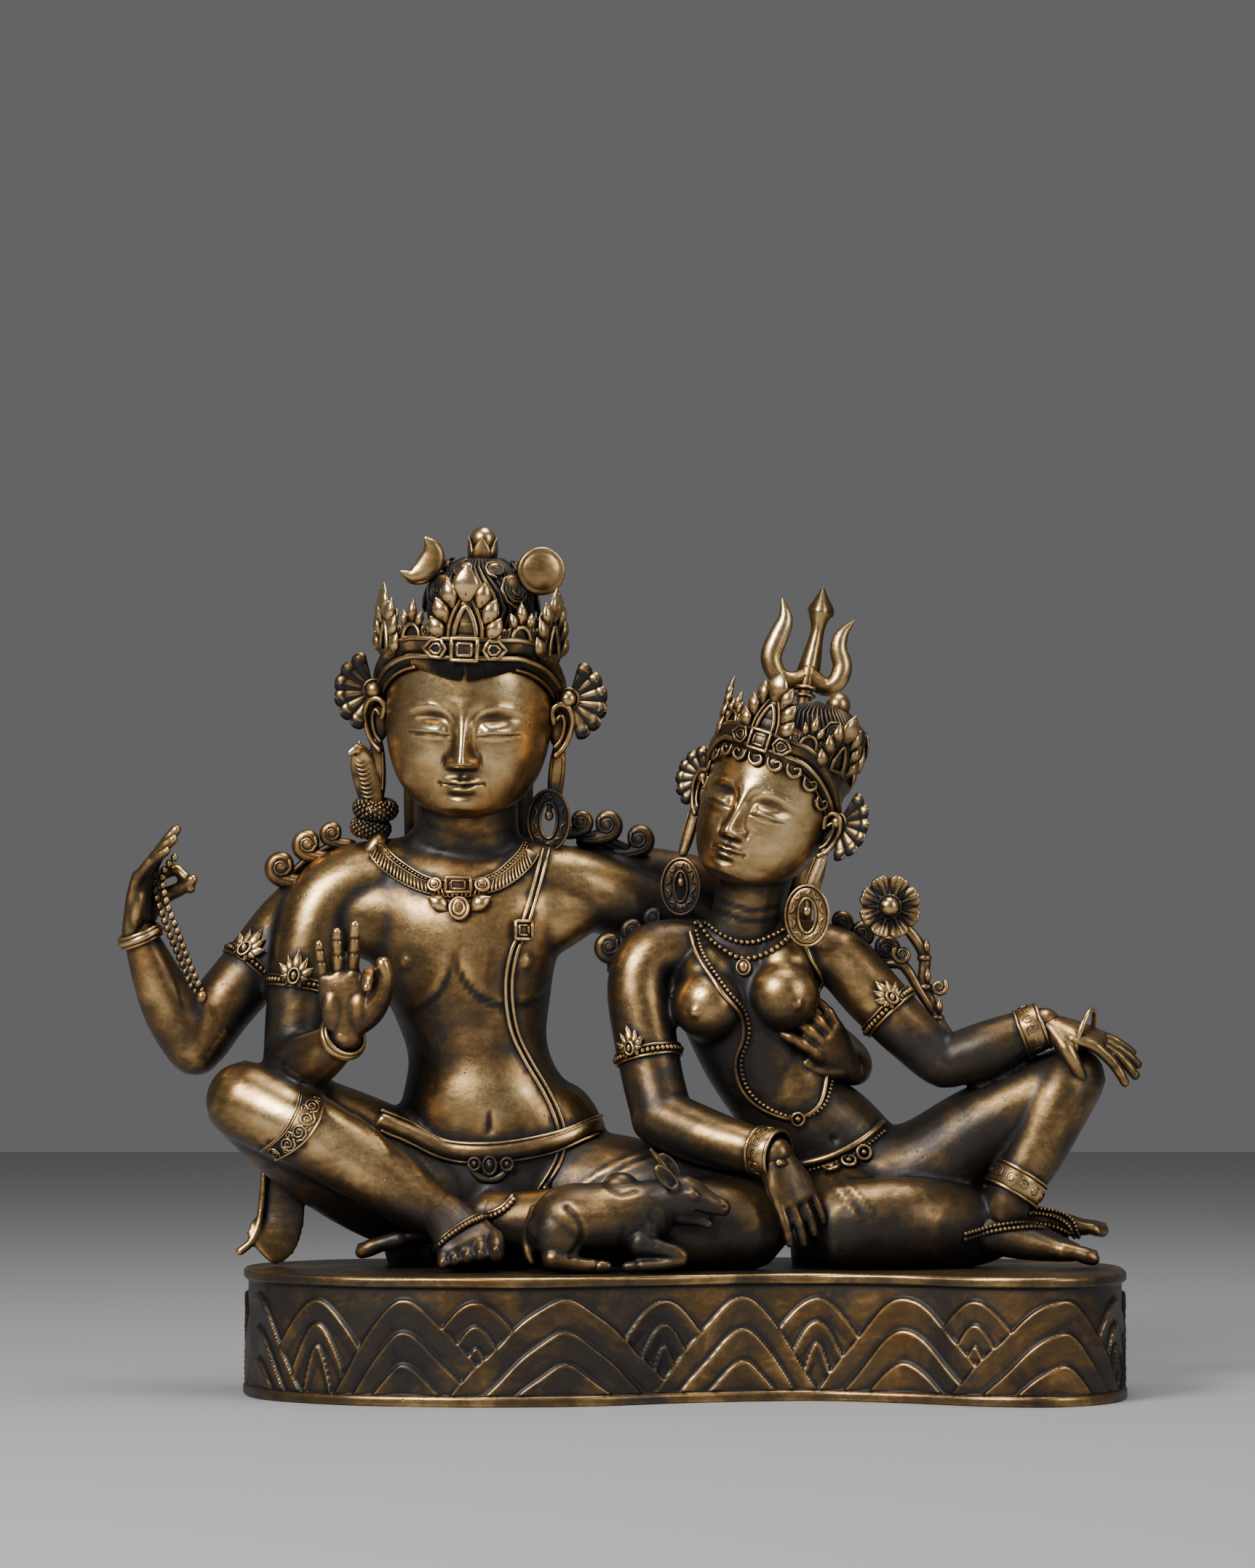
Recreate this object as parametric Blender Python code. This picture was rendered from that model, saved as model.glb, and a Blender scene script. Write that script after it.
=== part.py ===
"""A bronze group on one plinth: a seated four-armed god, his consort leaning beside him, a
kneeling bull and a trident. Metres, +Z up, the front faces -Y, and the origin is the centre of
the plinth's underside."""

import math

import bmesh
import bpy
from mathutils import Matrix, Vector

# Driving sizes, in metres
PLINTH_LENGTH = 0.448
PLINTH_DEPTH = 0.192
PLINTH_HEIGHT = 0.064
FIGURES_HEIGHT = 0.384
RIM_HEIGHT = 0.0060
RIM_PROUD = 0.0024
FOOT_HEIGHT = 0.0056
FOOT_PROUD = 0.0026
RELIEF_STEP = 0.0020
GAP = 0.0004

# The plinth's outline in plan, as shares of its length and depth, and its relief: mountains by
# the place of their peak along the length and the reach of their left and right slopes, as
# shares of the length, with small mounds between them. Layers go by height and width.
OUTLINE = (
    (-0.5, 0.03), (-0.474, -0.235), (-0.39, -0.406), (-0.29, -0.479), (-0.2, -0.495), (-0.1, -0.458),
    (0.01, -0.35), (0.138, -0.286), (0.245, -0.36), (0.333, -0.469), (0.413, -0.49), (0.478, -0.339),
    (0.5, -0.052), (0.484, 0.208), (0.4, 0.396), (0.222, 0.479), (0.0, 0.5), (-0.222, 0.479),
    (-0.4, 0.396), (-0.484, 0.219),
)
PEAKS = (
    (-0.480, 0.103, 0.080), (-0.315, 0.080, 0.116), (-0.134, 0.129, 0.134), (0.068, 0.112, 0.083),
    (0.246, 0.103, 0.118), (0.416, 0.129, 0.103),
)
END_PEAKS = ((-0.192, 0.100, 0.089), (0.188, 0.094, 0.100))
LAYERS = ((0.90, 1.0), (0.60, 0.70), (0.30, 0.42))
MOUNDS = ((0.88, 0.054), (0.62, 0.031))

# The figures are drawn in centimetres on an elevation seen in perspective from the front. EYE is
# that viewpoint, DECK the plinth's top on the drawing and TALL the drawn height above it.
EYE = Vector((-2.88, -250.0, 20.0))
DECK = 6.4
TALL = 38.4
UNIT = FIGURES_HEIGHT / TALL

# How finely the clay of the solids is cut
VOXEL = 0.0016
SHIVA_FACES = 3300
PARVATI_FACES = 2650
BULL_FACES = 520
TRIDENT_FACES = 280
DEPTH = Vector((0.0, 1.0, 0.0))
UP = Vector((0.0, 0.0, 1.0))


def at(x, z, y):
    """The place, in drawing units, at depth y that shows at (x, z) on the elevation."""
    reach = (y - EYE.y) / -EYE.y
    return Vector((EYE.x + (x - EYE.x) * reach, y, EYE.z + (z - EYE.z) * reach))


def curve_through(knots, steps):
    """Points on a smooth curve through the knots, which are equal-length tuples."""
    found = []
    last = len(knots) - 1
    for i in range(last):
        before, start, end, after = (knots[max(0, min(last, i + k))] for k in (-1, 0, 1, 2))
        for step in range(steps):
            t = step / steps
            found.append(tuple(
                0.5 * (2 * b + (c - a) * t + (2 * a - 5 * b + 4 * c - d) * t * t
                       + (3 * b - a - 3 * c + d) * t ** 3)
                for a, b, c, d in zip(before, start, end, after)
            ))
    found.append(tuple(knots[last]))
    return found


def loft(clay, stations, face=DEPTH, sides=12, steps=3, closed=False):
    """A round-ended limb through stations of (point, half width, half thickness). The thickness
    runs along face, as near as the limb's own direction lets it."""
    knots = [(*point, wide, thick) for point, wide, thick in stations]
    if closed:
        knots.append(knots[0])
    run = [(Vector(k[:3]), max(k[3], 0.01), max(k[4], 0.01)) for k in curve_through(knots, steps)]
    if closed:
        run.pop()
    rings = []
    side = None
    for i, (point, wide, thick) in enumerate(run):
        ahead = run[(i + 1) % len(run)][0] if closed else run[min(i + 1, len(run) - 1)][0]
        back = run[i - 1][0] if closed or i else run[0][0]
        along = (ahead - back).normalized()
        across = along.cross(face)
        if across.length < 0.25 and side is not None:
            across = side - along * side.dot(along)
        elif across.length < 1e-3:
            across = along.cross(UP)
        if side is not None and across.dot(side) < 0:
            across = -across
        side = across.normalized()
        rings.append((point, along, side, wide, thick))
    if not closed:
        rings = rounded(rings, 0) + rings + rounded(rings, -1)
    loops = []
    for point, along, side, wide, thick in rings:
        depth = side.cross(along)
        matrix = Matrix((side * wide, depth * thick, along)).transposed().to_4x4()
        matrix.translation = point
        verts = bmesh.ops.create_circle(clay, segments=sides, radius=1.0, matrix=matrix)["verts"]
        loops.append(list({edge for vert in verts for edge in vert.link_edges}))
    pairs = list(zip(loops, loops[1:]))
    if closed:
        pairs.append((loops[-1], loops[0]))
    for first, second in pairs:
        bmesh.ops.bridge_loops(clay, edges=first + second)
    if not closed:
        bmesh.ops.edgeloop_fill(clay, edges=loops[0])
        bmesh.ops.edgeloop_fill(clay, edges=loops[-1])


def rounded(rings, end):
    """Rings that close a limb's end in a half ellipsoid."""
    point, along, side, wide, thick = rings[end]
    reach = min(wide, thick) * (-1 if end == 0 else 1)
    found = []
    for turn in (30, 58, 80):
        lean = math.radians(turn)
        share = math.cos(lean)
        found.append((point + along * reach * math.sin(lean), along, side, wide * share, thick * share))
    return found[::-1] if end == 0 else found


def ball(clay, point, x, y=None, z=None, turn=None):
    """An ellipsoid with those half sizes, turned by a matrix."""
    y, z = (x if y is None else y), (x if z is None else z)
    matrix = Matrix.Translation(point) @ (turn or Matrix()) @ Matrix.Diagonal((x, y, z, 1.0))
    bmesh.ops.create_uvsphere(clay, u_segments=14, v_segments=9, radius=1.0, matrix=matrix)


def limb(clay, *stations, **how):
    """A limb drawn on the elevation, by (x, z, depth, half width[, half thickness])."""
    loft(clay, [(at(*s[:3]), s[3], s[4] if len(s) > 4 else s[3]) for s in stations], **how)


def leaf(clay, base, tip, wide, thick, face):
    """A pointed petal from base to tip, with its flat side towards face."""
    shape = ((0.0, 0.55), (0.3, 1.0), (0.62, 0.8), (0.88, 0.34), (1.0, 0.12))
    loft(clay, [(base.lerp(tip, t), wide * w, thick * max(w, 0.45)) for t, w in shape],
         face=face, sides=8, steps=2)


def hoop(clay, centre, normal, wide, high, thick, up=UP, sides=8, count=14):
    """A closed ring of round section about a centre."""
    across = up.cross(normal).normalized()
    rise = normal.cross(across).normalized()
    turns = [2 * math.pi * i / count for i in range(count)]
    loft(clay, [(centre + across * wide * math.cos(a) + rise * high * math.sin(a), thick, thick)
                for a in turns], face=normal, sides=sides, steps=1, closed=True)


def bangle(clay, start, end, share, radius, thick):
    """A ring worn on a limb that runs from start to end."""
    along = (end - start).normalized()
    up = UP if abs(along.z) < 0.9 else DEPTH
    hoop(clay, start.lerp(end, share), along, radius, radius, thick, up=up)


def merge(clay, part, matrix):
    """Adds a part that was modelled in its own frame, and frees it."""
    bmesh.ops.transform(part, matrix=matrix, verts=part.verts)
    mesh = bpy.data.meshes.new("part")
    part.to_mesh(mesh)
    part.free()
    clay.from_mesh(mesh)
    bpy.data.meshes.remove(mesh)


def frame_from(along, face, point, scale=1.0):
    """A placing whose Z runs along and whose -Y looks towards face."""
    z = along.normalized()
    y = -(face - z * face.dot(z)).normalized()
    x = y.cross(z)
    matrix = (Matrix((x, y, z)).transposed() * scale).to_4x4()
    matrix.translation = point
    return matrix


def hand(clay, matrix, side, fingers, thumb, palm=(0.95, 1.0, 2.6)):
    """A hand in its own frame: wrist at the origin, fingers up Z and the palm towards -Y. Fingers
    are (spread, curls) in degrees, from the index on; thumb is a list of points."""
    part = bmesh.new()
    narrow, broad, length = palm
    loft(part, [(Vector((0, 0, -0.3)), 0.72, 0.55), (Vector((0, 0, 0.6)), narrow, 0.5),
                (Vector((0, 0, 0.6 * length)), broad * 1.3, 0.46),
                (Vector((0, 0, length)), broad * 1.25, 0.34)], sides=14)
    for i, (spread, curls, size) in enumerate(fingers):
        base = Vector((side * (0.96 - 0.64 * i) * broad, 0.0, length - 0.25 - 0.1 * abs(i - 1)))
        lean = math.radians(spread)
        stations = [(base, 0.3, 0.28)]
        bend = 0.0
        for k, curl in enumerate(curls):
            bend += math.radians(curl)
            reach = size * (1.15, 0.85, 0.7)[k]
            base = base + Vector((math.sin(lean) * math.cos(bend), -math.sin(bend),
                                  math.cos(lean) * math.cos(bend))) * reach
            stations.append((base.copy(), 0.29 - 0.03 * k, 0.27 - 0.03 * k))
        loft(part, stations, sides=8)
    loft(part, [(Vector((side * x, y, z)), r, r) for x, y, z, r in thumb], sides=8)
    merge(clay, part, matrix)


# The heads are drawn in their own frame, in centimetres: origin between the eyes' corners inside
# the head, X to the viewer's right, -Y forward, Z up
FACE = (
    (-4.5, 1.2, 1.0, -2.3), (-4.05, 2.25, 2.0, -1.6), (-3.1, 3.3, 3.1, -0.8),
    (-1.6, 4.0, 3.8, -0.35), (0.0, 4.3, 4.15, -0.1), (1.7, 4.35, 4.35, 0.1),
    (3.3, 4.15, 4.3, 0.3), (4.5, 3.4, 3.7, 0.4), (5.2, 2.2, 2.5, 0.5),
)


def head(part):
    """The bare head with brows, lids, nose, lips, chin and long-lobed ears."""
    loft(part, [(Vector((0, y, z)), wide, deep) for z, wide, deep, y in FACE], sides=24)
    loft(part, [(Vector((0, y, z)), wide, deep) for y, z, wide, deep in (
        (-3.95, 0.7, 0.34, 0.5), (-4.15, -0.2, 0.36, 0.5), (-4.45, -1.1, 0.46, 0.55),
        (-4.45, -1.6, 0.58, 0.5))], sides=10)
    for side in (-1, 1):
        ball(part, Vector((side * 0.62, -4.15, -1.7)), 0.36, 0.42, 0.3)
        ball(part, Vector((side * 1.75, -3.5, -0.15)), 1.15, 0.55, 0.5)
        ball(part, Vector((side * 0.42, -4.0, -2.62)), 0.6, 0.36, 0.2)
        loft(part, [(Vector((side * x, y, z)), 0.14, 0.2) for x, y, z in (
            (0.35, -4.2, 0.45), (1.2, -4.2, 1.0), (2.3, -3.8, 1.15), (3.3, -2.9, 0.6))], sides=6)
        ear(part, side)
    ball(part, Vector((0, -3.95, -3.02)), 0.7, 0.4, 0.26)
    ball(part, Vector((0, -3.1, -4.0)), 1.05, 0.85, 0.7)


def ear(part, side):
    """A flat ear with a raised rim and a long stretched lobe."""
    x = 4.35 * side
    ball(part, Vector((x, 0.0, 0.0)), 0.35, 0.55, 1.4)
    loft(part, [(Vector((x + side * out, y, z)), 0.24, 0.26) for out, y, z in (
        (-0.1, -0.5, 0.5), (0.35, -0.35, 1.2), (0.6, 0.25, 1.3), (0.6, 0.6, 0.4),
        (0.3, 0.35, -0.9), (0.1, 0.0, -1.8), (0.0, 0.0, -2.7), (0.1, 0.0, -3.4))], sides=6)


def crown(part, lift, sag, bun):
    """The diadem's band, its five leaves with their petals, and the dressed hair behind them."""
    def rim(turn):
        lean = math.radians(turn)
        drop = max(0.0, abs(turn) - 34) / 56
        return Vector((4.65 * math.sin(lean), 0.2 - 4.75 * math.cos(lean), lift - sag * drop ** 1.5))
    band = [rim(turn) for turn in range(-96, 97, 12)]
    loft(part, [(point, 0.72, 0.32) for point in band], face=Vector((0, 0.9, 0.3)), sides=8, steps=1)
    ball(part, Vector((0, 0.5, lift - 0.9)), 4.4, 4.5, 2.4)
    ball(part, bun[0], *bun[1])
    for turn, wide, tall in ((0, 1.7, 4.0), (42, 1.25, 2.3), (-42, 1.25, 2.3), (78, 1.5, 3.5),
                             (-78, 1.5, 3.5)):
        base = rim(turn)
        base.z = max(base.z, lift - 0.5) + 0.4
        face = Vector((math.sin(math.radians(turn)), -math.cos(math.radians(turn)), 0))
        flare = face * 0.1 * tall
        across = UP.cross(face)
        leaf(part, base, base + UP * tall + flare, wide * 0.62, 0.36, face)
        for way in (-1, 1):
            for k, (out, rise, size) in enumerate(((0.95, 0.42, 0.5), (0.72, 0.72, 0.42))):
                foot_of = base + across * way * wide * 0.35 + UP * tall * 0.2 * k
                tip = base + across * way * wide * out + UP * tall * rise + flare * rise
                leaf(part, foot_of, tip, wide * size * 0.8, 0.3, face)


def fan(part, centre, side, radius, face):
    """A pleated ribbon rosette spread out behind the ear, with a round boss."""
    for i in range(7):
        lean = math.radians(-68 + 136 * i / 6)
        out = Vector((side * math.cos(lean), 0, math.sin(lean)))
        loft(part, [(centre + out * 0.2, 0.1, 0.16), (centre + out * radius * 0.6, 0.26, 0.16),
                    (centre + out * radius, 0.46, 0.14)], face=face, sides=8, steps=2)
    ball(part, centre - DEPTH * 0.15, 0.42)


def curls(clay, *knobs):
    """A lock of hair along the shoulder that ends in round curls, by (x, z, depth, radius)."""
    for (x, z, y, r) in knobs:
        ball(clay, at(x, z, y), r, r * 0.85, r)
    limb(clay, *[(x + 0.15, z - r * 0.75, y, 0.34) for x, z, y, r in knobs], sides=8)


def shiva(clay):
    """The four-armed figure, seated with the right knee raised."""
    limb(clay, (-9.8, 6.6, 3.3, 5.7, 3.7), (-9.6, 10.6, 3.2, 6.3, 4.0), (-9.75, 13.0, 2.9, 5.85, 3.6),
         (-10.3, 15.1, 2.6, 4.45, 3.25), (-10.6, 17.5, 2.5, 3.65, 2.85), (-10.9, 20.0, 2.4, 4.15, 3.05),
         (-11.2, 22.2, 2.2, 4.85, 3.3), (-11.3, 24.4, 2.2, 5.5, 3.25), (-11.3, 26.3, 2.3, 5.7, 2.6),
         (-11.3, 27.7, 2.4, 4.4, 2.0), (-11.3, 28.6, 2.2, 2.9, 2.1), (-11.3, 29.8, 1.9, 2.6, 2.4),
         (-11.3, 31.2, 1.6, 2.6, 2.4), sides=24)
    # Shoulders, the two right arms and the two left arms
    limb(clay, (-14.5, 26.6, 2.4, 2.0), (-17.3, 26.0, 2.3, 2.2), (-18.9, 24.9, 1.9, 2.1),
         (-19.5, 22.6, 1.4, 1.85), (-19.9, 19.8, 1.1, 1.75), (-20.1, 17.0, 0.9, 1.7))
    limb(clay, (-20.1, 16.7, 0.9, 1.65), (-19.4, 16.9, -1.2, 1.5), (-18.3, 17.6, -3.2, 1.2),
         (-17.5, 18.3, -4.4, 0.95))
    limb(clay, (-17.5, 25.8, 3.0, 2.0), (-19.9, 24.5, 3.3, 1.8), (-22.0, 22.0, 3.0, 1.75),
         (-24.0, 19.6, 2.4, 1.7), (-25.0, 18.1, 1.9, 1.65))
    limb(clay, (-25.2, 17.7, 1.8, 1.5), (-26.3, 19.4, 1.4, 1.5), (-27.3, 21.6, 0.9, 1.25),
         (-28.1, 23.6, 0.5, 0.85))
    limb(clay, (-8.2, 26.6, 2.4, 2.0), (-5.6, 25.9, 2.8, 2.1), (-3.0, 25.1, 3.6, 1.9),
         (0.2, 23.6, 5.0, 1.75), (3.0, 21.2, 6.0, 1.6), (6.0, 18.9, 5.8, 1.4), (8.4, 17.2, 4.2, 1.15),
         (8.8, 16.6, 2.2, 0.95))
    limb(clay, (-6.5, 26.4, 3.4, 1.7), (-3.2, 26.6, 4.8, 1.6), (0.4, 26.2, 6.4, 1.5),
         (3.6, 25.0, 7.6, 1.45), (5.3, 25.0, 7.8, 1.35), (6.3, 27.4, 7.5, 1.2), (6.7, 29.6, 7.0, 0.85),
         (6.7, 30.6, 6.8, 0.85))
    # Legs and feet
    limb(clay, (-11.5, 10.2, 3.0, 3.6), (-14.6, 10.9, 2.2, 3.5), (-17.8, 12.4, 1.3, 3.3),
         (-20.6, 13.9, 0.4, 2.8), (-22.5, 14.9, -0.4, 2.15))
    limb(clay, (-22.5, 14.9, -0.9, 2.1), (-19.8, 13.6, -1.9, 2.0), (-16.6, 11.7, -2.4, 1.85),
         (-14.0, 9.9, -2.8, 1.5), (-12.0, 8.7, -3.0, 1.15))
    foot(clay, at(-12.1, 8.7, -2.9), at(-10.6, 7.05, -5.2), 1.5, UP, 1.75, True)
    limb(clay, (-7.0, 10.2, 3.0, 3.6), (-3.2, 10.0, 1.6, 3.2), (0.2, 9.5, 0.1, 2.85),
         (2.4, 9.1, -1.2, 2.6), (3.4, 8.9, -1.9, 2.35))
    limb(clay, (3.2, 8.6, -2.2, 2.45, 2.2), (-1.0, 8.5, -3.2, 2.3, 2.1), (-5.2, 8.6, -3.1, 2.0, 1.8),
         (-8.4, 8.7, -2.3, 1.6, 1.4), (-9.9, 9.1, -1.8, 1.25))
    foot(clay, at(-10.0, 9.2, -1.7), at(-16.4, 7.3, -0.9), 1.1, UP, 1.2, False)
    # The belt, the hem of the waistcloth and the sash's tail behind the raised knee
    limb(clay, (-15.7, 13.9, 2.6, 0.34), (-14.4, 13.3, -0.1, 0.36), (-10.2, 12.5, -1.2, 0.36),
         (-5.9, 12.6, -0.2, 0.36), (-3.9, 13.0, 2.6, 0.34), face=UP)
    limb(clay, (-20.3, 11.0, 1.9, 1.3, 0.3), (-20.9, 9.4, 2.0, 1.3, 0.28),
         (-21.3, 8.0, 1.8, 1.35, 0.28), (-22.1, 7.3, 1.5, 1.2, 0.26), sides=10)
    # Bangles, armlets and anklets
    bangle(clay, at(-27.3, 21.6, 0.9), at(-28.1, 23.6, 0.5), 0.9, 1.05, 0.26)
    bangle(clay, at(-18.3, 17.6, -3.2), at(-17.5, 18.3, -4.4), 0.9, 1.15, 0.26)
    armlet(clay, at(-19.5, 22.6, 1.4), at(-19.9, 19.8, 1.1), 0.55, 1.85, -0.6)
    armlet(clay, at(-22.0, 22.0, 3.0), at(-24.0, 19.6, 2.4), 0.05, 1.8, -2.4)
    bangle(clay, at(-12.6, 9.0, -2.9), at(-11.3, 7.6, -4.4), 0.75, 1.55, 0.26)
    # The raised right hand, the open right hand and the two left hands
    fingers = [(8, (58, 50, 25), 0.95), (2, (2, 4, 2), 1.0), (-4, (2, 3, 2), 0.95), (-12, (0, 4, 2), 0.8)]
    thumb = [(0.75, 0.0, 0.7, 0.48), (1.35, -0.4, 1.4, 0.4), (1.45, -0.95, 2.1, 0.34), (1.3, -1.3, 2.7, 0.3)]
    hand(clay, frame_from(Vector((0.0, -0.12, 1)), Vector((0.05, -1, -0.1)), at(-17.4, 18.5, -4.7), 1.12),
         1, fingers, thumb)
    fingers = [(4, (52, 62, 30), 0.95), (0, (14, 10, 8), 1.0), (-3, (22, 12, 8), 0.95),
               (-8, (30, 14, 8), 0.85)]
    thumb = [(0.6, -0.1, 0.8, 0.45), (1.0, -0.7, 1.6, 0.38), (1.0, -1.4, 2.1, 0.32), (0.9, -1.9, 2.6, 0.28)]
    hand(clay, frame_from(Vector((0.2, -0.08, 1)), Vector((1, -0.35, 0.15)), at(-28.3, 23.9, 0.4), 1.14),
         1, fingers, thumb)
    fingers = [(6, (10, 26, 18), 0.85), (1, (8, 26, 18), 0.9), (-4, (8, 26, 18), 0.85),
               (-10, (8, 26, 18), 0.75)]
    thumb = [(0.7, 0, 0.7, 0.4), (1.3, -0.2, 1.3, 0.34), (1.5, -0.4, 2.1, 0.3)]
    hand(clay, frame_from(Vector((-0.5, -0.75, 0.9)), Vector((-0.5, 0.6, 0.1)), at(8.5, 16.7, 1.4), 0.95),
         1, fingers, thumb)
    fingers = [(4, (70, 75, 50), 0.8), (0, (72, 75, 50), 0.85), (-3, (74, 75, 50), 0.8), (-6, (76, 75, 50), 0.7)]
    thumb = [(0.7, 0, 0.5, 0.4), (0.9, -0.8, 1.0, 0.34), (0.3, -1.3, 1.3, 0.3)]
    hand(clay, frame_from(Vector((-0.1, -0.55, 1)), Vector((0, -1, -0.6)), at(6.7, 30.7, 6.8), 0.9),
         -1, fingers, thumb, palm=(0.85, 0.95, 2.0))
    rosary(clay)
    curls(clay, (-20.7, 27.0, 2.4, 0.62), (-19.35, 28.2, 2.4, 0.6), (-18.1, 28.75, 2.4, 0.5))
    curls(clay, (-5.35, 29.3, 2.8, 0.48), (-4.0, 29.2, 3.2, 0.6), (-2.35, 28.45, 3.8, 0.6))
    part = bmesh.new()
    head(part)
    crown(part, 4.0, 1.9, (Vector((0.4, 0.9, 6.2)), (2.8, 2.8, 2.7)))
    for turn in range(0, 360, 60):
        lean = math.radians(turn)
        out = Vector((math.sin(lean), -math.cos(lean), 0))
        foot_of = Vector((0.4, 0.9, 8.7)) + out * 0.5
        leaf(part, foot_of, foot_of + UP * 0.95 + out * 0.05, 0.42, 0.24, out)
    ball(part, Vector((0.4, 0.9, 9.5)), 0.7, 0.7, 0.98)
    sun_and_moon(part)
    fan(part, Vector((-4.9, -0.2, 1.5)), -1, 2.0, DEPTH)
    fan(part, Vector((5.1, -0.2, 1.4)), 1, 2.0, DEPTH)
    hoop(part, Vector((4.4, -0.3, -4.6)), DEPTH, 0.75, 1.25, 0.36)
    snake(part)
    merge(clay, part, head_place(-11.1, 34.3, 1.6, -2.0, 2.0, 6.0, (1.0, 1.0, 1.0)))
    # The back: hair falls in locks between the shoulders
    for i in range(-2, 3):
        x = -11.1 + i * 1.3
        limb(clay, (x, 32.0, 4.2, 0.8), (x * 1.02, 28.5, 4.9, 0.75), (x * 1.03, 25.5, 5.2, 0.6),
             (x * 1.03, 23.6, 5.2, 0.4), sides=8)


def head_place(x, z, y, turn, tilt, nod, size):
    """Where a head sits: turned to its right, tilted to one side and nodding, in degrees."""
    matrix = (Matrix.Rotation(math.radians(tilt), 4, "Y") @ Matrix.Rotation(math.radians(turn), 4, "Z")
              @ Matrix.Rotation(math.radians(nod), 4, "X") @ Matrix.Diagonal((*size, 1.0)))
    return Matrix.Translation(at(x, z, y)) @ matrix


def sun_and_moon(part):
    """The crescent and the disc that stand on either side of the bun, on short stems."""
    sun = Vector((3.6, -0.4, 8.2))
    ball(part, sun, 1.28, 0.36, 1.28, Matrix.Rotation(math.radians(14), 4, "Z"))
    loft(part, [(sun + Vector((-0.6, 0.3, -0.6)), 0.3, 0.3), (Vector((1.6, 0.8, 6.5)), 0.35, 0.35)], sides=8)
    moon = Vector((-2.45, -0.4, 8.85))
    arc = [math.radians(turn) for turn in (100, 55, 10, -35, -80, -125, -170)]
    widths = (0.14, 0.34, 0.5, 0.56, 0.5, 0.34, 0.14)
    loft(part, [(moon + Vector((math.cos(a), 0, math.sin(a))) * 0.92, w, 0.32)
                for a, w in zip(arc, widths)], sides=8, steps=2)
    loft(part, [(moon + Vector((0.55, 0.1, -0.65)), 0.25, 0.25), (Vector((-0.9, 0.8, 7.2)), 0.3, 0.3)], sides=8)


def snake(part):
    """The hooded snake coiled round the right ear's lobe."""
    top = Vector((-5.2, -0.4, -2.6))
    loft(part, [(top + Vector(p), w, d) for p, w, d in (
        ((-0.85, -0.3, 1.75), 0.28, 0.3), ((-0.6, 0.0, 1.45), 0.5, 0.25), ((-0.35, 0.1, 0.8), 0.55, 0.25),
        ((0.0, 0.1, 0.0), 0.4, 0.3))], sides=8)
    for drop, wide in ((-0.5, 0.85), (-1.35, 0.75)):
        ball(part, top + Vector((0.25, 0, drop)), wide, 0.8, 0.5)
    loft(part, [(top + Vector(p), w, w) for p, w in (
        ((0.5, -0.2, -1.9), 0.6), ((0.1, -0.5, -2.6), 0.48), ((-0.3, -0.7, -3.3), 0.2))], sides=8)


def rosary(clay):
    """The string of beads that hangs from the raised hand in a long narrow loop."""
    beads = [(-27.2, 26.8, 0.0), (-26.7, 25.2, -0.3), (-26.1, 23.6, -0.5), (-25.5, 22.0, -0.6),
             (-24.8, 20.2, -0.7)]
    limb(clay, *[(x, z, y, 0.34) for x, z, y in beads], sides=8)
    limb(clay, *[(x - 0.45 + 0.1 * i, z - 0.3, y + 0.5, 0.32) for i, (x, z, y) in enumerate(beads)], sides=8)


def armlet(clay, start, end, share, radius, lean):
    """A band with a leaf-shaped crest, worn on the upper arm."""
    bangle(clay, start, end, share, radius, 0.22)
    along = (start - end).normalized()
    face = Vector((lean * 0.3, -1, 0.0)).normalized()
    seat = start.lerp(end, share) + face * radius
    across = along.cross(face).normalized()
    leaf(clay, seat - along * 0.5, seat + along * 1.35, 0.5, 0.3, face)
    for way in (-1, 1):
        leaf(clay, seat - along * 0.4, seat + along * 0.75 + across * way * 0.75, 0.4, 0.28, face)
        leaf(clay, seat, seat - along * 0.75 + across * way * 0.4, 0.35, 0.28, face)


def foot(clay, heel, toe, wide, up, high, spread):
    """A bare foot from the ankle to the toes' tips."""
    along = (toe - heel).normalized()
    across = along.cross(up).normalized()
    length = (toe - heel).length
    loft(clay, [(heel - along * 0.2, wide * 0.8, high * 0.7), (heel + along * length * 0.35, wide * 0.9, high * 0.62),
                (heel + along * length * 0.75, wide * 1.1, high * 0.4)], face=up, sides=12)
    for i in range(5):
        way = (i - 2) * wide * 0.42 * (1 if spread else -1)
        size = (0.48, 0.4, 0.37, 0.35, 0.33)[4 - i if spread else i]
        start = heel + along * length * 0.7 + across * way * 0.8
        tip = toe + across * way - along * (0.12 * (4 - i) if spread else 0.12 * i)
        loft(clay, [(start, size, size), (start.lerp(tip, 0.6) + up * 0.05, size, size * 0.9),
                    (tip - up * 0.1, size * 0.85, size * 0.8)], face=up, sides=8)


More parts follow.
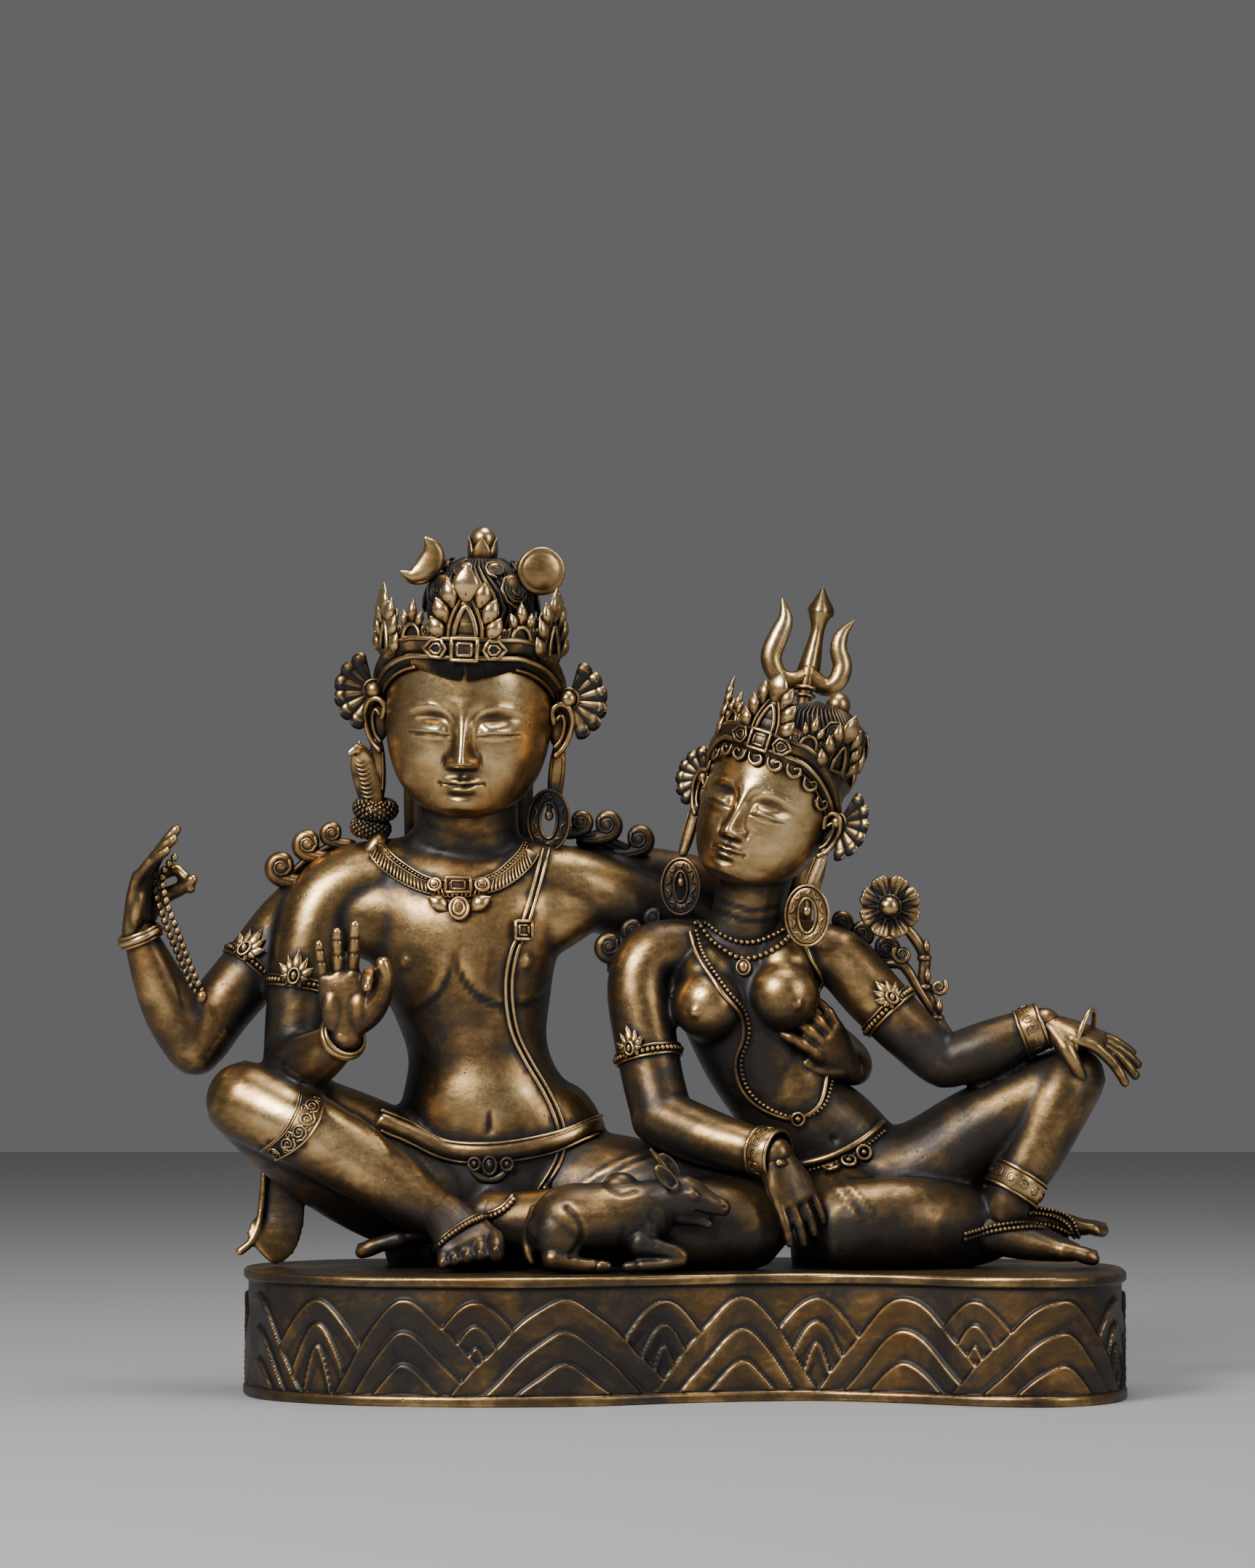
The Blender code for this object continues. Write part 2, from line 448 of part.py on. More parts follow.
def parvati(clay):
    """The consort, reclining to the right with her left knee raised."""
    limb(clay, (9.0, 6.6, 2.9, 3.5, 2.9), (8.8, 10.2, 2.7, 3.6, 2.9), (7.6, 12.6, 2.4, 3.15, 2.6),
         (6.1, 14.1, 2.1, 2.85, 2.35), (4.8, 15.6, 1.9, 2.7, 2.2), (3.8, 17.5, 1.6, 2.95, 2.35),
         (3.3, 19.5, 1.4, 3.45, 2.4), (3.1, 21.4, 1.3, 3.95, 2.2), (3.1, 22.9, 1.4, 3.5, 1.7),
         (3.15, 23.9, 1.3, 2.05, 1.7), (3.45, 25.3, 1.1, 1.85, 1.8), (3.9, 27.0, 0.9, 1.9, 1.9), sides=20)
    ball(clay, at(1.35, 19.9, -0.5), 1.95, 1.75, 1.95)
    ball(clay, at(5.15, 20.35, -0.4), 1.9, 1.75, 1.95)
    ball(clay, at(5.3, 15.9, 0.7), 2.0, 1.5, 2.2)
    # Arms
    limb(clay, (0.6, 22.9, 1.4, 1.5), (-1.6, 22.5, 1.2, 1.65), (-2.35, 20.9, 0.9, 1.6),
         (-2.0, 18.4, 0.6, 1.65), (-1.6, 16.2, 0.2, 1.6), (-1.2, 14.6, -0.3, 1.6))
    limb(clay, (-1.2, 14.1, -0.5, 1.55), (1.2, 13.05, -1.9, 1.5), (3.4, 12.45, -3.2, 1.25), (4.7, 12.2, -4.1, 0.95))
    limb(clay, (5.6, 22.9, 1.4, 1.5), (8.0, 22.3, 1.2, 1.6), (9.6, 20.6, 0.9, 1.6), (11.2, 18.9, 0.6, 1.5),
         (12.8, 17.4, 0.3, 1.4), (13.4, 17.0, 0.2, 1.4))
    limb(clay, (13.5, 16.9, 0.2, 1.35), (15.6, 17.6, -0.1, 1.45), (17.4, 18.4, -0.3, 1.2), (18.6, 18.85, -0.4, 0.95))
    # Legs and feet
    limb(clay, (9.6, 10.6, 2.6, 3.1), (12.3, 11.3, 2.0, 2.75), (15.2, 13.3, 1.2, 2.4), (18.2, 15.1, 0.6, 2.05),
         (20.0, 16.1, 0.3, 1.75))
    limb(clay, (20.1, 16.1, 0.1, 1.7), (19.3, 14.9, -0.2, 1.8), (18.1, 12.3, -0.4, 1.55), (17.0, 10.4, -0.6, 1.3),
         (16.6, 9.3, -0.7, 1.15))
    foot(clay, at(15.9, 8.1, -0.8), at(21.1, 6.95, -1.3), 1.25, UP, 1.5, False)
    limb(clay, (8.6, 9.4, 1.6, 2.9), (8.0, 8.9, -0.6, 2.5), (8.2, 8.75, -1.8, 2.2))
    limb(clay, (8.4, 8.5, -2.0, 2.35, 2.1), (11.2, 8.6, -1.6, 2.45, 2.3), (13.6, 8.5, -0.5, 2.3, 2.0),
         (15.6, 8.5, 0.8, 1.9, 1.5), (17.0, 8.7, 1.7, 1.3, 1.15))
    foot(clay, at(17.0, 8.9, 1.8), at(21.7, 8.3, 2.0), 0.95, UP, 1.2, False)
    # Cuffs, armlets, anklet and belt
    bangle(clay, at(3.4, 12.45, -3.2), at(4.7, 12.2, -4.1), 0.75, 1.22, 0.34)
    bangle(clay, at(17.4, 18.4, -0.3), at(18.6, 18.85, -0.4), 0.55, 1.2, 0.32)
    armlet(clay, at(-2.0, 18.4, 0.6), at(-1.6, 16.2, 0.2), 0.4, 1.75, -1.8)
    armlet(clay, at(9.6, 20.6, 0.9), at(11.2, 18.9, 0.6), 0.55, 1.65, 1.4)
    hoop(clay, at(17.9, 8.3, -0.9), Vector((1, 0, 0.25)), 1.35, 1.25, 0.26)
    hoop(clay, at(18.9, 8.9, 1.9), Vector((1, 0, 0.2)), 1.1, 1.15, 0.24)
    limb(clay, (4.7, 11.4, 2.4, 0.3), (5.6, 11.4, 0.1, 0.32), (7.6, 12.1, -0.5, 0.32), (9.9, 13.3, 0.6, 0.32),
         (10.6, 13.9, 2.4, 0.3), face=UP)
    # Hands: the right hangs over the god's knee, the left over her own
    fingers = [(3, (4, 10, 8), 0.85), (0, (5, 10, 8), 0.9), (-3, (6, 10, 8), 0.85), (-6, (7, 10, 8), 0.75)]
    thumb = [(0.55, -0.1, 0.7, 0.4), (0.95, -0.2, 1.5, 0.33), (0.85, -0.2, 2.3, 0.28)]
    hand(clay, frame_from(Vector((0.42, -0.1, -1)), Vector((-0.35, 0.9, -0.2)), at(4.85, 12.1, -4.3), 1.0),
         -1, fingers, thumb)
    fingers = [(6, (24, 14, 10), 0.9), (1, (16, 14, 8), 0.95), (-4, (10, 12, 8), 0.95), (-9, (6, 12, 8), 0.85)]
    thumb = [(0.5, -0.1, 0.4, 0.48), (1.15, -0.5, 1.1, 0.42), (1.25, -1.2, 1.8, 0.36), (1.1, -1.9, 2.3, 0.3)]
    hand(clay, frame_from(Vector((1, -0.05, -0.3)), Vector((-0.3, 0.35, -1)), at(18.8, 18.85, -0.5), 1.12),
         -1, fingers, thumb)
    lotus(clay)
    curls(clay, (8.1, 24.15, 1.6, 0.5), (9.15, 23.6, 1.8, 0.5), (10.4, 22.75, 2.0, 0.58))
    curls(clay, (-3.75, 22.9, 1.5, 0.56), (-2.55, 23.75, 1.8, 0.46), (-1.5, 24.4, 1.8, 0.4))
    part = bmesh.new()
    head(part)
    crown(part, 4.0, 3.0, (Vector((1.2, 1.6, 5.2)), (2.9, 2.9, 2.3)))
    ball(part, Vector((1.5, 1.9, 7.6)), 0.75)
    fan(part, Vector((-4.9, 0.0, 0.3)), -1, 1.9, DEPTH)
    fan(part, Vector((4.9, 0.0, 0.3)), 1, 2.2, DEPTH)
    merge(clay, part, head_place(4.3, 29.75, 0.6, -24.0, 20.0, 3.0, (0.8, 0.82, 0.86)))
    hoop(clay, at(-0.1, 26.0, 0.6), Vector((0.25, 1, 0)), 0.62, 1.05, 0.34)
    hoop(clay, at(6.4, 24.5, -1.3), Vector((0.1, 1, 0)), 0.72, 1.15, 0.38)
    limb(clay, (0.7, 27.7, 1.3, 0.3), (0.1, 26.9, 0.8, 0.28), sides=8)
    limb(clay, (7.2, 26.9, -1.0, 0.32), (6.6, 25.6, -1.3, 0.3), sides=8)
    for i in range(-1, 2):
        x = 5.0 + i * 1.3
        limb(clay, (x, 27.5, 3.0, 0.7), (x - 0.6, 24.5, 3.3, 0.7), (x - 0.9, 22.5, 3.5, 0.4), sides=8)


def lotus(clay):
    """The flower at her shoulder, on a jointed stem that rises from the elbow."""
    centre = at(10.6, 24.9, 0.8)
    for i in range(9):
        lean = 2 * math.pi * (i + 0.3) / 9
        out = Vector((math.cos(lean), 0.12, math.sin(lean)))
        loft(clay, [(centre + out * 0.3, 0.22, 0.22), (centre + out * 0.95, 0.46, 0.2),
                    (centre + out * 1.55, 0.3, 0.16)], sides=8, steps=2)
    ball(clay, centre - DEPTH * 0.25, 0.56)
    limb(clay, (11.6, 23.7, 1.4, 0.36), (12.5, 22.3, 1.6, 0.38), (12.7, 20.6, 1.6, 0.34), (12.9, 19.3, 1.4, 0.36),
         (14.0, 17.9, 0.9, 0.3), sides=8)
    limb(clay, (10.6, 22.0, 1.6, 0.34), (11.6, 21.0, 1.6, 0.3), (12.7, 19.5, 1.5, 0.28), sides=8)


def bull(clay):
    """The bull calf, kneeling with its head to the right."""
    limb(clay, (-7.0, 8.6, -5.2, 1.5, 1.5), (-5.6, 9.0, -5.2, 1.95, 1.75), (-3.8, 9.0, -5.2, 1.85, 1.8),
         (-2.2, 9.2, -5.2, 1.75, 1.6), (-1.2, 9.4, -5.2, 1.4, 1.3), sides=16)
    ball(clay, at(-2.9, 10.55, -5.2), 0.95, 0.75, 0.7)
    limb(clay, (-2.2, 9.3, -5.2, 1.3), (-0.7, 9.9, -5.3, 1.05), (0.3, 10.2, -5.4, 0.95), (1.1, 9.9, -5.5, 0.75),
         (1.9, 9.45, -5.5, 0.5), sides=12)
    limb(clay, (0.4, 9.4, -5.4, 0.6), (1.3, 8.95, -5.5, 0.3), (1.6, 8.75, -5.5, 0.22), sides=8)
    for way in (-1, 1):
        y = -5.2 + way * 1.25
        limb(clay, (-1.5, 8.2, y, 0.75), (-0.7, 7.3, y, 0.45), (-0.3, 7.05, y, 0.42), (-1.4, 6.75, y, 0.36),
             (-2.4, 6.7, y, 0.36), sides=8)
        limb(clay, (-6.4, 8.3, y, 1.2, 0.7), (-5.6, 7.4, y, 1.0, 0.6), sides=10)
        limb(clay, (-6.9, 7.0, y, 0.5), (-5.4, 6.75, y, 0.42), (-3.7, 6.7, y, 0.36), sides=8)
        leaf(clay, at(-0.1, 10.3, -5.35 + way * 0.7), at(-0.9, 11.5, -5.35 + way * 1.15), 0.42, 0.18,
             Vector((0.5, way * 0.8, 0)))
        limb(clay, (-0.4, 10.8, -5.4 + way * 0.35, 0.2), (-1.4, 12.3, -5.3 + way * 0.45, 0.1), sides=6)
    limb(clay, (-8.3, 9.0, -5.2, 0.28), (-8.45, 7.8, -5.2, 0.28), (-8.2, 6.8, -5.3, 0.3), sides=6)


def trident(clay):
    """A three-pronged head on a round shaft, leaning with her crown."""
    def spot(x, z, y=5.4):
        return at(x, z, y)
    loft(clay, [(spot(*p[:2]), p[2], p[3]) for p in (
        (6.45, 37.1, 0.5, 0.36), (6.9, 39.0, 0.42, 0.34), (7.15, 40.4, 0.8, 0.34), (7.2, 40.75, 0.78, 0.32),
        (7.35, 42.0, 0.1, 0.1))], sides=8)
    for knots in (((6.5, 37.0, 0.5, 0.4), (5.3, 36.9, 0.5, 0.4), (4.6, 38.0, 0.52, 0.4), (5.25, 39.6, 0.48, 0.34),
                   (5.1, 40.9, 0.1, 0.1)),
                  ((6.5, 37.0, 0.5, 0.4), (7.6, 36.4, 0.5, 0.4), (8.2, 37.2, 0.5, 0.4), (8.05, 38.4, 0.42, 0.32),
                   (8.8, 39.7, 0.12, 0.1))):
        loft(clay, [(spot(*p[:2]), p[2], p[3]) for p in knots], sides=8)
    loft(clay, [(spot(6.5, 37.2), 0.42, 0.42), (spot(6.0, 34.0), 0.36, 0.36), (spot(5.4, 29.2), 0.36, 0.36)], sides=10)


def to_object(name, clay, material):
    """An object in metres from clay in drawing units, with the figures' deck on the plinth's."""
    lift = Matrix.Translation((0, 0, PLINTH_HEIGHT)) @ Matrix.Scale(UNIT, 4) @ Matrix.Translation((0, 0, -DECK))
    bmesh.ops.transform(clay, matrix=lift, verts=clay.verts)
    return in_metres(name, clay, material)


def in_metres(name, clay, material):
    """An object from clay that is already in metres, with its faces looking out."""
    bmesh.ops.recalc_face_normals(clay, faces=clay.faces)
    mesh = bpy.data.meshes.new(name)
    clay.to_mesh(mesh)
    clay.free()
    mesh.materials.append(material)
    thing = bpy.data.objects.new(name, mesh)
    bpy.context.scene.collection.objects.link(thing)
    return thing


def bake(thing):
    """Replaces an object's mesh with what its modifiers make of it."""
    graph = bpy.context.evaluated_depsgraph_get()
    mesh = bpy.data.meshes.new_from_object(thing.evaluated_get(graph), depsgraph=graph)
    thing.modifiers.clear()
    thing.data = mesh
    return thing


def fuse(thing, faces):
    """Makes overlapping clay one closed skin and brings it down to about so many triangles."""
    remesh = thing.modifiers.new("One_skin", "REMESH")
    remesh.mode = "VOXEL"
    remesh.voxel_size = VOXEL
    relax = thing.modifiers.new("Soften", "SMOOTH")
    relax.factor = 0.5
    relax.iterations = 2
    bake(thing)
    keep_largest(thing)
    thin = thing.modifiers.new("Facet", "DECIMATE")
    thin.ratio = min(1.0, faces / (2 * len(thing.data.polygons)))
    return bake(thing)


def keep_largest(thing):
    """Drops loose crumbs of clay that the skin left inside or beside the figure."""
    skin = bmesh.new()
    skin.from_mesh(thing.data)
    left = set(skin.verts)
    groups = []
    while left:
        stack = [left.pop()]
        group = list(stack)
        while stack:
            for edge in stack.pop().link_edges:
                for vert in edge.verts:
                    if vert in left:
                        left.remove(vert)
                        stack.append(vert)
                        group.append(vert)
        groups.append(group)
    groups.sort(key=len)
    for group in groups[:-1]:
        bmesh.ops.delete(skin, geom=group, context="VERTS")
    skin.to_mesh(thing.data)
    skin.free()


def seat_flat(thing, height):
    """Cuts everything below a height away and closes the cut flat."""
    skin = bmesh.new()
    skin.from_mesh(thing.data)
    cut = bmesh.ops.bisect_plane(skin, geom=skin.verts[:] + skin.edges[:] + skin.faces[:], dist=1e-7,
                                 plane_co=(0, 0, height), plane_no=(0, 0, -1), clear_outer=True)
    edges = [g for g in cut["geom_cut"] if isinstance(g, bmesh.types.BMEdge)]
    bmesh.ops.holes_fill(skin, edges=edges)
    bmesh.ops.triangulate(skin, faces=skin.faces)
    bmesh.ops.recalc_face_normals(skin, faces=skin.faces)
    skin.to_mesh(thing.data)
    skin.free()


def clear_of(thing, *others):
    """Cuts a thing back so that it stays GAP clear of others."""
    for other in others:
        for margin in (GAP * 1.5, GAP * 0.6, 0.0):
            cutter = bpy.data.objects.new(other.name + "_cutter", other.data.copy())
            bpy.context.scene.collection.objects.link(cutter)
            if margin:
                swell = cutter.modifiers.new("Swell", "DISPLACE")
                swell.mid_level = 0.0
                swell.strength = margin
            cut = thing.modifiers.new("Clear", "BOOLEAN")
            cut.operation = "DIFFERENCE"
            cut.object = cutter
            bpy.context.view_layer.update()
            bake(thing)
            bpy.data.objects.remove(cutter)
    keep_largest(thing)


class Wall:
    """The plinth's wall in plan: a closed smooth line, by length along it from the front's middle."""

    def __init__(self):
        knots = [(x * PLINTH_LENGTH, y * PLINTH_DEPTH) for x, y in OUTLINE]
        fine = curve_through(knots[-1:] + knots + knots[:2], 24)[24:-24]
        self.points = [Vector(p) for p in fine[:-1]]
        self.reach = [0.0]
        for a, b in zip(self.points, self.points[1:] + self.points[:1]):
            self.reach.append(self.reach[-1] + (b - a).length)
        self.round = self.reach[-1]

    def place(self, length):
        """The point at a length along the line, and the way out of the wall there."""
        length = length % self.round
        i = max(0, next(k for k, r in enumerate(self.reach) if r > length) - 1)
        count = len(self.points)
        start, end = self.points[i], self.points[(i + 1) % count]
        share = (length - self.reach[i]) / (self.reach[i + 1] - self.reach[i])
        ahead = self.points[(i + 3) % count] - self.points[(i - 2) % count]
        return start.lerp(end, share), Vector((ahead.y, -ahead.x)).normalized()

    def under(self, x):
        """The length along the line at which its front passes x."""
        near = [i for i, p in enumerate(self.points) if p.y < 0.0]
        return self.reach[min(near, key=lambda i: abs(self.points[i].x - x))]

    def spot(self, length, z, out):
        point, way = self.place(length)
        return Vector((point.x + way.x * out, point.y + way.y * out, z))


def slope(share):
    """The height of a mountain's line at a share of its reach from the peak, 1 at the peak."""
    soft = 0.2
    return 1 - (math.hypot(share, soft) - soft) / (math.hypot(1, soft) - soft)


def ridge(clay, wall, peak, left, right, base, top, ends, steps):
    """One layer of a mountain: proud along its line and sinking back to the wall below it."""
    loops = []
    for i in range(steps + 1):
        share = -ends + 2 * ends * i / steps
        along = share * (left if share < 0 else right)
        z = base + (top - base) * slope(abs(share))
        length = peak + along
        corner = (wall.spot(length, z, -0.0015), wall.spot(length, z, RELIEF_STEP),
                  wall.spot(peak + along * 0.72, base + (z - base) * 0.66, -0.0015))
        verts = bmesh.ops.create_circle(clay, segments=3, radius=1.0)["verts"]
        for vert, place in zip(verts, corner):
            vert.co = place
        loops.append(list({edge for vert in verts for edge in vert.link_edges}))
    for first, second in zip(loops, loops[1:]):
        bmesh.ops.bridge_loops(clay, edges=first + second)
    bmesh.ops.edgeloop_fill(clay, edges=loops[0])
    bmesh.ops.edgeloop_fill(clay, edges=loops[-1])


def plinth(material):
    """The bean-shaped base: wall, rim, foot flange and the mountains along its front and ends."""
    wall = Wall()
    clay = bmesh.new()
    count = 42
    lip = PLINTH_HEIGHT - RIM_HEIGHT
    profile = ((0.0, FOOT_PROUD), (FOOT_HEIGHT * 0.8, FOOT_PROUD), (FOOT_HEIGHT, 0.0),
               (lip, 0.0), (lip + 0.0008, RIM_PROUD), (PLINTH_HEIGHT, RIM_PROUD))
    loops = []
    for z, out in profile:
        verts = bmesh.ops.create_circle(clay, segments=count, radius=1.0)["verts"]
        for i, vert in enumerate(verts):
            vert.co = wall.spot(wall.round * i / count, z, out)
        loops.append(list({edge for vert in verts for edge in vert.link_edges}))
    for first, second in zip(loops, loops[1:]):
        bmesh.ops.bridge_loops(clay, edges=first + second)
    bmesh.ops.edgeloop_fill(clay, edges=loops[0])
    bmesh.ops.edgeloop_fill(clay, edges=loops[-1])
    base = in_metres("plinth", clay, material)
    low, high = FOOT_HEIGHT * 0.8, lip
    peaks = [(wall.under(x * PLINTH_LENGTH), left, right) for x, left, right in PEAKS]
    first, last = peaks[0], peaks[-1]
    peaks = ([(first[0] + END_PEAKS[0][0] * PLINTH_LENGTH, *END_PEAKS[0][1:])] + peaks
             + [(last[0] + END_PEAKS[1][0] * PLINTH_LENGTH, *END_PEAKS[1][1:])])
    peaks = [(peak, left * PLINTH_LENGTH, right * PLINTH_LENGTH) for peak, left, right in peaks]
    tall = high - low
    for i, (peak, left, right) in enumerate(peaks):
        for k, (height, width) in enumerate(LAYERS):
            add(base, wall, peak, left * width, right * width, low, low + tall * height, 1.0, (6, 4, 4)[k])
    for (one, _, right), (two, left, _) in zip(peaks, peaks[1:]):
        middle = (one + right + two - left) / 2
        for k, (height, width) in enumerate(MOUNDS):
            reach = width * PLINTH_LENGTH
            add(base, wall, middle, reach, reach, low + tall * (height - 0.32), low + tall * height, 0.9, 4)
    return base


def add(base, *ridge_of):
    """Joins one layer of relief to the plinth."""
    clay = bmesh.new()
    ridge(clay, *ridge_of)
    cutter = in_metres("ridge_cutter", clay, None)
    join = base.modifiers.new("Join", "BOOLEAN")
    join.operation = "UNION"
    join.solver = "EXACT"
    join.object = cutter
    bpy.context.view_layer.update()
    bake(base)
    bpy.data.objects.remove(cutter)


def metal(name, colour, roughness):
    """A plain shader for one of the castings."""
    material = bpy.data.materials.new(name)
    material.use_nodes = True
    shader = material.node_tree.nodes["Principled BSDF"]
    shader.inputs["Base Color"].default_value = (*colour, 1.0)
    shader.inputs["Metallic"].default_value = 1.0
    shader.inputs["Roughness"].default_value = roughness
    material.diffuse_color = (*colour, 1.0)
    return material


def clear_scene():
    for thing in list(bpy.data.objects):
        bpy.data.objects.remove(thing)


def build():
    """Makes the five castings."""
    clear_scene()
    bronze = metal("Worn_bronze", (0.30, 0.20, 0.10), 0.36)
    made = {}
    for name, shape, faces in (("trident", trident, TRIDENT_FACES), ("shiva", shiva, SHIVA_FACES),
                               ("parvati", parvati, PARVATI_FACES), ("bull", bull, BULL_FACES)):
        clay = bmesh.new()
        shape(clay)
        made[name] = fuse(to_object(name, clay, bronze), faces)
        if name != "trident":
            seat_flat(made[name], PLINTH_HEIGHT + GAP)
    clear_of(made["shiva"], made["trident"])
    clear_of(made["parvati"], made["shiva"], made["trident"])
    clear_of(made["bull"], made["shiva"])
    plinth(bronze)


build()
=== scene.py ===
"""The bronze group's looks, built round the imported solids: finely modelled figures, crowns,
ornaments, cords and carved plinth, all in one worn cast bronze."""

import math

import bmesh
import bpy
import numpy as np
from mathutils import Matrix, Vector
from mathutils.bvhtree import BVHTree


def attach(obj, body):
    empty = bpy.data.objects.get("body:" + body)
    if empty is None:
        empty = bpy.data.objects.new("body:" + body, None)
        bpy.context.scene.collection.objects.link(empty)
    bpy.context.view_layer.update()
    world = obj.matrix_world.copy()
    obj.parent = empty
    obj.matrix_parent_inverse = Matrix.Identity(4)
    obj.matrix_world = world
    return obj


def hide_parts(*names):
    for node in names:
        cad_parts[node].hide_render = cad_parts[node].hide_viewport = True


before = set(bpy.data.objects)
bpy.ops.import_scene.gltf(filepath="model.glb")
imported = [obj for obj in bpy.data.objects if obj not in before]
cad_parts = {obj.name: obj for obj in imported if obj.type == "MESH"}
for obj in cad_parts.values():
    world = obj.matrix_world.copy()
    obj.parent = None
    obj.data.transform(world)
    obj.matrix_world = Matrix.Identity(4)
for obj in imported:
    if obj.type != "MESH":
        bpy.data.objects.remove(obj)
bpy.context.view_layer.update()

# The figures are drawn in centimetres on an elevation seen in perspective from EYE
EYE = Vector((-2.88, -250.0, 20.0))
DEPTH = Vector((0.0, 1.0, 0.0))
UP = Vector((0.0, 0.0, 1.0))


# Shapes that every casting is made from

def at(x, z, y):
    """The place, in centimetres, at depth y that shows at (x, z) on the elevation."""
    reach = (y - EYE.y) / -EYE.y
    return Vector((EYE.x + (x - EYE.x) * reach, y, EYE.z + (z - EYE.z) * reach))


def curve_through(knots, steps):
    """Points on a smooth curve through the knots, which are equal-length tuples."""
    found = []
    last = len(knots) - 1
    for i in range(last):
        before, start, end, after = (knots[max(0, min(last, i + k))] for k in (-1, 0, 1, 2))
        for step in range(steps):
            t = step / steps
            found.append(tuple(
                0.5 * (2 * b + (c - a) * t + (2 * a - 5 * b + 4 * c - d) * t * t
                       + (3 * b - a - 3 * c + d) * t ** 3)
                for a, b, c, d in zip(before, start, end, after)
            ))
    found.append(tuple(knots[last]))
    return found


def add_to(clay, part):
    """Moves a part's shape into the clay. A fresh part keeps each operator quick."""
    mesh = bpy.data.meshes.new("part")
    part.to_mesh(mesh)
    part.free()
    clay.from_mesh(mesh)
    bpy.data.meshes.remove(mesh)


def loft(clay, stations, face=DEPTH, sides=12, steps=3, closed=False):
    """A round-ended limb through stations of (point, half width, half thickness). The thickness
    runs along face, as near as the limb's own direction lets it."""
    knots = [(*point, wide, thick) for point, wide, thick in stations]
    if closed:
        knots.append(knots[0])
    run = [(Vector(k[:3]), max(k[3], 0.01), max(k[4], 0.01)) for k in curve_through(knots, steps)]
    if closed:
        run.pop()
    rings = []
    side = None
    for i, (point, wide, thick) in enumerate(run):
        ahead = run[(i + 1) % len(run)][0] if closed else run[min(i + 1, len(run) - 1)][0]
        back = run[i - 1][0] if closed or i else run[0][0]
        along = (ahead - back).normalized()
        across = along.cross(face)
        if across.length < 0.25 and side is not None:
            across = side - along * side.dot(along)
        elif across.length < 1e-3:
            across = along.cross(UP)
        if side is not None and across.dot(side) < 0:
            across = -across
        side = across.normalized()
        rings.append((point, along, side, wide, thick))
    if not closed:
        rings = rounded(rings, 0) + rings + rounded(rings, -1)
    part = bmesh.new()
    loops = []
    for point, along, side, wide, thick in rings:
        depth = side.cross(along)
        matrix = Matrix((side * wide, depth * thick, along)).transposed().to_4x4()
        matrix.translation = point
        verts = bmesh.ops.create_circle(part, segments=sides, radius=1.0, matrix=matrix)["verts"]
        loops.append(list({edge for vert in verts for edge in vert.link_edges}))
    pairs = list(zip(loops, loops[1:]))
    if closed:
        pairs.append((loops[-1], loops[0]))
    for first, second in pairs:
        bmesh.ops.bridge_loops(part, edges=first + second)
    if not closed:
        bmesh.ops.edgeloop_fill(part, edges=loops[0])
        bmesh.ops.edgeloop_fill(part, edges=loops[-1])
    add_to(clay, part)


def rounded(rings, end):
    """Rings that close a limb's end in a half ellipsoid."""
    point, along, side, wide, thick = rings[end]
    reach = min(wide, thick) * (-1 if end == 0 else 1)
    found = []
    for turn in (30, 58, 80):
        lean = math.radians(turn)
        share = math.cos(lean)
        found.append((point + along * reach * math.sin(lean), along, side, wide * share, thick * share))
    return found[::-1] if end == 0 else found


def ball(clay, point, x, y=None, z=None, turn=None, fine=14):
    """An ellipsoid with those half sizes, turned by a matrix."""
    y, z = (x if y is None else y), (x if z is None else z)
    matrix = Matrix.Translation(point) @ (turn or Matrix()) @ Matrix.Diagonal((x, y, z, 1.0))
    part = bmesh.new()
    bmesh.ops.create_uvsphere(part, u_segments=fine, v_segments=max(5, fine * 2 // 3), radius=1.0,
                              matrix=matrix)
    add_to(clay, part)


def bead(clay, point, radius):
    """A small round bead."""
    ball(clay, point, radius, fine=8)


def limb(clay, *stations, **how):
    """A limb drawn on the elevation, by (x, z, depth, half width[, half thickness])."""
    loft(clay, [(at(*s[:3]), s[3], s[4] if len(s) > 4 else s[3]) for s in stations], **how)


def petal(clay, base, tip, wide, thick, face, rib=True):
    """A pointed petal from base to tip, with its flat side towards face and a raised rib."""
    shape = ((0.0, 0.5), (0.25, 0.95), (0.5, 0.95), (0.75, 0.6), (0.92, 0.25), (1.0, 0.08))
    loft(clay, [(base.lerp(tip, t), wide * w, thick * max(w, 0.4)) for t, w in shape],
         face=face, sides=10, steps=2)
    if rib:
        out = face.normalized() * thick * 0.75
        loft(clay, [(base.lerp(tip, t) + out * (1 - t * 0.5), thick * 0.3, thick * 0.4)
                    for t in (0.1, 0.5, 0.86)],
             face=face, sides=6, steps=2)


def hoop(clay, centre, normal, wide, high, thick, up=UP, sides=8, count=24, deep=None):
    """A closed ring of round section about a centre."""
    across = up.cross(normal).normalized()
    rise = normal.cross(across).normalized()
    turns = [2 * math.pi * i / count for i in range(count)]
    loft(clay, [(centre + across * wide * math.cos(a) + rise * high * math.sin(a), thick, deep or thick)
                for a in turns], face=normal, sides=sides, steps=1, closed=True)


